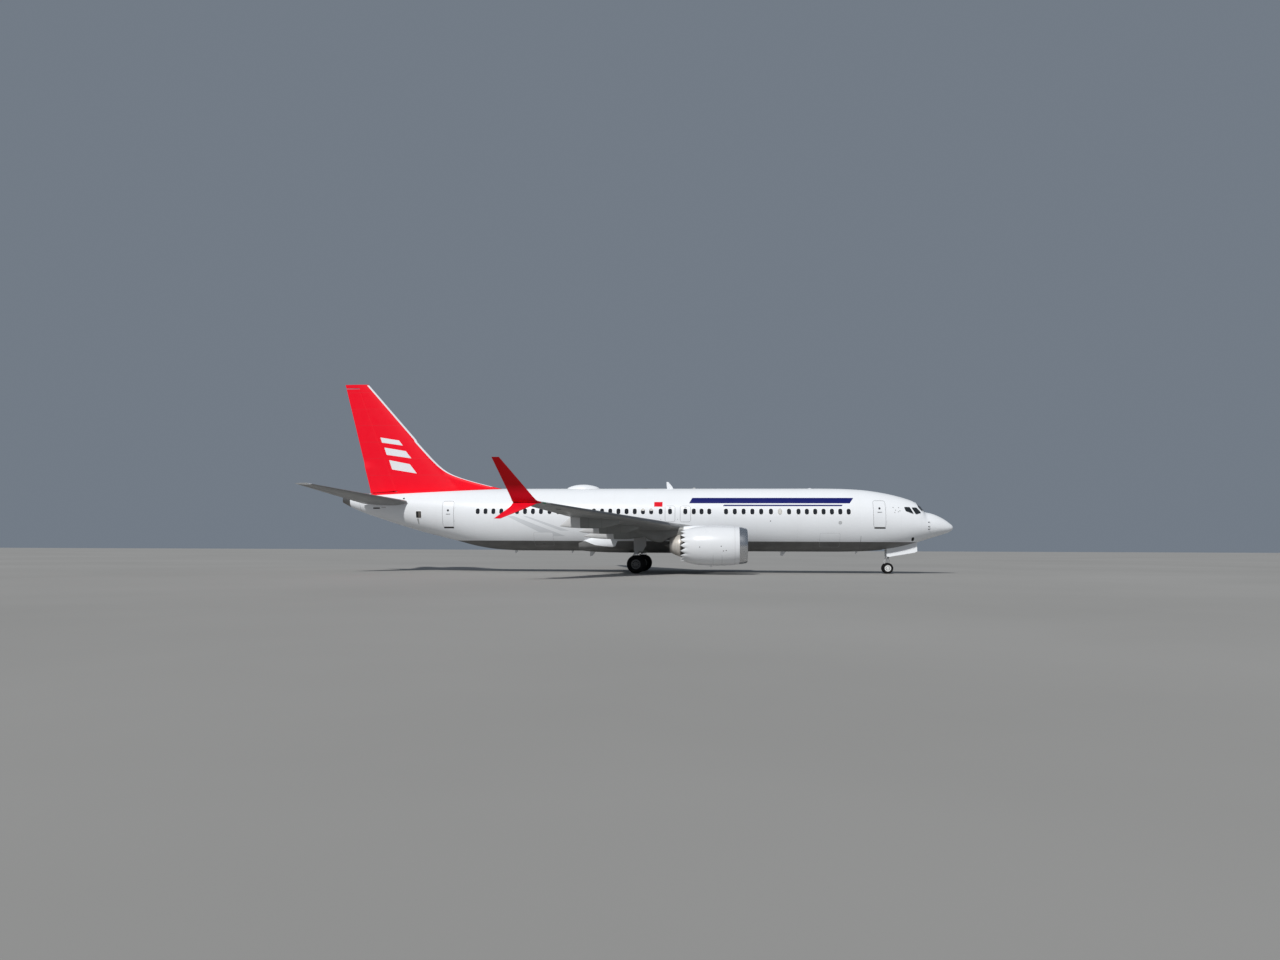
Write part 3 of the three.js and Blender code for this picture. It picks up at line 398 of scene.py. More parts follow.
def rod(path, radii, sides=16, rounded=0.0):
    """A round bar along a path, with one radius or one for each point, and ends that may be rounded."""
    path = np.array(path, float)
    radii = np.broadcast_to(np.asarray(radii, float), (len(path),)).copy()
    if rounded:
        start = path[0] + (path[1] - path[0]) / np.linalg.norm(path[1] - path[0]) * rounded
        end = path[-1] + (path[-2] - path[-1]) / np.linalg.norm(path[-2] - path[-1]) * rounded
        path = np.vstack([path[:1], start, path[1:-1], end, path[-1:]])
        inner = radii[1:-1]
        first, last = radii[0], radii[-1]
        radii = np.concatenate([[first - rounded, first], inner, [last, last - rounded]])
    tangents = np.gradient(path, axis=0)
    first, second = across(tangents[0])
    rings = []
    for point, tangent, radius in zip(path, tangents, radii):
        tangent = tangent / np.linalg.norm(tangent)
        first = first - tangent * np.dot(first, tangent)
        first /= np.linalg.norm(first)
        second = np.cross(tangent, first)
        turn = turns(sides)
        rings.append(point + radius * (np.outer(np.cos(turn), first) + np.outer(np.sin(turn), second)))
    return loft(rings)


def turned(profile, centre, axis, sides=48, loop=False):
    """A solid of revolution from rows of distance along an axis and radius."""
    centre = np.asarray(centre, float)
    axis = np.asarray(axis, float) / np.linalg.norm(axis)
    first, second = across(axis)
    turn = turns(sides)
    around = np.outer(np.cos(turn), first) + np.outer(np.sin(turn), second)
    rings = [centre + axis * distance + max(radius, 1e-4) * around for distance, radius in profile]
    return loft(rings, loop=loop)


def curve_points(points, steps=8):
    """A smooth line through points."""
    points = np.array(points, float)
    path = []
    for i in range(len(points) - 1):
        before = points[max(i - 1, 0)]
        a, b = points[i], points[i + 1]
        after = points[min(i + 2, len(points) - 1)]
        for t in np.linspace(0, 1, steps, endpoint=False):
            line = (b - before) * t
            square = (2 * before - 5 * a + 4 * b - after) * t**2
            cube = (3 * a - before - 3 * b + after) * t**3
            path.append(0.5 * (2 * a + line + square + cube))
    path.append(points[-1])
    return np.array(path)


class Skin:
    """A surface given by a rule from two coordinates, which can be lifted along its outward normal."""

    def __init__(self, rule, outward=1, step=2e-3):
        self.rule = rule
        self.outward = outward
        self.step = step

    def __call__(self, u, v, lift=0.0):
        u, v = np.broadcast_arrays(np.asarray(u, float), np.asarray(v, float))
        points = self.rule(u, v)
        if np.all(np.asarray(lift) == 0):
            return points
        along_u = self.rule(u + self.step, v) - self.rule(u - self.step, v)
        along_v = self.rule(u, v + self.step) - self.rule(u, v - self.step)
        normal = np.cross(along_u, along_v)
        normal /= np.maximum(np.linalg.norm(normal, axis=-1, keepdims=True), 1e-12)
        return points + self.outward * normal * np.asarray(lift)[..., None]


def quad_rows(corners, radius, rows):
    """The left and right ends of rows up a four-sided outline with rounded corners.
    The corners run bottom left, bottom right, top right, top left, in the skin's coordinates."""
    bottom_left, bottom_right, top_right, top_left = [np.array(c, float) for c in corners]
    tall = np.linalg.norm((top_left + top_right - bottom_left - bottom_right) / 2)
    wide = np.linalg.norm((bottom_right + top_right - bottom_left - top_left) / 2)
    radius = min(radius, tall / 2 - 1e-4, wide / 2 - 1e-4)
    arc = radius * (1 - np.cos(np.linspace(0, math.pi / 2, 5)))
    heights = np.concatenate([arc, np.linspace(radius, tall - radius, rows + 1)[1:-1], tall - arc[::-1]])
    for height in heights:
        end = min(height, tall - height)
        inset = radius - math.sqrt(max(radius**2 - max(radius - end, 0) ** 2, 0))
        t = height / tall
        left = bottom_left + (top_left - bottom_left) * t
        right = bottom_right + (top_right - bottom_right) * t
        step = (right - left) / np.linalg.norm(right - left)
        yield left + step * inset, right - step * inset


def panel(skin, corners, radius=0.03, lift=0.003, depth=0.006, columns=6, rows=8):
    """A plate that follows a skin, standing proud of it by lift and reaching depth below it."""
    rings = []
    for left, right in quad_rows(corners, radius, rows):
        t = np.linspace(0, 1, columns + 1)[:, None]
        line = left + (right - left) * t
        top = skin(line[:, 0], line[:, 1], lift)
        low = skin(line[::-1, 0], line[::-1, 1], -depth)
        rings.append(np.vstack([top, low]))
    return loft(rings)


def outline(corners, radius, per_side=6):
    """The closed outline of a four-sided shape with rounded corners."""
    corners = [np.array(c, float) for c in corners]
    points = []
    for i, corner in enumerate(corners):
        before, after = corners[i - 1], corners[(i + 1) % 4]
        to_before = (before - corner) / np.linalg.norm(before - corner)
        to_after = (after - corner) / np.linalg.norm(after - corner)
        start, end = corner + to_before * radius, corner + to_after * radius
        for t in np.linspace(0, 1, 5):
            points.append(start * (1 - t) ** 2 + corner * 2 * t * (1 - t) + end * t**2)
        next_start = after - to_after * radius
        if np.linalg.norm(next_start - end) > 1e-3:
            for t in np.linspace(0, 1, per_side + 1)[1:-1]:
                points.append(end + (next_start - end) * t)
    return np.array(points)


def rim(skin, corners, radius, width, lift=0.004, depth=0.004, grow=0.0, per_side=6):
    """A closed strip that runs round a four-sided outline on a skin, outside it by grow."""
    line = outline(corners, radius, per_side)
    ahead = np.roll(line, -1, axis=0) - np.roll(line, 1, axis=0)
    ahead /= np.linalg.norm(ahead, axis=1, keepdims=True)
    outward = np.stack([ahead[:, 1], -ahead[:, 0]], axis=1)
    middle = line.mean(axis=0)
    if np.mean(np.sum(outward * (line - middle), axis=1)) < 0:
        outward = -outward
    inner = line + outward * grow
    outer = line + outward * (grow + width)
    rings = [
        skin(inner[:, 0], inner[:, 1], -depth),
        skin(inner[:, 0], inner[:, 1], lift),
        skin(outer[:, 0], outer[:, 1], lift),
        skin(outer[:, 0], outer[:, 1], -depth),
    ]
    return loft(rings, loop=True)


def strip(skin, path, width, lift=0.0015, depth=0.003, steps=24):
    """A narrow ribbon along a path of the skin's coordinates."""
    path = np.array(path, float)
    lengths = np.concatenate([[0], np.cumsum(np.linalg.norm(np.diff(path, axis=0), axis=1))])
    marks = np.unique(np.concatenate([np.linspace(0, lengths[-1], steps + 1), lengths]))
    line = np.stack([np.interp(marks, lengths, path[:, c]) for c in (0, 1)], axis=1)
    ahead = np.gradient(line, axis=0)
    ahead /= np.linalg.norm(ahead, axis=1, keepdims=True)
    beside = np.stack([ahead[:, 1], -ahead[:, 0]], axis=1) * width / 2
    rings = []
    for point, offset in zip(line, beside):
        a, b = point - offset, point + offset
        u, v = np.array([a[0], b[0]]), np.array([a[1], b[1]])
        rings.append(np.vstack([skin(u, v, lift), skin(u[::-1], v[::-1], -depth)]))
    return loft(rings)


# Materials


class Shader:
    """A short way to write a material's nodes."""

    def __init__(self, name):
        self.material = bpy.data.materials.new(name)
        self.material.use_nodes = True
        self.tree = self.material.node_tree
        self.surface = self.tree.nodes["Principled BSDF"]
        self.coordinates = self.node("ShaderNodeTexCoord").outputs["Object"]

    def node(self, kind, inputs=None, **settings):
        made = self.tree.nodes.new(kind)
        for key, value in settings.items():
            setattr(made, key, value)
        for key, value in (inputs or {}).items():
            self.put(made.inputs[key], value)
        return made

    def put(self, socket, value):
        if isinstance(value, bpy.types.NodeSocket):
            self.tree.links.new(value, socket)
        else:
            socket.default_value = value

    def set(self, **values):
        for key, value in values.items():
            self.put(self.surface.inputs[key.replace("_", " ")], value)

    def math(self, operation, a, b=0.0):
        return self.node("ShaderNodeMath", {0: a, 1: b}, operation=operation).outputs[0]

    def axis(self, index):
        return self.node("ShaderNodeSeparateXYZ", {0: self.coordinates}).outputs[index]

    def noise(self, scale, detail=4.0, rough=0.55, stretch=(1, 1, 1)):
        mapping = self.node("ShaderNodeMapping", {"Vector": self.coordinates, "Scale": stretch})
        return self.node(
            "ShaderNodeTexNoise",
            {"Vector": mapping.outputs[0], "Scale": scale, "Detail": detail, "Roughness": rough},
        ).outputs["Fac"]

    def ramp(self, value, low, high, to_low=0.0, to_high=1.0):
        return self.node(
            "ShaderNodeMapRange",
            {"Value": value, "From Min": low, "From Max": high, "To Min": to_low, "To Max": to_high},
        ).outputs[0]

    def mix(self, factor, a, b):
        made = self.node("ShaderNodeMix", data_type="RGBA")
        self.put(made.inputs["Factor"], factor)
        self.put(made.inputs[6], a if isinstance(a, bpy.types.NodeSocket) else (*a, 1))
        self.put(made.inputs[7], b if isinstance(b, bpy.types.NodeSocket) else (*b, 1))
        return made.outputs[2]

    def lines(self, value, pitch, width, offset=0.0):
        """1 on thin lines a pitch apart, 0 between them."""
        shifted = self.math("ADD", value, offset)
        wave = self.math("PINGPONG", shifted, pitch / 2)
        return self.ramp(wave, width, width * 0.5)

    def bump(self, height, strength=0.3, distance=0.01):
        made = self.node("ShaderNodeBump", {"Height": height, "Strength": strength, "Distance": distance})
        self.put(self.surface.inputs["Normal"], made.outputs[0])


DOWNWARD = (1, 1, 0.25)  # stretches dirt into streaks that run down
EVEN = (1, 1, 1)
AFTWARD = (0.4, 1, 1)


def shade(colour, factor):
    return tuple(min(1.0, c * factor) for c in colour)


def add_seams(shader, colour, seams, darkness):
    """Darkens thin seams that cross an axis at a pitch, and gives them depth."""
    mask = None
    for axis, pitch, offset in seams:
        one = shader.lines(shader.axis(axis), pitch, 0.006, offset)
        mask = one if mask is None else shader.math("MAXIMUM", mask, one)
    if mask is None:
        return colour, None
    dark = shader.math("MULTIPLY", mask, darkness)
    return shader.mix(dark, colour, (0.12, 0.12, 0.12)), mask


def paint(name, colour, roughness=0.36, grime=0.10, seams=(), coat=0.10, streak=DOWNWARD, gleam=0.3):
    """Gloss enamel with soft dirt, uneven gloss, a slight waviness and thin panel seams."""
    shader = Shader(name)
    dirt = shader.ramp(shader.noise(0.9, 6, 0.6, streak), 0.42, 0.75, 0, grime)
    fine = shader.ramp(shader.noise(9, 3, 0.5), 0.3, 0.8, 0, grime * 0.5)
    tone = shader.mix(dirt, colour, shade(colour, 0.72))
    tone = shader.mix(fine, tone, shade(colour, 0.86))
    tone, mask = add_seams(shader, tone, seams, 0.35)
    gloss = shader.ramp(shader.noise(2.2, 4), 0.3, 0.7, roughness * 0.82, roughness * 1.25)
    wave = shader.noise(1.6, 2, 0.4)
    height = shader.math("MULTIPLY", wave, 0.35)
    if mask is not None:
        height = shader.math("SUBTRACT", height, mask)
    shader.bump(height, 0.12, 0.01)
    shader.set(Base_Color=tone, Roughness=gloss, Specular_IOR_Level=gleam)
    shader.set(Coat_Weight=coat, Coat_Roughness=0.2)
    return shader.material


def metal(name, colour, roughness, stain=None, brushed=(1, 1, 1), grime=0.25):
    """Bare metal with brushing, smudges and, where given, heat stain."""
    shader = Shader(name)
    smudge = shader.ramp(shader.noise(3.5, 5), 0.35, 0.75, 0, grime)
    tone = shader.mix(smudge, colour, shade(colour, 0.55))
    if stain:
        heat = shader.ramp(shader.noise(1.4, 4, 0.6), 0.4, 0.7)
        tone = shader.mix(heat, tone, stain)
    grain = shader.noise(60, 2, 0.5, brushed)
    gloss = shader.ramp(grain, 0.3, 0.7, roughness * 0.88, roughness * 1.15)
    shader.bump(grain, 0.02, 0.002)
    shader.set(Base_Color=tone, Roughness=gloss, Metallic=1.0)
    return shader.material


def dull(name, colour, roughness, grain_scale=30, bump=0.2, spread=0.35):
    """A matte surface such as rubber, sealant or a dark opening."""
    shader = Shader(name)
    dust = shader.ramp(shader.noise(4, 5), 0.4, 0.8, 0, spread)
    tone = shader.mix(dust, colour, tuple(c * 0.6 + 0.12 for c in colour))
    grain = shader.noise(grain_scale, 3)
    shader.bump(grain, bump, 0.003)
    rough = shader.ramp(grain, 0.3, 0.7, roughness * 0.9, min(1, roughness * 1.1))
    shader.set(Base_Color=tone, Roughness=rough, Specular_IOR_Level=0.2)
    return shader.material


def glass(name, colour, roughness=0.06):
    """Dark glass with a hint of dust and an uneven reflection."""
    shader = Shader(name)
    dust = shader.ramp(shader.noise(5, 4), 0.45, 0.85, 0, 0.25)
    tone = shader.mix(dust, colour, tuple(c + 0.05 for c in colour))
    shader.bump(shader.noise(2.5, 2), 0.03, 0.01)
    gloss = shader.ramp(dust, 0, 0.25, roughness, roughness * 3)
    shader.set(Base_Color=tone, Roughness=gloss, Coat_Weight=0.6, Coat_Roughness=0.03)
    return shader.material


WHITE_COLOUR = (0.83, 0.855, 0.89)
BELLY_COLOUR = (0.17, 0.17, 0.168)
RED_COLOUR = (0.93, 0.006, 0.024)
# The tall winglet blade's dark red is painted shade
BLADE_SHADE_RED = (0.26, 0.003, 0.005)
# The wings' and tailplane's grey is darker than their light grey paint: painted shade for their undersides
WING_SHADE_COLOUR = (0.27, 0.275, 0.275)
BLUE_COLOUR = (0.006, 0.010, 0.13)

BELLY_LINE = 1.98  # the height where the white paint ends
RED_LINE = ((28.7, 5.32), (33.27, 5.10), (37.07, 4.91))  # where the fin's red ends on the body
PAINT_EDGE = 0.006  # half the width over which one colour gives way to the next
# Where the wing's painted shadow on the flap-track fairings ends and their pale tails begin: the station on
# the centre line, and its sweep
CANOE_SHADOW_EDGE = {"station": 20.07, "sweep": 0.2034}
# The white lobe on the aft shoulder of the wing-body fairing, where the white paint runs lower; its front
# edge is the wing's painted shadow edge, and the grey ahead of it is painted shade: station and lowest
# height
SHADOW_EDGED_LOBE = [
    (20.98, 1.985),
    (21.12, 1.660),
    (21.30, 1.610),
    (21.90, 1.660),
    (22.40, 1.720),
    (22.70, 1.830),
    (23.05, 1.975),
]
# Aft of these stations the pylon's grey is partly painted shade under the wing
PYLON_SHADE = (16.70, 16.78)  # stations between which the pylon turns from white to grey
# Where the painted shade on the core inside the nacelle ends, and where the darkening of the nozzle begins
DUCT_SHADE_AND_DARK_NOZZLE = ((16.97, 16.90), (17.50, 17.60))


def body_paint(name="body_paint", shadow_edged_lobe=()):
    """White above, grey below a level line that may dip in a lobe whose front edge is a painted shadow edge,
    and the fin's red running down onto the crown.
    """
    shader = Shader(name)
    x, z = shader.axis(0), shader.axis(2)
    dirt = shader.ramp(shader.noise(0.7, 6, 0.62, (1, 1, 0.22)), 0.45, 0.78, 0, 0.10)
    fine = shader.ramp(shader.noise(7, 3), 0.35, 0.8, 0, 0.05)
    white = shader.mix(dirt, WHITE_COLOUR, (0.62, 0.62, 0.61))
    white = shader.mix(fine, white, (0.66, 0.66, 0.66))
    grey = shader.mix(shader.ramp(shader.noise(1.1, 6), 0.35, 0.75), BELLY_COLOUR, shade(BELLY_COLOUR, 0.7))
    red = shader.mix(shader.ramp(shader.noise(1.3, 4), 0.4, 0.8), RED_COLOUR, shade(RED_COLOUR, 0.86))
    line = BELLY_LINE
    # The lobe lowers the white paint; at its front edge the grey comes back as the wing's painted shadow
    for (s0, h0), (s1, h1) in zip(shadow_edged_lobe, shadow_edged_lobe[1:]):
        line = shader.math("ADD", line, shader.ramp(x, NOSE_X - s0, NOSE_X - s1, 0, h1 - h0))
    above = shader.ramp(shader.math("SUBTRACT", z, line), -PAINT_EDGE, PAINT_EDGE)
    tone = shader.mix(above, grey, white)
    (s0, h0), (s1, h1), (s2, h2) = RED_LINE
    fore = shader.ramp(x, NOSE_X - s0, NOSE_X - s1, h0, h1)
    aft = shader.ramp(x, NOSE_X - s1, NOSE_X - s2, 0, h2 - h1)
    over = shader.math("SUBTRACT", z, shader.math("ADD", fore, aft))
    crown = shader.ramp(over, -PAINT_EDGE, PAINT_EDGE)
    behind = shader.ramp(x, NOSE_X - s0 + 0.01, NOSE_X - s0 - 0.01)
    ahead = shader.ramp(x, NOSE_X - s2 - 0.35, NOSE_X - s2 - 0.33)
    crown = shader.math("MULTIPLY", crown, shader.math("MULTIPLY", behind, ahead))
    tone = shader.mix(crown, tone, red)
    tone, mask = add_seams(shader, tone, ((0, 1.27, 0.2), (2, 0.62, 0.27)), 0.07)
    wave = shader.math("MULTIPLY", shader.noise(1.5, 2, 0.4), 0.4)
    shader.bump(shader.math("SUBTRACT", wave, mask), 0.10, 0.01)
    gloss = shader.ramp(shader.noise(1.8, 4), 0.3, 0.7, 0.30, 0.44)
    shader.set(Base_Color=tone, Roughness=gloss, Specular_IOR_Level=0.16)
    shader.set(Coat_Weight=0.05, Coat_Roughness=0.2)
    return shader.material


def blade_paint():
    """The winglet's red, with painted shade that deepens it up the tall blade."""
    shader = Shader("winglet_enamel")
    z = shader.axis(2)
    # Painted shade: above this height the red turns to the dark red
    deep = shader.ramp(z, 3.80, 4.50)
    tone = shader.mix(deep, shade(RED_COLOUR, 0.85), BLADE_SHADE_RED)
    dirt = shader.ramp(shader.noise(2.2, 5, 0.6, (1, 1, 0.4)), 0.42, 0.78, 0, 0.16)
    tone = shader.mix(dirt, tone, shade(BLADE_SHADE_RED, 0.6))
    shader.bump(shader.noise(1.6, 2), 0.05, 0.01)
    gloss = shader.ramp(shader.noise(2.2, 4), 0.3, 0.7, 0.36, 0.50)
    shader.set(Base_Color=tone, Roughness=gloss, Specular_IOR_Level=0.08)
    return shader.material


def canoe_paint():
    """Pale flap-track fairings, dark grey ahead of the wing's shadow edge as painted shade; the edge follows
    the sweep of the wing.
    """
    shader = Shader("canoe_enamel")
    x, y = shader.axis(0), shader.axis(1)
    sweep = shader.math("MULTIPLY", shader.math("ABSOLUTE", y), CANOE_SHADOW_EDGE["sweep"])
    line = shader.math("ADD", x, sweep)
    start = NOSE_X - CANOE_SHADOW_EDGE["station"]
    tail = shader.ramp(line, start + 0.01, start - 0.01)
    soot_and_shade = shader.ramp(shader.noise(1.6, 6, 0.6, (0.4, 1, 1)), 0.4, 0.75, 0, 0.35)
    # grey is the wing's painted shade on the fairings' fronts, pale is their own paint on the tails
    grey = shader.mix(soot_and_shade, (0.24, 0.25, 0.245), (0.15, 0.15, 0.145))
    pale = shader.mix(soot_and_shade, (0.66, 0.67, 0.68), (0.50, 0.50, 0.49))
    tone = shader.mix(tail, grey, pale)
    shader.bump(shader.noise(2.0, 2), 0.05, 0.01)
    shader.set(Base_Color=tone, Roughness=shader.ramp(shader.noise(2.2, 4), 0.3, 0.7, 0.38, 0.52))
    return shader.material


def hot_metal():
    """Bare heat-stained metal, blackened inside the nacelle as painted shade, and darkened from the nozzle's
    edge aft.
    """
    shader = Shader("hot_metal")
    x = shader.axis(0)
    smudge = shader.ramp(shader.noise(3.5, 5), 0.35, 0.75, 0, 0.3)
    tone = shader.mix(smudge, (0.74, 0.71, 0.665), (0.52, 0.47, 0.42))
    rings = shader.ramp(shader.noise(1.2, 3, 0.5, (5, 0.3, 0.3)), 0.45, 0.65, 0, 0.35)
    tone = shader.mix(rings, tone, (0.50, 0.42, 0.35))
    (inside_end, inside_start), (nozzle_start, nozzle_end) = DUCT_SHADE_AND_DARK_NOZZLE
    # Painted shade: the core inside the nacelle is blackened; the nozzle's end and the plug are darkened too
    soot_and_shade = shader.ramp(x, NOSE_X - inside_end, NOSE_X - inside_start, 0, 0.93)
    tail = shader.ramp(x, NOSE_X - nozzle_start, NOSE_X - nozzle_end, 0, 0.85)
    tone = shader.mix(shader.math("MAXIMUM", soot_and_shade, tail), tone, (0.02, 0.019, 0.018))
    grain = shader.noise(60, 2)
    shader.bump(grain, 0.02, 0.002)
    shader.set(Base_Color=tone, Roughness=shader.ramp(grain, 0.3, 0.7, 0.40, 0.50), Metallic=0.45)
    return shader.material


def pylon_paint():
    """White ahead of the wing, and grey below it: partly its aft fairing's grey, partly painted shade under
    the wing, with soot.
    """
    shader = Shader("pylon_enamel")
    x = shader.axis(0)
    dirt = shader.ramp(shader.noise(1.2, 6), 0.4, 0.75, 0, 0.14)
    white = shader.mix(dirt, WHITE_COLOUR, shade(WHITE_COLOUR, 0.7))
    soot_and_shade = shader.ramp(shader.noise(2.4, 5, 0.6, (0.4, 1, 1)), 0.35, 0.7, 0, 0.6)
    grey = shader.mix(soot_and_shade, (0.24, 0.245, 0.24), (0.13, 0.125, 0.12))
    front, back = PYLON_SHADE
    tone = shader.mix(shader.ramp(x, NOSE_X - back, NOSE_X - front), grey, white)
    shader.bump(shader.noise(1.6, 2), 0.05, 0.01)
    shader.set(Base_Color=tone, Roughness=shader.ramp(shader.noise(2.2, 4), 0.3, 0.7, 0.36, 0.5))
    return shader.material


BODY_PAINT = body_paint()
FAIRING_PAINT = body_paint("fairing_paint", SHADOW_EDGED_LOBE)
WHITE = paint("white_enamel", WHITE_COLOUR, 0.36, 0.10)
NACELLE_WHITE = paint("nacelle_enamel", (0.78, 0.80, 0.83), 0.32, 0.14)
RED = paint("red_enamel", RED_COLOUR, 0.42, 0.05, ((2, 1.10, 0.35),), coat=0.0, gleam=0.12)
PATCH_RED = paint("patch_enamel", shade(RED_COLOUR, 0.82), 0.55, 0.05, coat=0.0, gleam=0.1)
WING_SEAMS = ((1, 0.92, 0.2), (0, 1.4, 0.1))
WING_GREY = paint("wing_enamel", WING_SHADE_COLOUR, 0.42, 0.30, WING_SEAMS, 0.15, EVEN)
# The tank covers' grey is darker than the underside's light grey: painted shade
UNDERWING_SHADE_GREY = paint("underwing_shade_enamel", (0.26, 0.27, 0.265), 0.45, 0.30, streak=AFTWARD)
CANOE_PAINT = canoe_paint()
BLADE = blade_paint()
HOT = hot_metal()
PYLON_PAINT = pylon_paint()
# The duct liner is near black as painted shade inside the nacelle
DUCT_SHADE_LINER = dull("duct_liner_shade", (0.05, 0.05, 0.052), 0.6, 90, 0.3, 0.1)
SPINNER = paint("spinner_enamel", (0.09, 0.092, 0.10), 0.30, 0.2)
CANOE_SEAM = dull("canoe_seam", (0.13, 0.13, 0.13), 0.7)
DOOR_GREY = paint("gear_door_enamel", (0.46, 0.465, 0.47), 0.42, 0.30, streak=EVEN)
BLUE = paint("blue_enamel", BLUE_COLOUR, 0.42, 0.08, coat=0.0, gleam=0.12)
PALE_GREY = paint("pale_grey_enamel", (0.66, 0.685, 0.72), 0.30, 0.08)
SEAM = dull("seam_shadow", (0.10, 0.10, 0.105), 0.7)
LIGHT_SEAM = dull("light_seam", (0.40, 0.41, 0.42), 0.6)
PALE_SEAM = dull("pale_seam", (0.50, 0.52, 0.54), 0.6, 30, 0.1, 0.2)
DARK = dull("dark_opening", (0.012, 0.012, 0.013), 0.85)
BAY_GREY = dull("bay_primer", (0.20, 0.22, 0.20), 0.6)
RUBBER = dull("tyre_rubber", (0.006, 0.006, 0.0065), 0.85, 55, 0.35, 0.05)
POLISHED = metal("polished_lip", (0.62, 0.63, 0.65), 0.26, None, (1, 0.2, 0.2))
# The slats' bare metal is darkened: painted shade and painted dark reflection
SLAT_SHADE_METAL = metal("slat_shade_metal", (0.22, 0.225, 0.23), 0.50, None, (1, 0.1, 1))
STEEL = metal("gear_steel", (0.62, 0.63, 0.65), 0.28)
CHROME = metal("piston_chrome", (0.86, 0.87, 0.88), 0.10, None, (1, 1, 0.1), 0.1)
FAN_METAL = metal("fan_metal", (0.20, 0.205, 0.215), 0.36, None, (1, 0.3, 0.3))
GEAR_PAINT = paint("gear_enamel", (0.52, 0.53, 0.54), 0.40, 0.35, streak=EVEN)
# The main wheels' hubs are near black as painted shade under the wing; the nose hubs keep a light grey
MAIN_HUB_SHADE_PAINT = paint("main_hub_shade_enamel", (0.17, 0.17, 0.168), 0.42, 0.35, streak=EVEN)
NOSE_HUB_PAINT = paint("nose_hub_enamel", (0.76, 0.77, 0.77), 0.40, 0.25, streak=EVEN)
WINDOW_GLASS = glass("cabin_glass", (0.012, 0.014, 0.018))
COCKPIT_GLASS = glass("cockpit_glass", (0.010, 0.013, 0.016))
SURROUND = paint("window_surround", (0.90, 0.91, 0.92), 0.35, 0.05)
LENS = glass("lamp_glass", (0.55, 0.57, 0.60), 0.05)
RED_LAMP = glass("red_lamp", (0.30, 0.01, 0.01), 0.08)
GREEN_LAMP = glass("green_lamp", (0.02, 0.16, 0.07), 0.08)
SHADE = paint("window_shade", (0.62, 0.61, 0.58), 0.5, 0.05, coat=0.0)
BRAKE_METAL = metal("brake_metal", (0.30, 0.29, 0.28), 0.5, (0.22, 0.17, 0.14))
DARK_METAL = metal("dark_metal", (0.12, 0.12, 0.125), 0.45)
BAY_METAL = metal("bay_metal", (0.45, 0.46, 0.44), 0.45)
EXHAUST = metal("exhaust_sleeve", (0.24, 0.235, 0.23), 0.42, (0.14, 0.12, 0.10))
TAIL_EDGE = paint("tail_edge_enamel", (0.20, 0.205, 0.21), 0.5, 0.3, coat=0.0, streak=EVEN, gleam=0.2)
WING_LIGHT = paint("spoiler_enamel", (0.42, 0.425, 0.43), 0.40, 0.25, coat=0.15, streak=EVEN)

# Body skin

body_profile = Profile(BODY)


def body_section(station):
    """Top, bottom, half width and widest height at stations, with a round nose cap."""
    station = np.asarray(station, float)
    flat = station.reshape(-1)
    values = body_profile(np.maximum(flat, 0))
    cap = flat < NOSE_ROUND
    share = np.sqrt(np.clip(flat / NOSE_ROUND, 0, 1))[:, None]
    tip, rim_row = body_profile(0.0), body_profile(NOSE_ROUND)
    values = np.where(cap[:, None], tip + (rim_row - tip) * share, values)
    return [values[:, c].reshape(station.shape) for c in range(4)]


def body_rule(station, angle):
    """The body's skin at a station and an angle from the crown, positive to port."""
    top, bottom, half, widest = body_section(station)
    rise = np.where(np.cos(angle) >= 0, top - widest, widest - bottom)
    return place(station, half * np.sin(angle), widest + rise * np.cos(angle))


def body_angle(station, height):
    """The angle from the crown at which the skin has a height."""
    top, bottom, _, widest = body_section(station)
    rise = np.where(height >= widest, top - widest, widest - bottom)
    return np.arccos(np.clip((height - widest) / rise, -0.9999, 0.9999))


def side_skin(side):
    """The body's side as a skin of station and height."""

    def rule(station, height):
        return body_rule(station, side * body_angle(station, height))

    return Skin(rule, side)


BODY_AROUND = Skin(body_rule, -1)
BODY_SIDE = {name: side_skin(side) for name, side in SIDES.items()}


def body_stations(start, end):
    cap = NOSE_ROUND * np.linspace(0, 1, 12) ** 2
    rest = spaced(NOSE_ROUND, 1.4, 16, 1.7, 6, 2.6, 30, 3.4, 12, 8.6, 26, 27.25, 38, 38.76, 58)
    marks = np.unique(np.concatenate([cap, rest]))
    inside = marks[(marks > start + 0.01) & (marks < end - 0.01)]
    return np.concatenate([[start], inside, [end]])


def body_solid(start, end):
    angle = turns(BODY_SIDES)
    stations = body_stations(start, end)
    stations[0] = max(stations[0], 1e-5)
    return loft([body_rule(np.full(BODY_SIDES, s), angle) for s in stations])


def well_cutters():
    """The two round wheel wells with their slots for the legs."""
    well = WHEEL_WELL
    station, foot, top = well["station"], well["foot"], well["top"]
    tools = []
    for side in SIDES.values():
        out = side * well["out"]
        walls = [(0, well["radius"]), (top - foot, well["radius"])]
        round_well = turned(walls, place(station, out, foot), UP, 56)
        slot = box(
            (station - well["arm_half"], out, foot),
            (station + well["arm_half"], side * well["arm_out"], top - well["arm_drop"]),
        )
        tools += [(*round_well, BAY_GREY), (*slot, BAY_GREY)]
    return tools


def build_body():
    half = NOSE_BAY["half"]
    bay = box((NOSE_BAY["front"], -half, 1.0), (NOSE_BAY["back"], half, NOSE_BAY["top"]))
    cutters = {"forward_fuselage": [(*bay, BAY_GREY)], "centre_fuselage": well_cutters()}
    for name, (start, end) in BODY_SECTIONS.items():
        solid = body_solid(start + SECTION_GAP * (start > 0), end - SECTION_GAP)
        made = piece(f"skin_{name}", solid, BODY_PAINT, replaces=[name])
        if name in cutters:
            carve(made, cutters[name])


# Lifting surfaces


def half_thickness(share):
    """Half the thickness of a wing section of unit chord and thickness."""
    return 5 * (
        0.2969 * np.sqrt(share) - 0.126 * share - 0.3516 * share**2 + 0.2843 * share**3 - 0.1015 * share**4
    )


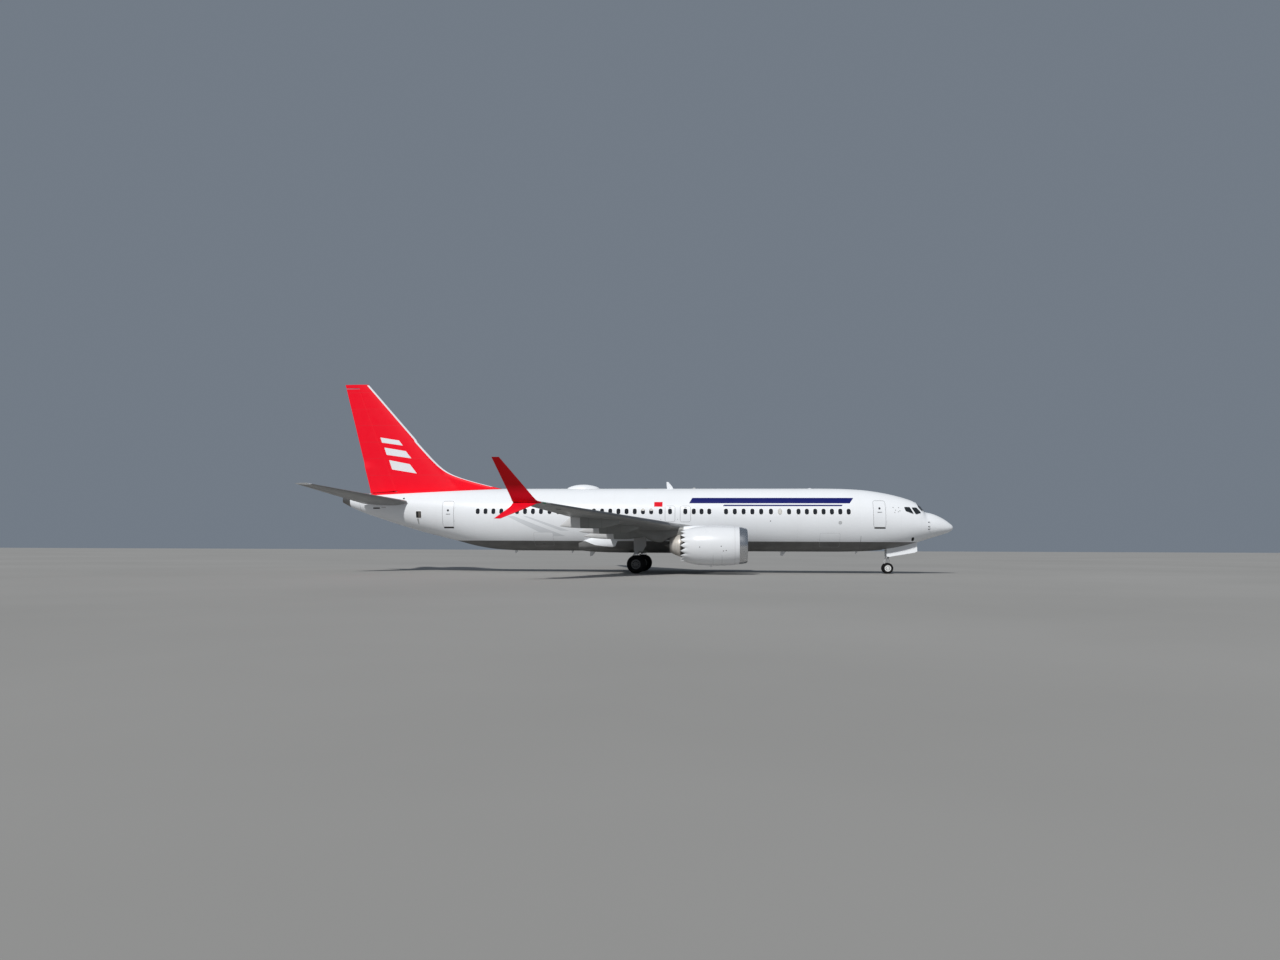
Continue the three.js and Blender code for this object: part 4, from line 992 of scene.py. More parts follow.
class Foil:
    """A wing, fin or tailplane half, from rows of span, leading edge, chord, height, thickness, twist.
    put turns span, station, height and rise across the section into a point of the frame."""

    def __init__(self, rows, put, camber=0.0, outward=1):
        self.rows = rows
        self.put = put
        self.camber = camber
        self.skin = Skin(self.surface, outward, 1e-3)

    def lead(self, span):
        return lerp_rows(self.rows, span)[0]

    def chord(self, span):
        return lerp_rows(self.rows, span)[1]

    def half(self, span, share):
        _, chord, _, ratio, _ = lerp_rows(self.rows, span)
        return ratio * chord * half_thickness(share) + BLUNT_EDGE * share

    def offset(self, span, share, up):
        """A point at a share of the chord, a distance above the mean line."""
        lead, chord, height, _, twist = lerp_rows(self.rows, span)
        turn = np.radians(twist)
        u = (share - 0.25) * chord
        v = up + self.camber * chord * 4 * share * (1 - share)
        back = u * np.cos(turn) + v * np.sin(turn)
        rise = v * np.cos(turn) - u * np.sin(turn)
        return self.put(span, lead + 0.25 * chord + back, height, rise)

    def surface(self, span, bend):
        """The skin: bend runs from -1 at the lower trailing edge through 0 at the nose to 1 above."""
        share = np.minimum(bend * bend, 1.0)
        return self.offset(span, share, np.sign(bend) * self.half(span, share))

    def at_share(self, span, share):
        """The station at a share of the chord."""
        return self.lead(span) + share * self.chord(span)

    def trail(self, span):
        return self.at_share(span, 1)

    def ring(self, span, share, closing, steps=22):
        """Points from the lower skin round the nose to the upper skin, then the closing points."""
        bend = np.linspace(-math.sqrt(share), math.sqrt(share), 2 * steps + 1)
        return np.vstack([self.surface(np.full(bend.shape, span), bend), closing])

    def cut(self, span, share, steps=7):
        """A ring that ends in a plain cut across the section."""
        half = self.half(span, share)
        wall = [self.offset(span, share, half * t) for t in np.linspace(0.9, -0.9, steps)]
        return self.ring(span, share, np.vstack(wall))

    def full(self, span):
        return self.cut(span, 1.0)

    def hollow(self, span, share, steps=7):
        """A ring that ends in a hollow, which a round nose turns in about a share of the chord."""
        half = self.half(span, share)
        radius = ROUND_NOSE * half + COVE_GAP
        angle = np.linspace(0.5, -0.5, steps) * math.pi * 0.96
        points = [
            self.offset(span, share - radius * math.cos(a) / self.chord(span), radius * math.sin(a))
            for a in angle
        ]
        start = share - math.sqrt(max(radius**2 - half**2, 0)) / self.chord(span)
        return self.ring(span, start, np.vstack(points))

    def moving(self, span, share, round_nose=True, steps=18):
        """A ring of a surface behind a line of the section, with a round or a blunt nose."""
        half = ROUND_NOSE * self.half(span, share)
        tail = np.linspace(1, math.sqrt(share), steps)
        upper = self.surface(np.full(steps, span), tail)
        lower = self.surface(np.full(steps, span), -tail[::-1])
        swell = half if round_nose else 0.01
        chord = self.chord(span)
        nose = [
            self.offset(span, share - swell * math.cos(a) / chord, half * math.sin(a)) for a in NOSE_TURN
        ]
        return np.vstack([upper, nose, lower])


def wing_put(side):
    return lambda span, station, height, rise: place(station, side * np.asarray(span), height + rise)


def fin_put(span, station, height, rise):
    return place(station, rise, span)


WING_FOIL = {name: Foil(WING, wing_put(side), WING_CAMBER, side) for name, side in SIDES.items()}
TAIL_FOIL = {name: Foil(TAILPLANE, wing_put(side), 0.0, side) for name, side in SIDES.items()}
FIN_FOIL = Foil(FIN, fin_put)


def flap_share(foil, span):
    if span < OUTER_FLAP["from"]:
        return (INNER_FLAP["front"] - foil.lead(span)) / foil.chord(span)
    return OUTER_FLAP["share"]


def wing_rings(foil):
    """The fixed part of a wing: full sections between the movable panels, cut ones ahead of them."""

    def ahead_of_flap(span):
        return foil.cut(span, flap_share(foil, span) - PANEL_GAP / foil.chord(span))

    def ahead_of_aileron(span):
        return foil.hollow(span, AILERON["hinge"])

    inner, outer = ((flap["from"] - PANEL_GAP, flap["to"] + PANEL_GAP) for flap in (INNER_FLAP, OUTER_FLAP))
    aileron = (AILERON["from"] - SWING_GAP, AILERON["to"] + SWING_GAP)
    # Section, start, end, count
    stretches = [
        (foil.full, WING_ROOT, inner[0], 5),
        (ahead_of_flap, *inner, 16),
        (foil.full, inner[1], outer[0], 2),
        (ahead_of_flap, *outer, 20),
        (foil.full, outer[1], aileron[0], 2),
        (ahead_of_aileron, *aileron, 12),
        (foil.full, aileron[1], WING[-1][0], 4),
    ]
    rings = []
    for section, start, end, count in stretches:
        rings += [section(span) for span in np.linspace(start + HAIR, end - HAIR, count)]
    return rings


def build_wing(name):
    foil = WING_FOIL[name]
    cover(f"{name}_wing", loft(wing_rings(foil)), WING_GREY)
    for flap, label in ((INNER_FLAP, "inboard_flap"), (OUTER_FLAP, "outboard_flap")):
        spans = np.linspace(flap["from"], flap["to"], 14)
        rings = [foil.moving(s, flap_share(foil, s), False) for s in spans]
        cover(f"{name}_{label}", loft(rings), WING_GREY)
    spans = np.linspace(AILERON["from"], AILERON["to"], 14)
    rings = [foil.moving(s, AILERON["hinge"]) for s in spans]
    cover(f"{name}_aileron", loft(rings), WING_GREY, f"{name}_aileron")


def leaning_ring(values, side, steps=18):
    """A section of a winglet. Its thickness leans from upright towards the centreline."""
    out, lead, height, chord, ratio, lean = values
    bend = np.linspace(-1, 1, 2 * steps + 1)
    share = bend * bend
    rise = np.sign(bend) * (ratio * chord * half_thickness(share) + BLUNT_EDGE * share)
    tilt = math.radians(lean)
    return place(lead + share * chord, side * (out - rise * math.sin(tilt)), height + rise * math.cos(tilt))


def winglet_rings(rows, side, count):
    table = np.array(rows, float)
    steps = np.linalg.norm(np.diff(table[:, [0, 2]], axis=0), axis=1)
    travel = np.concatenate([[0], np.cumsum(steps)])
    profile = Profile(np.column_stack([travel, table]))
    marks = travel[-1] * np.linspace(0, 1, count)
    return [leaning_ring(profile(mark)[0], side) for mark in marks]


def build_winglet(name):
    upper = loft(winglet_rings(WINGLET_UP, SIDES[name], 34))
    lower = loft(winglet_rings(WINGLET_DOWN, SIDES[name], 22))
    cover(f"{name}_winglet", [upper, lower], BLADE)


# Fin and rudder


dorsal_profile = Profile(DORSAL)


def dorsal_lead(height):
    """The leading edge of the fin with its dorsal fillet."""
    top = DORSAL[-1][0]
    return np.where(height < top, dorsal_profile(np.minimum(height, top))[0, 0], FIN_FOIL.lead(height))


def hinge_station(height):
    (s0, h0), (s1, h1) = RUDDER["foot"], RUDDER["top"]
    return s0 + (s1 - s0) * (height - h0) / (h1 - h0)


def fin_half(station, height):
    """Half the thickness of the fin with its fillet at a station and a height."""
    lead, chord = FIN_FOIL.lead(height), FIN_FOIL.chord(height)
    share = np.clip((station - lead) / chord, 0, 1)
    blade = FIN_FOIL.half(height, share)
    fore = float(dorsal_lead(height))
    nose = np.clip((station - fore) / 0.9, 0, 1)
    fillet = DORSAL_HALF * np.sqrt(nose * (2 - nose)) if fore < lead - 0.02 else 0.0
    return np.maximum(blade, fillet)


def fin_ring(height, cut_station, closing, steps=26):
    fore = float(dorsal_lead(height))
    bend = np.linspace(-1, 1, 2 * steps + 1)
    station = fore + (cut_station - fore) * bend * bend
    rise = np.sign(bend) * fin_half(station, height)
    return np.vstack([place(station, rise, height), closing])


FIN_CUT = RUDDER["top"][1] + RUDDER["cap_gap"]  # the rudder's top is just below this height
FIN_HEIGHTS = spaced(4.95, 5.4, 8, 7.2, 20, 8.6, 8, FIN_CUT - HAIR, 12)
FIN_HOLLOW = 15  # points round the hollow that the rudder's nose turns in
RUDDER_SEAL = (35.84, 37.38)  # the first and last station of the ridge below the rudder


def build_fin():
    rings = []
    for height in FIN_HEIGHTS:
        hinge = float(hinge_station(height))
        half = float(fin_half(np.array(hinge), height))
        radius = ROUND_NOSE * half + COVE_GAP
        start = hinge - math.sqrt(max(radius**2 - half**2, 0))
        reach = math.asin(min(half / radius, 1))
        angle = np.linspace(reach, -reach, FIN_HOLLOW + 2)[1:-1]
        closing = place(hinge - radius * np.cos(angle), radius * np.sin(angle), height)
        rings.append(fin_ring(height, start, closing))
    for height in np.linspace(FIN_CUT + HAIR, FIN[-1][0], 4):
        trail = float(FIN_FOIL.trail(height))
        edge = np.linspace(0.9, -0.9, FIN_HOLLOW) * BLUNT_EDGE
        rings.append(fin_ring(height, trail, place(trail, edge, height)))
    piece("fin_skin", loft(rings), RED, replaces=["vertical_fin"])


def build_rudder():
    """Level rings from the foot to the top, the lowest of which follows the body's crown."""
    rings = []
    base, top = RUDDER["base"], RUDDER["top"][1]
    for t in (0.0, *np.linspace(0.02, 1, 28)):
        level = base + (top - base) * t
        hinge, trail = float(hinge_station(level)), float(FIN_FOIL.trail(level))
        half = ROUND_NOSE * float(fin_half(np.array(hinge), level))
        station = hinge + (trail - hinge) * np.linspace(1, 0, 18)
        upper = place(station, fin_half(station, level), level)
        lower = place(station[::-1], -fin_half(station[::-1], level), level)
        nose = place(hinge - half * np.cos(NOSE_TURN), half * np.sin(NOSE_TURN), level)
        rings.append(np.vstack([upper, nose, lower]))
    rings[0][:, 2] = foot_height(NOSE_X - rings[0][:, 0])
    cover("rudder", loft(rings), RED, "rudder")


def foot_height(station):
    """The rudder's foot: level at the hinge, then just above the body's crown."""
    base = RUDDER["base"]
    crown = body_section(np.clip(station, 0, 38.76))[0] + RUDDER["lift"]
    behind = np.clip((station - float(hinge_station(base))) / 0.4, 0, 1)
    return base * (1 - behind) + np.minimum(crown, base) * behind


def build_rudder_seal():
    """A low ridge on the crown that closes the slot below the rudder."""
    out = np.array([-0.03, -0.022, 0.022, 0.03])
    rings = []
    for station in np.linspace(*RUDDER_SEAL, 28):
        foot = float(body_section(np.array([station]))[0][0]) - 0.03
        top = float(foot_height(np.array([station]))[0]) - 0.008
        rings.append(place(station, out, np.array([foot, top, top, foot])))
    piece("rudder_seal", loft(rings), RED)


# Tailplane


def root_out(station):
    (s0, o0), (s1, o1) = TAILPLANE_ROOT
    return o0 + (o1 - o0) * (station - s0) / (s1 - s0)


def tail_root_ring(ring_at, side, offset=0.0):
    """A ring on the slanted root plane: each point is found on a line along the span."""
    near, far = ring_at(0.75), ring_at(1.75)
    points = []
    for a, b in zip(near, far):
        low, high = 0.0, 1.0
        for _ in range(30):
            t = (low + high) / 2
            point = a + (b - a) * (t * 2 - 0.5)
            inside = side * point[1] < root_out(NOSE_X - point[0]) + offset
            low, high = (t, high) if inside else (low, t)
        points.append(a + (b - a) * (low * 2 - 0.5))
    return np.array(points)


def build_tailplane(name):
    foil, side, end = TAIL_FOIL[name], SIDES[name], ELEVATOR["to"]

    def fixed(span):
        return foil.hollow(span, ELEVATOR["hinge"])

    def mover(span):
        return foil.moving(span, ELEVATOR["hinge"])

    rings = [tail_root_ring(fixed, side)]
    rings += [fixed(span) for span in np.linspace(1.6, end + SWING_GAP - HAIR, 22)]
    rings += [foil.full(span) for span in np.linspace(end + SWING_GAP + HAIR, TAILPLANE[-1][0], 4)]
    elevator = [tail_root_ring(mover, side, 0.06)]
    elevator += [mover(span) for span in np.linspace(1.45, end, 20)]
    for node, shape in ((f"{name}_stabilizer", rings), (f"{name}_elevator", elevator)):
        cover(node, loft(shape), WING_GREY, node)


# Fairings


fairing_profile = Profile(FAIRING)


def fairing_rule(station, angle):
    """The wing-body fairing's skin at a station and an angle from its top."""
    values = fairing_profile(np.ravel(station))
    top, bottom, half = (values[:, c].reshape(np.shape(station)) for c in range(3))
    out = half * eased(np.sin(angle), FAIRING_BOXY)
    return place(station, out, (top + bottom) / 2 + (top - bottom) / 2 * eased(np.cos(angle), FAIRING_BOXY))


def build_fairing():
    angle = turns(72)
    stations = spaced(12.7, 14.6, 16, 21.6, 22, 23.5, 14)
    rings = [fairing_rule(np.full(72, station), angle) for station in stations]
    made = piece("fairing_skin", loft(rings), FAIRING_PAINT, replaces=["wing_body_fairing"])
    carve(made, well_cutters())


def canoe_heights(foil, size, t):
    """The top and bottom of a flap-track fairing at a share of its length."""
    out, front, long = size["out"], size["front"], size["back"] - size["front"]
    lead, chord = float(foil.lead(out)), float(foil.chord(out))
    share = min((front + long * t - lead) / chord, 1.0)
    tail = (lead + chord - front) / long
    past = max(t - tail, 0) / (1 - tail)
    inside = float(foil.offset(out, share, 0.0)[2]) - 0.25 * float(foil.half(out, share))
    top = inside + (size["tip"] - inside) * past
    sag = math.sin(math.pi / 2 * min(t / FAIRING_DEEPEST, 1)) ** 0.8
    rise = (max(t - FAIRING_DEEPEST, 0) / (1 - FAIRING_DEEPEST)) ** 3
    bottom = size["nose"] - (size["nose"] - size["low"]) * sag + (size["tip"] - size["low"]) * rise
    return top, min(bottom, top - 0.004)


def canoe_ring(foil, side, size, t, grow=0.0, points=28):
    """A section of a flap-track fairing at a share of its length."""
    top, bottom = canoe_heights(foil, size, t)
    swell = size["half"] * max(math.sin(math.pi * t), 0.001) ** 0.55 + 0.004 + grow
    angle = turns(points)
    reach = np.where(np.sin(angle) >= 0, top - bottom + grow, FAIRING_ARCH * swell)
    height = top - reach * eased(np.sin(angle), 0.8)
    station = size["front"] + (size["back"] - size["front"]) * t
    return place(station, side * (size["out"] + swell * np.cos(angle)), height)


def build_flap_fairings(name):
    for label, size in FLAP_FAIRINGS.items():
        marks = (1 - np.cos(np.linspace(0.03, 0.985, 34) * math.pi)) / 2
        rings = [canoe_ring(WING_FOIL[name], SIDES[name], size, t) for t in marks]
        cover(f"{name}_{label}_flap_fairing", loft(rings), CANOE_PAINT)


# Engines

# The nacelle's outside: station and radius
NACELLE_OUTSIDE = [
    (12.992, 0.964),
    (13.015, 0.990),
    (13.090, 1.026),
    (13.240, 1.058),
    (13.470, 1.088),
    (14.000, 1.143),
    (14.900, 1.174),
    (15.900, 1.126),
    (16.760, 0.938),
]
NACELLE_INSIDE = [
    (12.992, 0.964),
    (13.010, 0.938),
    (13.080, 0.908),
    (13.230, 0.880),
    (13.470, 0.886),
    (14.330, 0.886),
    (14.600, 0.950),
    (15.500, 1.000),
    (16.760, 0.914),
]
LIP_FRONT, LIP_BACK = 12.992, 13.47
CHEVRON_ROOT, CHEVRON_LINE = 16.35, 16.76  # the teeth are drawn out between these stations
CORE_OUTSIDE = [
    (14.27, 0.300),
    (15.20, 0.580),
    (16.00, 0.690),
    (16.90, 0.665),
    (17.20, 0.570),
    (17.56, 0.395),
]
# From the nozzle's edge forward along its inside, then in to the axis
NOZZLE_INSIDE = [(17.555, 0.372), (17.50, 0.360), (17.30, 0.358), (17.30, 0.26), (17.30, 0.001)]
PLUG = [(17.30, 0.255), (17.60, 0.205), (17.80, 0.085), (17.90, 0.004)]
PLUG_FOOT = [(17.25, 0.001), (17.25, 0.256)]
SPINNER_OUTSIDE = [(0, 0.002), (0.03, 0.055), (0.12, 0.125), (0.47, 0.270), (0.72, 0.285)]
FAN = {"station": 14.075, "radius": 0.872, "root": 0.20, "blades": 18, "tip": 13.48}
# The fan's blades: radius, twist, half chord, half thickness, forward lean
FAN_BLADE = [
    (0.20, 28, 0.125, 0.016, 0.00),
    (0.40, 38, 0.140, 0.012, 0.02),
    (0.62, 50, 0.160, 0.009, 0.03),
    (0.80, 58, 0.165, 0.006, 0.01),
    (0.872, 62, 0.150, 0.005, -0.015),
]
# The vanes behind the fan: their front station, and their section as distance back and to the side
GUIDE_VANES = 36
VANE_FRONT = 14.44
VANE_SECTION = [(0, 0), (0.06, 0.012), (0.18, 0.0), (0.06, -0.012)]
PYLON_SIDES = 28

nacelle_outside, nacelle_inside = Profile(NACELLE_OUTSIDE), Profile(NACELLE_INSIDE)
spinner_outside = Profile(SPINNER_OUTSIDE)


def engine_centre(side):
    return place(0.0, side * ENGINE_OUT, ENGINE_HEIGHT)


def engine_ring(station, radius, side, angle):
    out = side * ENGINE_OUT + radius * np.sin(angle)
    return place(station, out, ENGINE_HEIGHT + radius * np.cos(angle))


def chevron_shift(angle, share):
    """How far a point of the trailing edge moves aft, by its place on a tooth. share is 0 to 1."""
    tooth = np.abs(((angle * CHEVRONS / TAU) % 1.0) * 2 - 1)
    return CHEVRON_DEPTH * (2 * (1 - tooth) ** 0.9 - 1) * share


def nacelle_skin(side):
    def rule(station, angle):
        radius = nacelle_outside(station.reshape(-1))[:, 0].reshape(station.shape)
        return engine_ring(station, radius, side, angle)

    return Skin(rule, -1)


def build_nacelle(name):
    side = SIDES[name]
    angle = turns(CHEVRONS * 8)
    marks = spaced(LIP_BACK, 14.0, 8, 15.9, 24, CHEVRON_LINE, 14)
    rings = []
    for profile, order in ((nacelle_outside, marks), (nacelle_inside, marks[::-1])):
        for station in order:
            share = np.clip((station - CHEVRON_ROOT) / (CHEVRON_LINE - CHEVRON_ROOT), 0, 1) ** 1.5
            moved = station + chevron_shift(angle, share)
            rings.append(engine_ring(moved, profile(station)[0, 0], side, angle))
    paint_inside(cover(f"{name}_nacelle", loft(rings, loop=True), NACELLE_WHITE), side)
    marks = LIP_FRONT + (LIP_BACK - HAIR - LIP_FRONT) * np.linspace(0, 1, 16) ** 1.8
    rings = [engine_ring(s, nacelle_outside(s)[0, 0], side, angle[::2]) for s in marks[::-1]]
    rings += [engine_ring(s, nacelle_inside(s)[0, 0], side, angle[::2]) for s in marks[1:]]
    node = f"{name}_inlet_lip"
    piece(f"{name}_lip_skin", loft(rings, loop=True), POLISHED, replaces=[node])


def paint_inside(made, side):
    """The duct's faces, which look towards the engine's axis, get the liner, near black as painted shade."""
    made.data.materials.append(DUCT_SHADE_LINER)
    centre = Vector(engine_centre(side))
    for polygon in made.data.polygons:
        outward = polygon.center - centre
        outward.x = 0
        if polygon.normal.dot(outward.normalized()) < -0.2:
            polygon.material_index = 1


def fan_blade(side, turn):
    """A twisted, swept blade from the hub to the tip."""
    rows = Profile(FAN_BLADE)
    rings = []
    for radius in np.linspace(FAN["root"], FAN["radius"], 12):
        twist, half, thick, lean = rows(radius)[0]
        a = math.radians(twist)
        s = np.linspace(-1, 1, 9)
        bulge = thick * (1 - s**2) ** 0.5
        bow = 0.10 * half * (1 - s**2)
        u = np.concatenate([s * half, (s * half)[::-1][1:-1]])
        v = np.concatenate([bow + bulge, (bow - bulge)[::-1][1:-1]])
        back = u * math.cos(a) - v * math.sin(a) - lean
        over = u * math.sin(a) + v * math.cos(a)
        angle = turn + np.arctan2(over, radius)
        reach = np.minimum(np.hypot(over, radius), FAN["radius"])
        rings.append(engine_ring(FAN["station"] + back, reach, side, angle))
    return loft(rings)


def build_fan(name):
    side, node = SIDES[name], f"{name}_fan"
    marks = SPINNER_OUTSIDE[-1][0] * np.linspace(0, 1, 26) ** 1.6
    rows = [(-FAN["tip"] - m, spinner_outside(m)[0, 0]) for m in marks]
    spinner = turned(rows, engine_centre(side), FORWARD, 64)
    blades = [fan_blade(side, turn) for turn in turns(FAN["blades"])]
    piece(f"{name}_fan_blades", blades, FAN_METAL, node, [node], 40)
    piece(f"{name}_fan_spinner", spinner, SPINNER, node)


def build_core(name):
    """The engine's core with its nozzle and plug, and the vanes behind the fan."""
    side = SIDES[name]
    centre = engine_centre(side)
    outside, plug = Profile(CORE_OUTSIDE), Profile(PLUG)
    rows = [(-s, outside(s)[0, 0]) for s in np.linspace(CORE_OUTSIDE[0][0], CORE_OUTSIDE[-1][0], 34)]
    rows += [(-s, radius) for s, radius in NOZZLE_INSIDE]
    body = turned([(-CORE_OUTSIDE[0][0], 0.001), *rows], centre, FORWARD, 72)
    rows = [(-s, radius) for s, radius in PLUG_FOOT]
    rows += [(-s, plug(s)[0, 0]) for s in np.linspace(PLUG[0][0], PLUG[-1][0], 16)]
    cone = turned(rows, centre, FORWARD, 56)
    cover(f"{name}_engine_core", [body, cone], HOT)
    vanes = []
    back, over = np.array(VANE_SECTION).T
    for i in range(GUIDE_VANES):
        turn = (i + 0.5) * TAU / GUIDE_VANES
        rings = [
            engine_ring(VANE_FRONT + back, radius, side, turn + over / radius)
            for radius in (0.30, 0.60, 0.90)
        ]
        vanes.append(loft(rings))
    piece(f"{name}_guide_vanes", vanes, STEEL)


# The pylon's side view: station, top, bottom. Its top aft of the wing's leading edge is inside the wing.
PYLON_SIDE = [
    (14.56, 2.700, 2.692),
    (14.90, 2.850, 2.560),
    (15.30, 2.872, 2.400),
    (15.90, 2.885, 2.230),
    (16.50, 2.860, 2.205),
    (16.93, 2.815, 2.188),
    (17.10, 2.810, 2.180),
    (17.56, 2.798, 2.125),
    (17.80, 2.792, 1.985),
    (18.09, 2.785, 1.890),
    (18.64, 2.773, 1.975),
    (19.08, 2.764, 2.220),
    (19.55, 2.716, 2.540),
    (19.65, 2.700, 2.692),
]
PYLON_PLAN = [(14.5, 0.010), (15.0, 0.120), (15.9, 0.205), (17.5, 0.215), (18.8, 0.150), (19.7, 0.006)]


def build_pylon(name):
    heights, plan = Profile(PYLON_SIDE), Profile(PYLON_PLAN)
    rings = []
    angle = turns(PYLON_SIDES)
    for station in np.linspace(PYLON_SIDE[0][0], PYLON_SIDE[-1][0], 60):
        top, bottom = heights(station)[0]
        out = SIDES[name] * ENGINE_OUT + plan(station)[0, 0] * eased(np.sin(angle), 0.6)
        height = (top + bottom) / 2 + (top - bottom) / 2 * eased(np.cos(angle), 0.8)
        rings.append(place(station, out, height))
    cover(f"{name}_pylon", loft(rings), PYLON_PAINT)


# Landing gear

# Station and distance out, radius of the solid tyre, its width, spacing of the two wheels, radius of
# the rim, number of holes in a wheel and radius of the axle
GEAR_COLUMNS = ("station", "out", "solid", "width", "spacing", "rim", "holes", "axle")
MAIN_GEAR = dict(zip(GEAR_COLUMNS, (19.69, 2.86, 0.565, 0.40, 0.864, 0.285, 10, 0.056)))
NOSE_GEAR = dict(zip(GEAR_COLUMNS, (4.09, 0.0, 0.343, 0.19, 0.40, 0.190, 8, 0.040)))
SOLID_TYRE_SIDES = 24
# A tyre's wall: shares of half its width and of its depth
TYRE_WALL = [
    (-0.72, 0.00),
    (-0.80, 0.10),
    (-0.93, 0.28),
    (-1.00, 0.50),
    (-0.96, 0.72),
    (-0.84, 0.88),
    (-0.66, 0.965),
]
TYRE_GROOVES = (-0.42, -0.14, 0.14, 0.42)
# A wheel's flanges, its dished web with a hub, and its barrel: share of half the tyre's width, share
# of the rim's radius, and what is added to it
WHEEL_OUTLINE = [
    (0.60, 1.00, 0.0),
    (0.70, 1.00, 0.012),
    (0.76, 1.00, 0.010),
    (0.76, 1.00, -0.006),
    (0.62, 0.90, 0.0),
    (0.30, 0.84, 0.0),
    (0.12, 0.74, 0.0),
    (0.20, 0.46, 0.0),
    (0.42, 0.40, 0.0),
    (0.66, 0.36, 0.0),
    (0.74, 0.27, 0.0),
    (0.76, 0.00, 0.0),
    (-0.30, 0.00, 0.0),
    (-0.30, 0.40, 0.0),
    (-0.05, 0.50, 0.0),
    (-0.05, 0.76, 0.0),
    (-0.66, 0.88, 0.0),
    (-0.76, 1.00, -0.006),
    (-0.76, 1.00, 0.010),
    (-0.70, 1.00, 0.012),
    (-0.60, 1.00, 0.0),
]
NOSE_DOOR = {"front": 2.29, "back": 4.18, "out": 0.342, "thick": 0.032}
NOSE_DOOR_EDGE = (1.355, 1.032)  # height of its lower edge at the front and at the back


def axle_height(gear):
    """The solid tyre rests on one of its flats, so its axle is a little lower than its radius."""
    return gear["solid"] * math.cos(math.pi / SOLID_TYRE_SIDES)


def tyre_profile(gear):
    """A closed outline of distance along the axle and radius, with round sidewalls and four grooves."""
    radius, rim_radius, half = axle_height(gear) - HAIR, gear["rim"], gear["width"] / 2
    deep = radius - rim_radius
    left = [(half * a, rim_radius + deep * r) for a, r in TYRE_WALL]
    crown = []
    for middle in TYRE_GROOVES:
        for shift, sunk in ((-0.035, 0), (-0.025, 1), (0.025, 1), (0.035, 0)):
            along = middle + shift
            fall = 0.020 * deep * (along / 0.5) ** 2 + 0.045 * deep * sunk
            crown.append((half * along, radius - fall))
    right = [(-a, r) for a, r in reversed(left)]
    return left + crown + right


def wheel_profile(gear):
    """A closed outline of distance along the axle and radius."""
    rim_radius, half = gear["rim"] - 0.001, gear["width"] / 2
    return [(half * along, rim_radius * share + extra) for along, share, extra in WHEEL_OUTLINE]


def ring_of(count, radius, centre, axis, shift=0.0, turn=0.0):
    first, second = across(axis)
    for i in range(count):
        angle = i * TAU / count + turn
        yield centre + axis * shift + radius * (math.cos(angle) * first + math.sin(angle) * second)


def build_wheels(label, gear, side, tyre_names, hub_paint):
    """Two wheels on an axle, with their tyres. tyre_names gives each tyre's name by its side of the leg."""
    half, rim_radius, body = gear["width"] / 2, gear["rim"], f"{label}_wheels"
    bolts, axle_ends = [], []
    for sign, node in tyre_names.items():
        out = side * gear["out"] + sign * gear["spacing"] / 2
        centre, axis = place(gear["station"], out, axle_height(gear)), np.array([0, sign, 0.0])
        shape = turned(wheel_profile(gear), centre, axis, 64)
        which = "outer" if sign > 0 else "inner"
        made = piece(f"{label}_wheel_{which}", shape, hub_paint, body)
        spots = ring_of(gear["holes"], rim_radius * 0.62, centre, axis, -half)
        tools = merged([rod([spot, spot + axis * half * 2], rim_radius * 0.095, 18) for spot in spots])
        carve(made, [(*tools, DARK)])
        if sign == 1:
            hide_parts(f"{label}_wheel_hubs")
        tyre = turned(tyre_profile(gear), centre, axis, 96, loop=True)
        piece(f"{node}_rubber", tyre, RUBBER, body, [node], 40)
        for spot in ring_of(gear["holes"], rim_radius * 0.80, centre, axis, half * 0.24, TAU / 36):
            bolts.append(rod([spot, spot + axis * half * 0.10], rim_radius * 0.030, 6))
        for spot in ring_of(8, rim_radius * 0.30, centre, axis, half * 0.62):
            bolts.append(rod([spot, spot + axis * half * 0.14], rim_radius * 0.028, 6))
        axle_ends.append(centre)
    fitting(f"{label}_wheel_bolts", bolts, STEEL, body)
    fitting(f"{label}_axle", rod(axle_ends, gear["axle"], 24), STEEL, body)


def link(start, end, wide, thick):
    """A forged link between two pins: a tapered bar with round eyes, flat across the aircraft."""
    start, end = np.array(start, float), np.array(end, float)
    ahead = (end - start) / np.linalg.norm(end - start)
    up = np.cross(ACROSS, ahead)
    rings = []
    for t, swell in ((0.0, 1.0), (0.15, 0.78), (0.5, 0.58), (0.85, 0.62), (1.0, 0.8)):
        middle = start + (end - start) * t
        w = (wide[0] + (wide[1] - wide[0]) * t) / 2 * (1.0 if t in (0.0, 1.0) else 0.9)
        h = thick * swell / 2
        rings.append([middle + ACROSS * a + up * b for a, b in quad(-w, w, -h, h)])
    parts = [loft(rings)]
    for pin, width in ((start, wide[0]), (end, wide[1])):
        reach = ACROSS * (width / 2 + 0.012)
        parts.append(rod([pin - reach, pin + reach], thick * 0.62, 18))
    return parts


def collar(centre, radius, long, swell=1.12, axis=UP):
    """A ring round a strut, with eased edges."""
    half = long / 2
    rows = [
        (-half, radius * 0.5),
        (-half, radius),
        (-half + 0.006, radius * swell),
        (half - 0.006, radius * swell),
        (half, radius),
        (half, radius * 0.5),
    ]
    return turned(rows, centre, axis, 32, loop=True)


def points_of(gear, side):
    """A short way to points by their distance aft of a leg and out from it, and their height."""
    return lambda back, out, height: place(gear["station"] + back, side * (gear["out"] + out), height)


LEG_TOP = 2.54
# The door on the main leg, as distance aft of the axle and height
LEG_DOOR = {
    "outline": [(-0.60, 1.70), (-0.38, 1.33), (0.15, 1.35), (0.17, 1.95), (0.06, 2.52), (-0.60, 2.52)],
    "out": 0.150,
    "thick": 0.034,
}


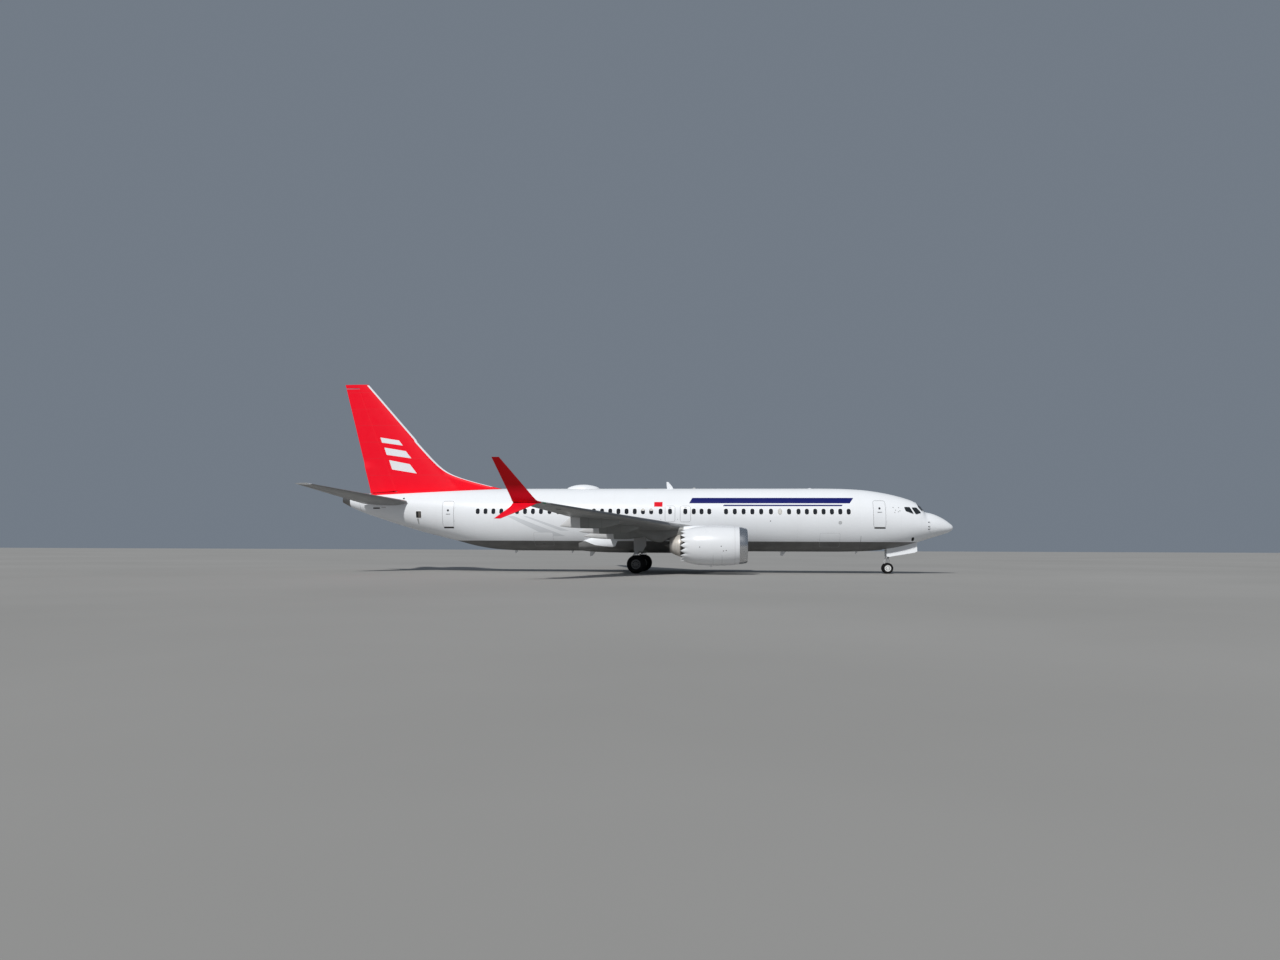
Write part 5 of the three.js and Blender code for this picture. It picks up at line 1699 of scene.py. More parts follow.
def build_main_leg(name):
    side, axle = SIDES[name], axle_height(MAIN_GEAR)
    at = points_of(MAIN_GEAR, side)
    foot, top = at(0, -0.05, 1.335), at(0.04, -1.16, 1.64)
    leg = [
        rod([at(0, 0, LEG_TOP), at(0, 0, 1.22)], [0.130, 0.122], 40, 0.01),
        collar(at(0, 0, 1.24), 0.122, 0.10),
        collar(at(0, 0, 1.62), 0.126, 0.07),
        rod([at(0.02, 0, 1.42), at(-0.10, 0, 1.42)], 0.070, 24, 0.008),
        rod([at(0, -0.16, 1.335), at(0, 0.02, 1.335)], 0.062, 24, 0.008),
        rod([at(0, 0, 0.74), at(0, 0, axle + 0.02)], [0.082, 0.105], 40, 0.008),
        rod([at(0, -0.132, axle), at(0, 0.132, axle)], 0.112, 40, 0.012),
        collar(at(0, 0, 0.74), 0.082, 0.05),
        *link(at(0.115, 0, 1.20), at(0.330, 0, 0.955), (0.20, 0.10), 0.085),
        *link(at(0.330, 0, 0.955), at(0.100, 0, 0.665), (0.10, 0.20), 0.085),
        rod([foot, top], [0.052, 0.046], 24),
        rod([at(-0.08, 0, 1.42), at(-0.62, 0, LEG_TOP)], 0.042, 24),
        collar(at(0.02, -0.60, 1.487), 0.050, 0.16, 1.2, top - foot),
    ]
    node = f"{name}_main_gear_leg"
    fitting(f"{node}_forging", leg, GEAR_PAINT, replaces=[node])
    fitting(f"{node}_piston", rod([at(0, 0, 1.24), at(0, 0, 0.70)], 0.074, 40), CHROME)
    build_brakes(node, at, side, axle)
    build_hoses(node, at, axle)
    build_leg_door(node, at)


def build_brakes(node, at, side, axle):
    """Five discs and eight pistons inside each wheel."""
    brakes = []
    for sign in (1, -1):
        for step in range(5):
            start = sign * 0.150 + sign * step * 0.026
            radius = 0.188 if step % 2 else 0.176
            brakes.append(rod([at(0, start, axle), at(0, start + sign * 0.022, axle)], radius, 40, 0.004))
        spots = ring_of(8, 0.120, at(0, sign * 0.136, axle), ACROSS)
        brakes += [rod([spot, spot + ACROSS * side * sign * 0.016], 0.022, 16) for spot in spots]
    fitting(f"{node}_brakes", brakes, BRAKE_METAL)


def build_hoses(node, at, axle):
    """Three hoses down the front of the leg, and the clips that hold them."""
    hoses = []
    for shift, radius in ((-0.05, 0.011), (0.0, 0.009), (0.05, 0.011)):
        line = [
            at(-0.128, shift, 2.1),
            at(-0.140, shift, 1.6),
            at(-0.150, shift, 1.25),
            at(-0.215, shift * 1.6, 1.02),
            at(-0.170, shift * 2.4, 0.80),
            at(-0.085, shift * 3.0, axle + 0.08),
        ]
        hoses.append(rod(curve_points(line), radius, 10))
    fitting(f"{node}_hoses", hoses, RUBBER)
    clips = [collar(at(0, 0, height), 0.128, 0.03, 1.06) for height in (1.42, 1.80, 2.02)]
    fitting(f"{node}_clips", clips, STEEL)


def build_leg_door(node, at):
    faces = (LEG_DOOR["out"], LEG_DOOR["out"] + LEG_DOOR["thick"])
    shape = loft([[at(back, out, height) for back, height in LEG_DOOR["outline"]] for out in faces])
    piece(f"{node}_door", shape, DOOR_GREY, bevel=0.006)
    arms = [rod([at(0, 0.02, height), at(0, 0.155, height + 0.04)], 0.026, 18) for height in (1.50, 1.85)]
    for back in (-0.48, -0.25, -0.17):
        arms.append(box_between(at(back - 0.015, 0.151, 1.72), at(back + 0.015, 0.136, 2.40)))
    fitting(f"{node}_door_arms", arms, GEAR_PAINT)


def box_between(corner, opposite):
    """A box between two points of the frame."""
    a, b = np.minimum(corner, opposite), np.maximum(corner, opposite)
    low = [(a[0], a[1], a[2]), (b[0], a[1], a[2]), (b[0], b[1], a[2]), (a[0], b[1], a[2])]
    high = [(x, y, b[2]) for x, y, _ in low]
    return loft([low, high])


def build_nose_leg():
    at = points_of(NOSE_GEAR, 1)
    leg = [
        rod([at(0, 0, 2.04), at(0, 0, 1.066)], 0.088, 36, 0.008),
        collar(at(0, 0, 1.10), 0.088, 0.06),
        collar(at(0, 0, 1.45), 0.088, 0.05),
        rod([at(0, -0.298, 1.96), at(0, 0.298, 1.96)], 0.058, 24),
        rod([at(-0.9, -0.298, 2.06), at(-0.9, 0.298, 2.06)], 0.042, 24),
    ]
    for out in (-0.07, 0.07):
        leg.append(rod([at(-0.06, out, 1.24), at(-0.9, out * 2, 2.06)], [0.034, 0.030], 20))
    leg.append(rod([at(-0.07, -0.09, 1.25), at(-0.07, 0.09, 1.25)], 0.046, 20))
    fitting("nose_leg_casing", leg, GEAR_PAINT, replaces=["nose_gear_leg"])
    lights, lenses = [], []
    for out in (-0.13, 0.13):
        lights.append(rod([at(-0.02, out, 1.36), at(-0.10, out, 1.36)], [0.035, 0.062], 28, 0.006))
        lights.append(rod([at(0, 0, 1.36), at(-0.03, out, 1.36)], 0.016, 12))
        lenses.append(rod([at(-0.095, out, 1.36), at(-0.106, out, 1.36)], [0.056, 0.050], 28))
    fitting("nose_leg_lights", lights, GEAR_PAINT)
    piece("nose_leg_lenses", lenses, LENS)
    build_nose_fork(at, axle_height(NOSE_GEAR), "nose_steering")


def build_nose_fork(at, axle, body):
    """What turns with the nose wheels: the fork with its links, the tow fitting, the piston and a hose."""
    fork = [
        rod([at(0, 0, 1.052), at(0, 0, 0.926)], 0.108, 40, 0.008),
        rod([at(0, -0.078, axle), at(0, 0.078, axle)], 0.082, 36, 0.008),
        rod([at(0, 0, 0.56), at(0, 0, axle)], [0.062, 0.078], 32),
    ]
    fork += [rod([at(-0.10, out, 0.99), at(0.10, out, 0.99)], 0.030, 20, 0.006) for out in (-0.105, 0.105)]
    fork += link(at(0.095, 0, 0.965), at(0.215, 0, 0.780), (0.13, 0.07), 0.060)
    fork += link(at(0.215, 0, 0.780), at(0.075, 0, 0.450), (0.07, 0.13), 0.060)
    fitting("nose_leg_fork", fork, GEAR_PAINT, body, ["nose_gear_fork"])
    station = NOSE_GEAR["station"]
    tow = box((station - 0.19, -0.06, 0.44), (station - 0.04, 0.06, 0.50))
    fitting("nose_tow_fitting", tow, STEEL, body)
    fitting("nose_leg_piston", rod([at(0, 0, 1.0), at(0, 0, 0.50)], 0.052, 36), CHROME, body)
    hose = [at(-0.06, 0.05, 1.04), at(-0.13, 0.06, 0.86), at(-0.12, 0.05, 0.66), at(-0.05, 0.04, 0.52)]
    fitting("nose_leg_hose", rod(curve_points(hose), 0.009, 10), RUBBER, body)


def nose_door_ring(station, side):
    """A level section through a nose gear door: its outer face, then its inner one."""
    door = NOSE_DOOR
    t = (station - door["front"]) / (door["back"] - door["front"])
    low = NOSE_DOOR_EDGE[0] + (NOSE_DOOR_EDGE[1] - NOSE_DOOR_EDGE[0]) * t
    low += 0.05 * (1 - min(1, 4 * min(t, 1 - t) / 0.25))
    angle = math.pi - math.asin(min(1, door["out"] / float(body_section(station)[2])))
    high = float(body_rule(np.array(station), np.array(angle))[2]) + 0.004
    heights = np.linspace(low, high, 8)
    bow = 0.02 * np.sin(math.pi * (heights - low) / (high - low))
    outer = place(station, side * (door["out"] + door["thick"] - bow), heights)
    inner = place(station, side * door["out"], np.linspace(high, low, 8))
    return np.vstack([outer, inner])


def build_nose_doors():
    """Two long doors that hang open below the nose bay, each with its stiffeners and two rods."""
    front, back, out = (NOSE_DOOR[key] for key in ("front", "back", "out"))
    for name, side in SIDES.items():
        node = f"{name}_nose_gear_door"
        rings = [nose_door_ring(station, side) for station in np.linspace(front, back, 14)]
        piece(f"{node}_panel", loft(rings), WHITE, replaces=[node], smooth_angle=40)
        ribs = []
        for station in np.linspace(front + 0.2, back - 0.2, 6):
            corner = place(station - 0.012, side * (out - 0.001), 1.42)
            ribs.append(box_between(corner, place(station + 0.012, side * (out - 0.026), 1.56)))
        for station in (2.8, 3.7):
            inner = place(station, side * 0.29, 1.98)
            ribs.append(rod([inner, place(station, side * (out - 0.01), 1.45)], 0.014, 14))
        fitting(f"{node}_rods", ribs, GEAR_PAINT)


def build_gear():
    build_wheels("nose", NOSE_GEAR, 1, {1: "left_nose_tyre", -1: "right_nose_tyre"}, NOSE_HUB_PAINT)
    build_nose_leg()
    build_nose_doors()
    for name, side in SIDES.items():
        tyres = {side: f"{name}_main_outer_tyre", -side: f"{name}_main_inner_tyre"}
        build_wheels(f"{name}_main", MAIN_GEAR, side, tyres, MAIN_HUB_SHADE_PAINT)
        build_main_leg(name)


# Windows, doors and small parts of the body

WINDOW = {"height": 3.83, "half_wide": 0.125, "half_tall": 0.18, "corner": 0.115}
SHADE_SHARE = 0.05  # the share of the windows whose shade is part of the way down
SHADE_DROPS = (0.08, 0.12, 0.20, 0.31)  # how far down it may be
# Rows of cabin windows: first and last station, and how many
CABIN_WINDOWS = [
    (6.69, 9.75, 7),
    (10.33, 11.44, 3),
    (12.04, 14.21, 5),
    (15.25, 16.21, 3),
    (18.28, 18.28, 1),
    (18.87, 22.47, 8),
    (23.10, 25.83, 6),
    (26.34, 29.89, 8),
]
EXIT_WINDOWS = (16.74, 17.69)
# Doors: name, sides, front and back station, low and high edge, height of the window or none
DOORS = [
    ("forward_service_door", ("right",), 4.42, 5.16, 2.89, 4.52, 4.04),
    ("forward_entry_door", ("left",), 4.05, 4.91, 2.80, 4.60, 4.02),
    ("aft_service_door", ("right",), 31.49, 32.22, 2.86, 4.47, 3.89),
    ("aft_entry_door", ("left",), 31.36, 32.20, 2.76, 4.56, 4.00),
    ("front_exit", ("left", "right"), 16.41, 17.05, 3.19, 4.17, None),
    ("rear_exit", ("left", "right"), 17.39, 17.99, 3.19, 4.17, None),
]
DOOR_ROUND = 0.12  # radius of a door's corners
DOOR_EYE = 0.060  # half the width of a door's round window
CARGO_DOORS = [
    ("forward_cargo_door", "right", 7.20, 8.42, 1.66, 2.50),
    ("aft_cargo_door", "right", 25.10, 26.32, 1.66, 2.50),
]


def build_windows(name):
    """Each cabin window has a frame, dark glass, and some have a shade that is part of the way down."""
    skin, corner = BODY_SIDE[name], WINDOW["corner"]
    draw = random.Random(RANDOM_SEED + (name == "left"))
    stations = [s for first, last, count in CABIN_WINDOWS for s in np.linspace(first, last, count)]
    frames, panes, shades = [], [], []
    for station in [*stations, *EXIT_WINDOWS]:
        corners = quad_about(station, WINDOW["height"], WINDOW["half_wide"], WINDOW["half_tall"])
        proud = 0.004 if station in EXIT_WINDOWS else 0.0
        frames.append(rim(skin, corners, corner, 0.030, 0.0045 + proud, 0.004, 0.0, 4))
        panes.append(panel(skin, corners, corner, 0.0015 + proud, 0.004, 4, 5))
        if draw.random() < SHADE_SHARE and not proud:
            shut = draw.choice(SHADE_DROPS)
            wide, top = WINDOW["half_wide"] - 0.018, WINDOW["height"] + WINDOW["half_tall"] - 0.018
            shade_corners = quad(station - wide, station + wide, top - shut, top)
            shades.append(panel(skin, shade_corners, 0.045, 0.0026, 0.001, 3, 3))
    piece(f"{name}_window_frames", frames, SURROUND)
    piece(f"{name}_window_panes", panes, WINDOW_GLASS)
    piece(f"{name}_window_shades", shades, SHADE)


def build_door(label, side_name, front, back, low, high, window):
    """A door that follows the skin, with its gap and frame and what is on it."""
    skin, name = BODY_SIDE[side_name], f"{side_name}_{label}"
    corners = quad(front, back, low, high)
    piece(f"{name}_leaf", panel(skin, corners, DOOR_ROUND, 0.0035, 0.004, 8, 20), WHITE)
    piece(f"{name}_gap", rim(skin, corners, DOOR_ROUND, 0.016, 0.0012, 0.003, 0.001, 14), SEAM)
    piece(f"{name}_frame", rim(skin, corners, DOOR_ROUND + 0.02, 0.030, 0.0028, 0.003, 0.018, 14), WHITE)
    if window:
        build_cabin_door_parts(name, skin, corners, window)
        return
    recess = quad_about((front + back) / 2, high - 0.09, 0.07, 0.018)
    piece(f"{name}_recess", panel(skin, recess, 0.015, 0.0045, 0.001, 4, 2), LIGHT_SEAM)


def build_cabin_door_parts(name, skin, corners, window):
    """A door's handle in its recess, round window, sill, hinge covers and vents."""
    (front, low), (back, high) = corners[0], corners[2]
    middle, lever = (front + back) / 2, window - 0.24
    recess = quad(middle - 0.16, middle + 0.14, lever - 0.028, lever + 0.028)
    piece(f"{name}_recess", panel(skin, recess, 0.026, 0.0045, 0.001, 5, 3), LIGHT_SEAM)
    eye = quad_about(middle, window, DOOR_EYE, DOOR_EYE)
    sill = quad(front + 0.01, back - 0.04, low - 0.095, low - 0.015)
    glazing = panel(skin, eye, DOOR_EYE - 0.002, 0.0055, 0.001, 4, 4)
    piece(f"{name}_dark", [glazing, panel(skin, sill, 0.012, 0.006, 0.003, 6, 3)], DARK)
    eye_rim = rim(skin, eye, DOOR_EYE - 0.002, 0.012, 0.008, 0.001, 0.0, 2)
    grip = skin([middle - 0.14, middle + 0.12], [lever + 0.006, lever - 0.004], 0.014)
    piece(f"{name}_metal", [eye_rim, rod(list(grip), 0.010, 12, 0.003)], STEEL)
    covers = []
    for height in (low + 0.42, high - 0.36):
        hinge = quad_about(front - 0.055, height, 0.030, 0.085)
        covers.append(panel(skin, hinge, 0.028, 0.016, 0.002, 4, 4))
    for height in (low + 0.30, low + 0.62):
        covers.append(panel(skin, quad_about(middle, height, 0.10, 0.012), 0.010, 0.0065, 0.001, 4, 2))
    piece(f"{name}_covers", covers, WHITE)


def build_cargo_door(label, side_name, front, back, low, high):
    skin = BODY_SIDE[side_name]
    corners = quad(front, back, low, high)
    piece(f"{label}_leaf", panel(skin, corners, 0.09, 0.003, 0.004, 10, 12), BODY_PAINT)
    piece(f"{label}_gap", rim(skin, corners, 0.09, 0.009, 0.0010, 0.003, 0.001, 12), LIGHT_SEAM)
    recess = quad_about((front + back) / 2, low + 0.12, 0.09, 0.02)
    piece(f"{label}_latch", panel(skin, recess, 0.02, 0.0045, 0.001, 4, 3), SEAM)


# Cockpit windows, aft to front, by station and height. The windscreen is by station and angle.
COCKPIT_SIDE_WINDOWS = {
    "aft": [(2.66, 3.72), (3.14, 3.89), (3.22, 4.13), (2.87, 4.13)],
    "middle": [(2.16, 3.79), (2.51, 3.69), (2.73, 4.11), (2.42, 4.11)],
}
WINDSCREEN = [(1.83, 0.040), (2.06, 0.800), (2.275, 0.690), (2.345, 0.045)]
WIPER = {"pivot": (1.80, 0.10), "tip": (2.16, 0.44), "blade": ((2.02, 0.16), (2.27, 0.60))}


def build_cockpit(name):
    side = SIDES[name]
    crown = Skin(lambda station, angle: body_rule(station, side * angle), -side)
    # Skin, corners, width of the frame, and how finely the pane is divided
    windows = [(BODY_SIDE[name], corners, 0.030, 8) for corners in COCKPIT_SIDE_WINDOWS.values()]
    windows.append((crown, WINDSCREEN, 0.022, 10))
    panes = [panel(skin, corners, 0.05, 0.002, 0.006, fine, fine) for skin, corners, _, fine in windows]
    seals = [rim(skin, corners, 0.05, 0.014, 0.0045, 0.004, 0.0, fine) for skin, corners, _, fine in windows]
    frames = [
        rim(skin, corners, 0.055, width, 0.0065, 0.004, 0.013, fine)
        for skin, corners, width, fine in windows
    ]
    extra = ["cockpit_windows"] if side > 0 else []
    piece(f"{name}_cockpit_panes", panes, COCKPIT_GLASS, replaces=extra)
    piece(f"{name}_cockpit_seals", seals, RUBBER)
    piece(f"{name}_cockpit_frames", frames, WHITE)
    arm = [crown(*WIPER["pivot"], 0.03), crown(*WIPER["tip"], 0.028)]
    wiping = [crown(*end, 0.016) for end in WIPER["blade"]]
    hub = [crown(*WIPER["pivot"], lift) for lift in (-0.01, 0.035)]
    wiper = [rod(arm, [0.013, 0.008], 10), rod(wiping, 0.008, 8), rod(hub, 0.022, 14)]
    fitting(f"{name}_wiper", wiper, DARK_METAL)


def probe(skin, station, height):
    """A short mast off the skin that turns forward into a tube."""
    root = skin(station, height, -0.01)
    out = skin(station, height, 0.050) - FORWARD * 0.015
    return rod(curve_points([root, out, out + FORWARD * 0.03, out + FORWARD * 0.085], 4), 0.009, 10)


PROBES = [(1.70, 3.21), (1.70, 2.94), (1.70, 2.78)]  # station and height
# Static port and outlet: station, height, half width, half height
OVAL_PORTS = [(2.66, 2.16, 0.085, 0.115), (11.47, 3.24, 0.030, 0.030)]
ROUND_PORT = (7.12, 7.30, 3.06, 3.24)  # front, back, low, high
BELLY_LINE_ENDS = [(5.91, 1.56), (5.91, 2.34)]
# Flush ports: station, height, radius
FLUSH_PORTS = [
    (3.79, 3.94, 0.035),
    (3.93, 4.11, 0.035),
    (3.84, 3.80, 0.035),
    (3.58, 4.10, 0.035),
    (3.62, 3.84, 0.035),
    (3.52, 3.90, 0.035),
    (17.22, 3.34, 0.025),
    (18.27, 3.34, 0.025),
]


def build_probes(name):
    """Air data probes on the nose, and small ports and covers along the body's side."""
    skin = BODY_SIDE[name]
    probes = []
    for station, height in PROBES:
        probes.append(probe(skin, station, height))
        probes.append(panel(skin, quad_about(station, height, 0.045, 0.032), 0.030, 0.003, 0.001, 5, 4))
    fitting(f"{name}_probes", probes, DARK_METAL)
    ports = [panel(skin, quad_about(*port), port[2] * 0.98, 0.003, 0.002, 5, 5) for port in OVAL_PORTS]
    piece(f"{name}_ports", ports, DARK)
    eye = quad(*ROUND_PORT)
    piece(f"{name}_round_port", rim(skin, eye, 0.088, 0.026, 0.005, 0.002, -0.012, 3), LIGHT_SEAM)
    piece(f"{name}_round_cover", panel(skin, eye, 0.088, 0.002, 0.002, 5, 5), PALE_SEAM)
    piece(f"{name}_belly_line", strip(skin, BELLY_LINE_ENDS, 0.016, 0.0015, 0.003, 12), SEAM)
    flush = [
        panel(skin, quad_about(station, height, radius, radius), radius - 0.001, 0.003, 0.002, 3, 3)
        for station, height, radius in FLUSH_PORTS
    ]
    piece(f"{name}_flush_ports", flush, LIGHT_SEAM)


def aerial(station, out, root, tip, chord, thick, sweep, taper=0.55):
    """An upright aerial with a rounded, swept blade."""
    turn = turns(20)
    rings = []
    for t in np.linspace(0, 1, 9):
        back = station + sweep * t**1.3 + chord * (1 - taper * t**1.5) * (1 - np.cos(turn)) / 2
        beside = out + thick / 2 * np.sin(turn) * (1 - t * 0.5)
        rings.append(place(back, beside, root + (tip - root) * t))
    return loft(rings)


def blister(station, long, half, rise, sides=32, count=18):
    """A streamlined blister on the crown."""
    angle = turns(sides)
    rings = []
    for t in np.linspace(0.0, 1.0, count):
        swell = max(max(math.sin(math.pi * t**0.85), 0.0) ** 0.55, 0.03)
        height = CROWN + rise * swell * np.cos(angle)
        rings.append(place(station + long * t, half * swell * np.sin(angle), height))
    return loft(rings)


CROWN = 5.34  # height that the blisters of the crown stand on
# The radio dome: front station, length, foot, and its half width and its top at the ends, each with
# what it gains by the middle
DOME = {"front": 22.30, "long": 2.18, "foot": 5.2, "half": (0.03, 0.49), "top": (5.30, 0.33)}
DOME_SKIRT = {"front": 22.34, "back": 24.44, "half": 0.54, "corner": 0.50, "width": 0.035}
# Blisters on the crown: station, length, half width, rise
ROOF_BUMPS = {
    "roof_bumps": ([(8.76, 0.28, 0.10, 0.050), (7.68, 0.16, 0.06, 0.020)], WHITE),
    "roof_receivers": ([(19.06, 0.62, 0.17, 0.045)], SEAM),
    "roof_eye": ([(16.11, 0.24, 0.10, 0.100)], LIGHT_SEAM),
}
# Aerials: station, distance to port, root, tip, chord, thickness, sweep
ROOF_AERIAL = (17.55, 0, 5.33, 5.795, 0.41, 0.055, 0.34)
BELLY_AERIALS = [
    (22.55, 0, 1.37, 1.02, 0.36, 0.050, 0.22),
    (10.40, 0, 1.37, 1.10, 0.34, 0.050, 0.20),
    (27.60, 0, 1.40, 1.20, 0.22, 0.040, 0.12),
    (5.90, 0, 1.40, 1.24, 0.16, 0.035, 0.10),
    (24.0, 0.42, 1.42, 1.22, 0.14, 0.035, 0.12),
]


def crown_height(station, out):
    """The height of the body's upper skin at a station and a distance out."""
    top, _, half, widest = body_section(station)
    return top - (top - widest) * (1 - np.sqrt(np.clip(1 - (out / half) ** 2, 0, 1)))


def build_dome():
    """The radio dome on the aft roof, with a flat skirt round it."""
    angle, foot = np.linspace(0, math.pi, 31), DOME["foot"]
    rings = []
    for t in (1 - np.cos(np.linspace(0, math.pi, 40))) / 2:
        swell = max(math.sin(math.pi * t), 0.0) ** 0.5
        half, top = (DOME[key][0] + DOME[key][1] * swell for key in ("half", "top"))
        height = foot + (top - foot) * np.sin(angle) ** 0.8
        rings.append(place(DOME["front"] + DOME["long"] * t, half * np.cos(angle), height))
    piece("satcom_dome", loft(rings), WHITE, replaces=["satcom_fairing"])
    crown = Skin(lambda station, out: place(station, out, crown_height(station, out)), -1)
    corners = quad(DOME_SKIRT["front"], DOME_SKIRT["back"], -DOME_SKIRT["half"], DOME_SKIRT["half"])
    skirt = rim(crown, corners, DOME_SKIRT["corner"], DOME_SKIRT["width"], 0.004, 0.006, 0.0, 8)
    piece("satcom_skirt", skirt, LIGHT_SEAM)


def build_roof():
    """The aerials and blisters of the crown and belly."""
    piece("roof_aerial", aerial(*ROOF_AERIAL, 0.72), WHITE, replaces=["vhf_antenna"])
    for label, (rows, material) in ROOF_BUMPS.items():
        piece(label, [blister(*row) for row in rows], material)
    piece("belly_aerials", [aerial(*row) for row in BELLY_AERIALS], WHITE)


# Parts of the tail, by front, back, low, high: the slots of the trimming tailplane, the plate that it
# slides over, the pressure valve and its flap
TAIL_SLOTS = [(36.55, 37.05, 4.02, 4.10), (36.10, 36.45, 4.10, 4.16), (34.86, 34.97, 4.62, 4.72)]
TAIL_APRON = (34.55, 38.0, 4.12, 4.62)
VALVE = (33.67, 34.02, 3.42, 3.84)
VALVE_FLAP = (33.71, 33.86, 3.46, 3.80)
VALVE_STREAK = [(33.88, 3.02), (33.93, 3.02), (33.99, 3.40), (33.84, 3.40)]
TAIL_RINGS = [(38.00, 0.010), (38.755, 0.003)]  # station, half width
SLEEVE = (38.762, 39.328)  # the first and last station of the outlet's metal sleeve
SLEEVE_BORE = [(39.329, 0.012), (39.32, 0.028), (39.2, 0.036), (39.0, 0.05)]  # station, wall


def build_tail_details():
    """Slots of the trimming tailplane, the pressure valve and the seams round the tail cone."""
    for name, skin in BODY_SIDE.items():
        slots = [panel(skin, quad(*edges), 0.03, 0.003, 0.002, 5, 3) for edges in TAIL_SLOTS]
        piece(f"{name}_tail_slots", slots, DARK)
        piece(f"{name}_tail_apron", panel(skin, quad(*TAIL_APRON), 0.20, 0.004, 0.003, 24, 8), WHITE)
    skin = BODY_SIDE["right"]
    piece("valve_frame", rim(skin, quad(*VALVE), 0.04, 0.035, 0.007, 0.003, 0.0, 6), SURROUND)
    piece("valve_opening", panel(skin, quad(*VALVE), 0.04, 0.002, 0.003, 5, 5), DARK)
    flap = panel(skin, quad(*VALVE_FLAP), 0.02, 0.012, 0.001, 4, 5)
    piece("valve_flap", flap, BRAKE_METAL)
    piece("valve_streak", panel(skin, VALVE_STREAK, 0.01, 0.0008, 0.002, 3, 8), LIGHT_SEAM)
    rings = [ring_strip(BODY_AROUND, station, half, count=64) for station, half in TAIL_RINGS]
    piece("tail_rings", rings, LIGHT_SEAM)


def build_exhaust():
    """The auxiliary power unit's outlet: a metal sleeve with a lip and a bore."""
    angle = turns(56)
    outside = [body_rule(np.full(56, station), angle) for station in np.linspace(*SLEEVE, 12)]
    inside = []
    for station, wall in SLEEVE_BORE:
        top, bottom, half, widest = body_section(np.full(56, station))
        rise = np.where(np.cos(angle) >= 0, top - widest, widest - bottom)
        inside.append(place(station, (half - wall) * np.sin(angle), widest + (rise - wall) * np.cos(angle)))
    piece("exhaust_sleeve", loft(outside + inside), EXHAUST, replaces=["apu_exhaust"])


# Long stripes above the cabin windows, by station and height
CABIN_STRIPES = [
    [(6.60, 4.35), (16.51, 4.35), (16.31, 4.70), (6.34, 4.70)],
    [(7.10, 4.17), (14.40, 4.17), (14.33, 4.26), (7.03, 4.26)],
]
RED_PLATE = (18.17, 18.69, 4.13, 4.43)
# Slanted bands of the aft body, which rise aft and grow narrower
AFT_BANDS = [
    [(24.30, 2.28), (25.45, 2.28), (28.00, 3.52), (27.55, 3.52)],
    [(24.05, 2.62), (24.60, 2.62), (26.95, 3.52), (26.70, 3.52)],
]


def build_stripes(name):
    skin = BODY_SIDE[name]
    stripes = [panel(skin, corners, 0.02, 0.0012, 0.003, 60, 6) for corners in CABIN_STRIPES]
    piece(f"{name}_side_stripe", stripes, BLUE)
    plate = panel(skin, quad(*RED_PLATE), 0.006, 0.0012, 0.003, 6, 4)
    piece(f"{name}_side_patch", plate, PATCH_RED)
    bands = [panel(skin, corners, 0.01, 0.0010, 0.003, 10, 26) for corners in AFT_BANDS]
    piece(f"{name}_aft_bands", bands, PALE_GREY)


def fin_skin(side):
    def rule(station, height):
        flat_s, flat_h = np.ravel(station), np.ravel(height)
        half = [float(fin_half(np.array(s), float(h))) for s, h in zip(flat_s, flat_h)]
        return place(station, side * np.array(half).reshape(np.shape(station)), height)

    return Skin(rule, side)


# White bars across the fin: low front corner station and height, length, rise over it, thickness
FIN_BARS = [
    (34.35, 6.35, 2.15, 0.28, 0.62),
    (34.75, 7.35, 1.95, 0.25, 0.48),
    (35.35, 8.20, 1.60, 0.21, 0.34),
]


def build_fin_bars():
    for name, side in SIDES.items():
        skin = fin_skin(side)
        bars = []
        for station, height, long, rise, thick in FIN_BARS:
            slope = (hinge_station(height) - 0.16 - station) / long
            corners = [
                (station, height),
                (station + long * slope, height + rise),
                (station + long * slope + thick * 0.35, height + rise + thick),
                (station + thick * 0.80, height + thick),
            ]
            bars.append(panel(skin, corners, 0.02, 0.0015, 0.004, 24, 6))
        piece(f"{name}_fin_bars", bars, WHITE)


def build_fin_edge():
    """A white strip along the leading edge of the fin and its fillet."""
    across_nose = np.linspace(1, -1, 21)
    edge = []
    for height in [*(h for h in FIN_HEIGHTS if h > 5.44), 12.24]:
        fore = float(dorsal_lead(height))
        marks = fore + 0.13 * across_nose**2
        half = np.array([float(fin_half(np.array(s), height)) for s in marks])
        sign = np.sign(across_nose)
        outer = place(marks - 0.0025 * (marks < fore + 0.02), sign * (half + 0.004), height)
        inner = place(marks[::-1] + 0.02, -sign * np.maximum(half[::-1] - 0.02, 0.001), height)
        edge.append(np.vstack([outer, inner]))
    piece("fin_edge_strip", loft(edge), WHITE)


def build_rudder_wicks():
    foot, top = RUDDER["foot"][1], RUDDER["top"][1]
    wicks = []
    for level in (foot + (top - foot) * t for t in (0.15, 0.35, 0.55, 0.75, 0.93)):
        trail = float(FIN_FOIL.trail(level))
        end = place(min(trail + 0.12, 39.51), 0, level - 0.02)
        wicks.append(rod([place(trail - 0.01, 0, level), end], 0.006, 8))
    fitting("rudder_wicks", wicks, DARK_METAL, "rudder")


# Small parts of the wing, tail and engines

SLATS = [(5.98, 8.42), (8.46, 10.90), (10.94, 13.38), (13.42, 16.30)]
NOSE_FLAPS = [(2.30, 3.22), (3.28, 4.18)]
OUTER_SPOILERS = [(6.30, 7.72), (7.76, 9.18), (9.22, 10.64), (10.68, 12.10)]
INNER_SPOILERS = [(2.45, 3.85), (3.89, 5.30)]
NAV_LIGHT = (16.66, 16.84)
LANDING_LIGHT = (1.96, 2.22, -0.10, 0.11)  # inner and outer span, and its bend round the nose
TANK_VENT = [(14.6, 22.75), (14.85, 22.75), (14.80, 22.50), (14.65, 22.50)]


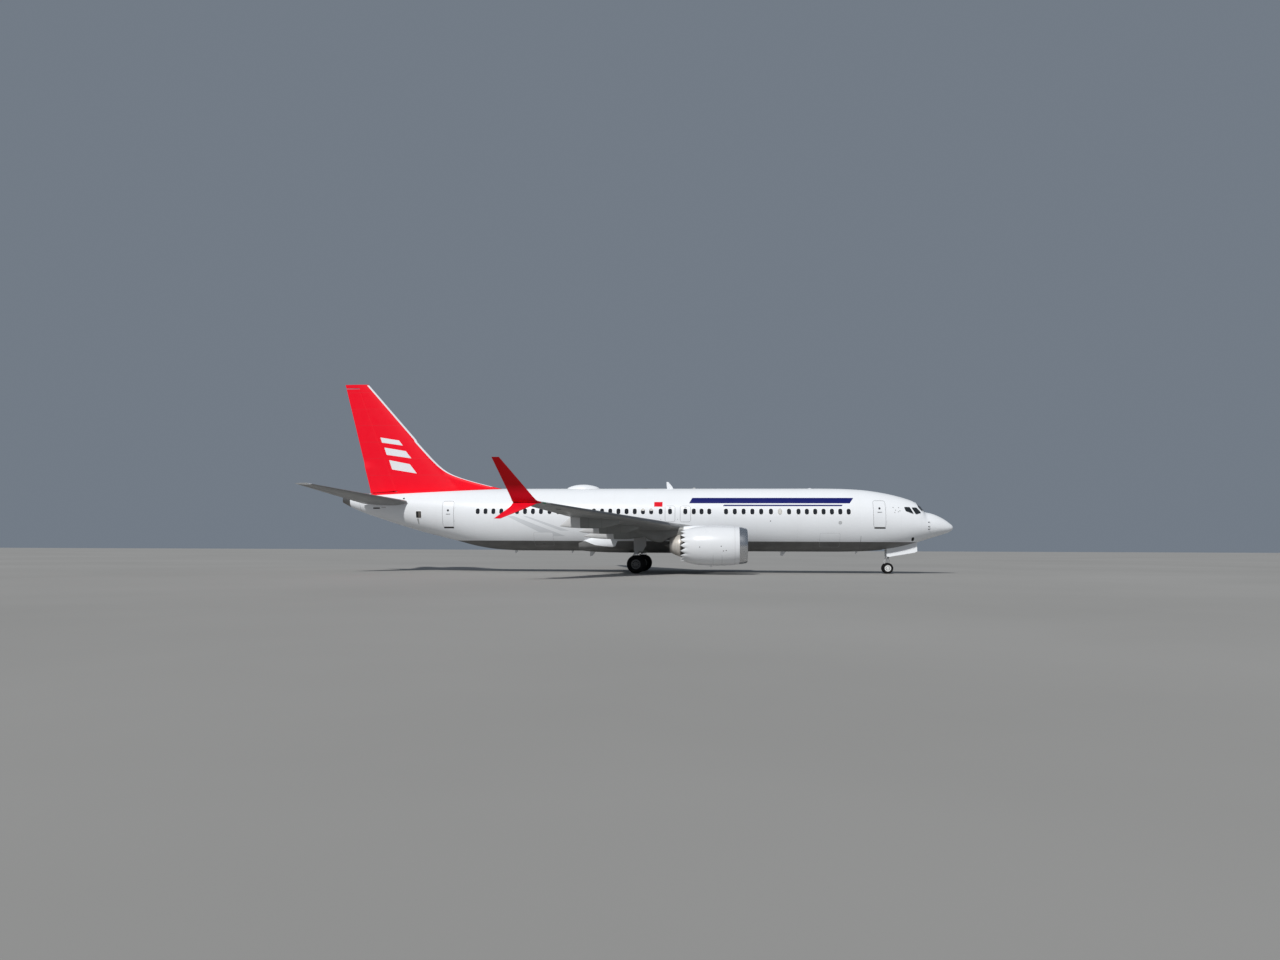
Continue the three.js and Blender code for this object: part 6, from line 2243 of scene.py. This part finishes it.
def sheet(foil, side, above):
    """A foil's upper or lower skin by span and station."""
    sign = 1 if above else -1

    def rule(span, station):
        share = np.clip((station - foil.lead(span)) / foil.chord(span), 0, 1)
        return foil.surface(span, np.sqrt(share) * sign)

    return Skin(rule, sign * side)


def share_quad(foil, inner, outer, front, back):
    """Corners of a panel between two spans and two shares of the chord."""
    spans = (inner, outer, outer, inner)
    return [(span, foil.at_share(span, share)) for span, share in zip(spans, (back, back, front, front))]


def share_lines(foil, skin, shares, marks):
    """Thin lines along a foil at shares of its chord."""
    return [strip(skin, [(span, foil.at_share(span, share)) for span in marks], 0.008) for share in shares]


def station_quad(foil, inner, outer, ahead, behind):
    """Corners of a panel whose front and back edges lie ahead of the flap's front line."""
    front = [foil.at_share(span, flap_share(foil, span)) for span in (inner, outer)]
    return [
        (inner, front[0] - behind),
        (outer, front[1] - behind),
        (outer, front[1] - ahead),
        (inner, front[0] - ahead),
    ]


def build_leading_edges(name):
    """Slats, inner nose flaps and the lamps of the leading edge."""
    skin = WING_FOIL[name].skin
    slats, seams = [], []
    for inner, outer in SLATS + NOSE_FLAPS:
        corners = quad(inner, outer, -0.06, 0.34 if outer > SLATS[0][0] else 0.16)
        slats.append(panel(skin, corners, 0.012, 0.0035, 0.004, 16, 26))
        seams.append(rim(skin, corners, 0.012, 0.010, 0.0010, 0.003, 0.001, 18))
    # The slats' dark metal is painted shade
    piece(f"{name}_slats", slats, SLAT_SHADE_METAL)
    piece(f"{name}_slat_seams", seams, SEAM)
    lamp = panel(skin, quad(*NAV_LIGHT, -0.22, 0.22), 0.03, 0.005, 0.003, 8, 12)
    piece(f"{name}_navigation_light", lamp, RED_LAMP if name == "left" else GREEN_LAMP)
    lamp = panel(skin, quad(*LANDING_LIGHT), 0.02, 0.005, 0.003, 6, 10)
    piece(f"{name}_landing_light", lamp, LENS)


def build_spoilers(name):
    foil = WING_FOIL[name]
    top = sheet(foil, SIDES[name], True)
    quads = [station_quad(foil, a, b, 0.50, 0.035) for a, b in INNER_SPOILERS]
    quads += [share_quad(foil, a, b, 0.615, 0.722) for a, b in OUTER_SPOILERS]
    plates = [panel(top, corners, 0.02, 0.004, 0.004, 12, 6) for corners in quads]
    gaps = [rim(top, corners, 0.02, 0.012, 0.0012, 0.003, 0.001, 10) for corners in quads]
    piece(f"{name}_spoilers", plates, WING_LIGHT)
    piece(f"{name}_spoiler_gaps", gaps, SEAM)
    lines = share_lines(foil, top, (0.14, 0.58), np.linspace(2.1, 16.4, 40))
    piece(f"{name}_upper_seams", lines, LIGHT_SEAM)


def build_underside(name):
    """Oval tank covers, seams and a vent below the wing."""
    foil = WING_FOIL[name]
    under = sheet(foil, SIDES[name], False)
    covers, edges = [], []
    for span in np.arange(6.4, 16.3, 0.62):
        centre = foil.at_share(span, 0.40)
        half = min(0.20, 0.10 * float(foil.chord(span)))
        corners = quad_about(span, centre, 0.13, half)[::-1]
        covers.append(panel(under, corners, 0.125, 0.003, 0.003, 4, 6))
        edges.append(rim(under, corners, 0.125, 0.010, 0.0012, 0.002, 0.001, 2))
    piece(f"{name}_tank_covers", covers, UNDERWING_SHADE_GREY)
    lines = share_lines(foil, under, (0.14, 0.66), np.linspace(5.9, 16.4, 30))
    piece(f"{name}_under_seams", lines + edges, SEAM)
    piece(f"{name}_tank_vent", panel(under, TANK_VENT, 0.03, 0.004, 0.002, 4, 4), DARK)


def wick_rods(foil, spans, length=0.13, hang=0.012):
    """Static wicks along a trailing edge."""
    wicks = []
    for span in spans:
        edge = foil.surface(np.array([span]), np.array([1.0]))[0]
        wicks.append(rod([edge + [0.012, 0, 0], edge + [-length, 0, -hang]], [0.006, 0.0035], 8))
    return wicks


def build_moving_details(name):
    """Tabs and wicks on the aileron and the elevator, and the tailplane's bare leading edge."""
    # Moving surface, foil, tab by spans and shares of the chord, fineness, spans of the wicks
    surfaces = [
        ("aileron", WING_FOIL[name], (12.75, 14.35, 0.925, 0.985), 10, (14.8, 15.5, 16.1)),
        ("elevator", TAIL_FOIL[name], (1.75, 4.10, 0.90, 0.985), 12, (3.9, 4.6, 5.3)),
    ]
    for label, foil, tab, fine, spans in surfaces:
        body = f"{name}_{label}"
        skins = [sheet(foil, SIDES[name], above) for above in (True, False)]
        marks = [rim(skin, share_quad(foil, *tab), 0.01, 0.010, 0.0015, 0.002, 0.0, fine) for skin in skins]
        piece(f"{body}_tab", marks, SEAM, body)
        fitting(f"{body}_wicks", wick_rods(foil, spans), DARK_METAL, body)
    skin, body = TAIL_FOIL[name].skin, f"{name}_stabilizer"
    edge = panel(skin, quad(1.75, 6.95, -0.08, 0.20), 0.02, 0.0025, 0.003, 30, 20)
    piece(f"{name}_tail_edge", edge, TAIL_EDGE, body)
    bends = ((-0.975, -0.01), (0.01, 0.975))
    caps = [panel(skin, quad(7.00, 7.165, *bend), 0.01, 0.002, 0.002, 4, 24) for bend in bends]
    piece(f"{name}_tail_cap", caps, WHITE, body)


def ring_strip(skin, station, half_width, start=0.0, end=TAU, lift=0.0018, depth=0.004, count=96):
    """A strip round a body at a station, between two angles."""
    angle = np.linspace(start, end, count + 1)
    closed = end - start > TAU - 1e-6
    if closed:
        angle = angle[:-1]
    edges = ((-half_width, -depth), (-half_width, lift), (half_width, lift), (half_width, -depth))
    rows = [skin(np.full(len(angle), station + offset), angle, rise) for offset, rise in edges]
    if closed:
        return loft(rows, loop=True)
    return loft([np.array([row[i] for row in rows]) for i in range(len(angle))])


SWIRL_SCALE = 0.16  # metres round the spinner for each radian, so that its mark keeps its width
# Latches under the cowl, and small ports on it: station and height
COWL_LATCHES = (13.95, 14.35, 14.75, 15.35, 15.85)
COWL_PORTS = ((14.41, 1.40), (14.25, 1.43), (14.54, 1.67), (15.78, 1.62))
# The strake: front station, length, height, and its section as shares of the height and half widths
STRAKE = {"front": 13.95, "long": 1.35, "tall": 0.26, "turn": 0.92}
STRAKE_SECTION = ((0.0, 0.016), (0.7, 0.010), (1.0, 0.003), (1.0, -0.003), (0.7, -0.010), (0.0, -0.016))


def build_cowl_details(name):
    """Seams, latches and ports of a cowl."""
    side = SIDES[name]
    skin = nacelle_skin(side)
    seams = [ring_strip(skin, 13.74, 0.005)]
    seams += [ring_strip(skin, s, 0.006, math.pi * 0.66, math.pi * 1.34) for s in (14.49, 15.01)]
    for angle in (math.pi - 0.012, 0.40, -0.40):
        seams.append(strip(skin, [(13.76, angle), (16.30, angle)], 0.012, 0.0018, 0.004, 30))
    angle = math.pi / 2 * -side + 0.9
    seams.append(strip(skin, [(15.05, angle), (16.2, angle)], 0.008))
    piece(f"{name}_cowl_seams", seams, LIGHT_SEAM)
    dark = []
    for station in COWL_LATCHES:
        corners = quad(station - 0.07, station + 0.07, math.pi - 0.030, math.pi + 0.020)
        dark.append(panel(skin, corners, 0.010, 0.004, 0.002, 3, 3))
    for station, height in COWL_PORTS:
        for mirrored in (1, -1):
            angle = math.pi / 2 * mirrored - mirrored * (height - ENGINE_HEIGHT) / 1.15
            dark.append(panel(skin, quad_about(station, angle, 0.028, 0.025), 0.020, 0.003, 0.002, 3, 3))
    piece(f"{name}_cowl_ports", dark, SEAM)


def build_strake(name):
    """The fin on the inboard side of a cowl, and the drain mast below it."""
    side = SIDES[name]
    rings = []
    for t in np.linspace(0, 1, 16):
        station = STRAKE["front"] + STRAKE["long"] * t
        rise = math.sin(math.pi * min(t * 0.62 + 0.02, 0.5)) * (1 if t < 0.8 else 1 - (t - 0.8) * 1.2)
        base = float(nacelle_outside(station)[0, 0]) - 0.01
        share, half = np.array(STRAKE_SECTION).T
        radius = base + STRAKE["tall"] * rise * share
        rings.append(engine_ring(station, radius, side, -side * STRAKE["turn"] + half / radius))
    piece(f"{name}_cowl_strake", loft(rings), NACELLE_WHITE)
    root = engine_ring(15.1, nacelle_outside(15.1)[0, 0] - 0.01, side, math.pi)
    piece(f"{name}_cowl_drain", drain_mast(root), NACELLE_WHITE)


def drain_mast(root):
    """A short drain mast that hangs from a point."""
    turn = turns(16)
    rings = []
    for drop, long in ((0.0, 0.16), (0.05, 0.13), (0.09, 0.09)):
        back = 0.5 * long * np.cos(turn) - drop * 0.5
        rings.append(root + np.stack([back, 0.014 * np.sin(turn), np.full(16, -drop)], axis=1))
    return loft(rings)


def build_inlet_details(name):
    """A swirl mark on the spinner and the probe in the inlet."""
    side = SIDES[name]

    def rule(back, around):
        radius = spinner_outside(np.ravel(back))[:, 0].reshape(np.shape(back))
        return engine_ring(FAN["tip"] + back, radius, side, around / SWIRL_SCALE)

    path = [(0.06 + 0.30 * t, SWIRL_SCALE * (0.4 + 3.6 * t**0.8)) for t in np.linspace(0, 1, 24)]
    mark = strip(Skin(rule, -1), path, 0.042, 0.002, 0.003, 60)
    piece(f"{name}_spinner_mark", mark, WHITE, f"{name}_fan")
    radius = nacelle_inside(13.36)[0, 0]
    ends = [engine_ring(13.36, radius + 0.005, side, 0.3), engine_ring(13.38, radius - 0.10, side, 0.3)]
    piece(f"{name}_inlet_probe", rod(ends, [0.022, 0.014], 14, 0.004), STEEL)


def build_canoe_seams(name):
    """Thin bands round the flap-track fairings, where their shells meet."""
    rows = []
    for size in FLAP_FAIRINGS.values():
        for t in (0.30, 0.52):
            edges = ((-0.0016, -0.004), (-0.0016, 0.003), (0.0016, 0.003), (0.0016, -0.004))
            rings = [
                canoe_ring(WING_FOIL[name], SIDES[name], size, t + shift, grow)
                for shift, grow in edges
            ]
            rows.append(loft(rings, loop=True))
    piece(f"{name}_canoe_seams", rows, CANOE_SEAM)


BELLY_SEAMS = (14.4, 15.8, 17.3, 18.6, 20.9, 22.2)


def build_belly():
    """Air inlets, louvres and seams of the wing-body fairing."""
    skin = Skin(fairing_rule, -1)
    dark, steel = [], []
    for side in SIDES.values():
        middle = math.pi - side * 0.62
        corners = [
            (13.75, middle - 0.03),
            (14.35, middle - 0.09),
            (14.35, middle + 0.09),
            (13.75, middle + 0.03),
        ]
        dark.append(panel(skin, corners, 0.02, 0.003, 0.003, 8, 5))
        steel.append(rim(skin, corners, 0.02, 0.018, 0.008, 0.003, 0.0, 6))
        for row in range(4):
            station, angle = 16.05 + 0.085 * row, math.pi - side * 0.75
            slot = quad(station, station + 0.045, angle - 0.09, angle + 0.09)
            dark.append(panel(skin, slot, 0.012, 0.004, 0.002, 3, 4))
    piece("belly_openings", dark, DARK)
    piece("belly_frames", steel, STEEL)
    start, end = math.pi * 0.58, math.pi * 1.42
    seams = [ring_strip(skin, station, 0.005, start, end, 0.0015) for station in BELLY_SEAMS]
    piece("belly_seams", seams, SEAM)


def build_well_fittings():
    """Hoops, spokes and pipes on the roofs of the wheel wells."""
    well = WHEEL_WELL
    station, top = well["station"], well["top"]
    inside = []
    for side in SIDES.values():
        out = side * well["out"]
        for radius in (0.52, 0.30):
            rows = [(0, radius - 0.02), (0, radius + 0.02), (0.024, radius + 0.02), (0.024, radius - 0.02)]
            inside.append(turned(rows, place(station, out, top - 0.004 - 0.02), UP, 40, loop=True))
        for angle in turns(8):
            back, beside = math.cos(angle), math.sin(angle)
            ends = [place(station + r * back, out + r * beside, top - 0.02) for r in (0.05, 0.62)]
            inside.append(rod(ends, 0.018, 8))
        for shift in (-0.30, 0.25):
            path = [
                place(station + shift, side * (well["out"] - 0.55), top - 0.10),
                place(station + shift * 0.6, out, top - 0.07),
                place(station + shift, side * (well["out"] + 0.52), top - 0.12),
            ]
            inside.append(rod(curve_points(path), 0.013, 8))
    fitting("wheel_well_fittings", inside, BAY_METAL)


def build_bay_fittings():
    """Frames and pipes inside the nose bay."""
    front, back, half, top = (NOSE_BAY[key] for key in ("front", "back", "half", "top"))
    ribs = []
    for station in np.linspace(front + 0.25, back - 0.2, 6):
        near, far = station - 0.015, station + 0.015
        low = 1.62 if station > 3.6 else 1.85
        for side in SIDES.values():
            corner = place(near, side * (half - 0.001), low)
            ribs.append(box_between(corner, place(far, side * (half - 0.03), top - 0.001)))
        corner = place(near, -half + 0.001, top - 0.001)
        ribs.append(box_between(corner, place(far, half - 0.001, top - 0.03)))
    for out in (-0.2, 0.17, 0.22):
        line = [place(front + 0.1, out, 2.10), place(3.4, out, 2.08), place(back - 0.1, out, 2.10)]
        ribs.append(rod(curve_points(line), 0.011, 8))
    fitting("nose_bay_fittings", ribs, BAY_METAL)


# Stage


# The camera's place, its yaw, pitch and roll in degrees, its sensor in millimetres, and the focal
# length and the width of the photograph in its own pixels
CAMERA = {
    "place": (4.86, -62.64, 1.60),
    "turn": (4.40, 3.94, 0.23),
    "sensor": 36.0,
    "focal_pixels": 975.1,
    "frame_pixels": 1280,
}
FLOOR_REACH = 900
FLOOR_TONES = ((0.325, 0.318, 0.305), (0.37, 0.362, 0.348))
SUN = {"energy": 2.95, "colour": (1.0, 0.985, 0.96), "degrees": 4, "direction": (0.20, 0.69, -0.65)}


def look_at_photo():
    """The camera at the photograph's place: a person on the ground, off the starboard wing."""
    yaw, pitch, roll = (math.radians(a) for a in CAMERA["turn"])
    level = Vector((-math.sin(yaw), math.cos(yaw), 0))
    right = Vector((math.cos(yaw), math.sin(yaw), 0))
    forward = level * math.cos(pitch) + Vector((0, 0, 1)) * math.sin(pitch)
    up = Vector((0, 0, 1)) * math.cos(pitch) - level * math.sin(pitch)
    tilted_right = right * math.cos(roll) + up * math.sin(roll)
    tilted_up = up * math.cos(roll) - right * math.sin(roll)
    data = bpy.data.cameras.new("camera")
    data.sensor_width = CAMERA["sensor"]
    data.lens = CAMERA["focal_pixels"] / CAMERA["frame_pixels"] * CAMERA["sensor"]
    data.clip_end = 500
    camera = add_object("camera", data)
    turn = Matrix((tilted_right, tilted_up, -forward)).transposed()
    camera.matrix_world = Matrix.Translation(Vector(CAMERA["place"])) @ turn.to_4x4()
    bpy.context.scene.camera = camera


def build_stage():
    ground = Shader("pale_floor")
    patches = ground.ramp(ground.noise(0.05, 5), 0.3, 0.7)
    tone = ground.mix(patches, *FLOOR_TONES)
    ground.bump(ground.noise(6, 4), 0.05, 0.01)
    ground.set(Base_Color=tone, Roughness=0.85)
    mesh = bpy.data.meshes.new("floor")
    corners = quad(-FLOOR_REACH, FLOOR_REACH, -FLOOR_REACH, FLOOR_REACH)
    mesh.from_pydata([(x, y, 0) for x, y in corners], [], [(0, 1, 2, 3)])
    mesh.materials.append(ground.material)
    add_object("floor", mesh)


def build_sun():
    data = bpy.data.lights.new("sun", "SUN")
    data.energy = SUN["energy"]
    data.color = SUN["colour"]
    data.angle = math.radians(SUN["degrees"])
    add_object("sun", data).rotation_euler = Vector(SUN["direction"]).to_track_quat("-Z", "Y").to_euler()


def build_sky():
    """An even grey-blue sky, which darkens below the horizon, where only reflections see it."""
    bpy.context.scene.view_settings.view_transform = "Standard"
    world = bpy.data.worlds.new("studio")
    bpy.context.scene.world = world
    world.use_nodes = True
    tree = world.node_tree
    background = tree.nodes["Background"]
    kinds = ("TexGradient", "TexCoord", "Mapping", "ValToRGB")
    gradient, coordinates, mapping, ramp = (tree.nodes.new(f"ShaderNode{kind}") for kind in kinds)
    mapping.inputs["Rotation"].default_value = (0, math.radians(-90), 0)
    ramp.color_ramp.elements[0].color = (0.17, 0.20, 0.24, 1)
    ramp.color_ramp.elements[1].color = (0.04, 0.06, 0.10, 1)
    ramp.color_ramp.elements.new(0.45).color = (0.11, 0.14, 0.19, 1)
    tree.links.new(coordinates.outputs["Generated"], mapping.inputs["Vector"])
    tree.links.new(mapping.outputs[0], gradient.inputs[0])
    tree.links.new(gradient.outputs["Fac"], ramp.inputs[0])
    tree.links.new(ramp.outputs[0], background.inputs["Color"])


WHOLE_BUILDERS = (
    look_at_photo,
    build_stage,
    build_sky,
    build_sun,
    build_body,
    build_fairing,
    build_belly,
    build_well_fittings,
    build_bay_fittings,
    build_fin,
    build_rudder,
    build_rudder_seal,
    build_fin_bars,
    build_fin_edge,
    build_rudder_wicks,
    build_dome,
    build_roof,
    build_tail_details,
    build_exhaust,
    build_gear,
)
SIDE_BUILDERS = (
    build_wing,
    build_winglet,
    build_flap_fairings,
    build_canoe_seams,
    build_leading_edges,
    build_spoilers,
    build_underside,
    build_moving_details,
    build_tailplane,
    build_nacelle,
    build_cowl_details,
    build_strake,
    build_inlet_details,
    build_fan,
    build_core,
    build_pylon,
    build_windows,
    build_cockpit,
    build_probes,
    build_stripes,
)
for build in WHOLE_BUILDERS:
    build()
for name in SIDES:
    for build in SIDE_BUILDERS:
        build(name)
for label, side_names, *rest in DOORS:
    for side_name in side_names:
        build_door(label, side_name, *rest)
for row in CARGO_DOORS:
    build_cargo_door(*row)
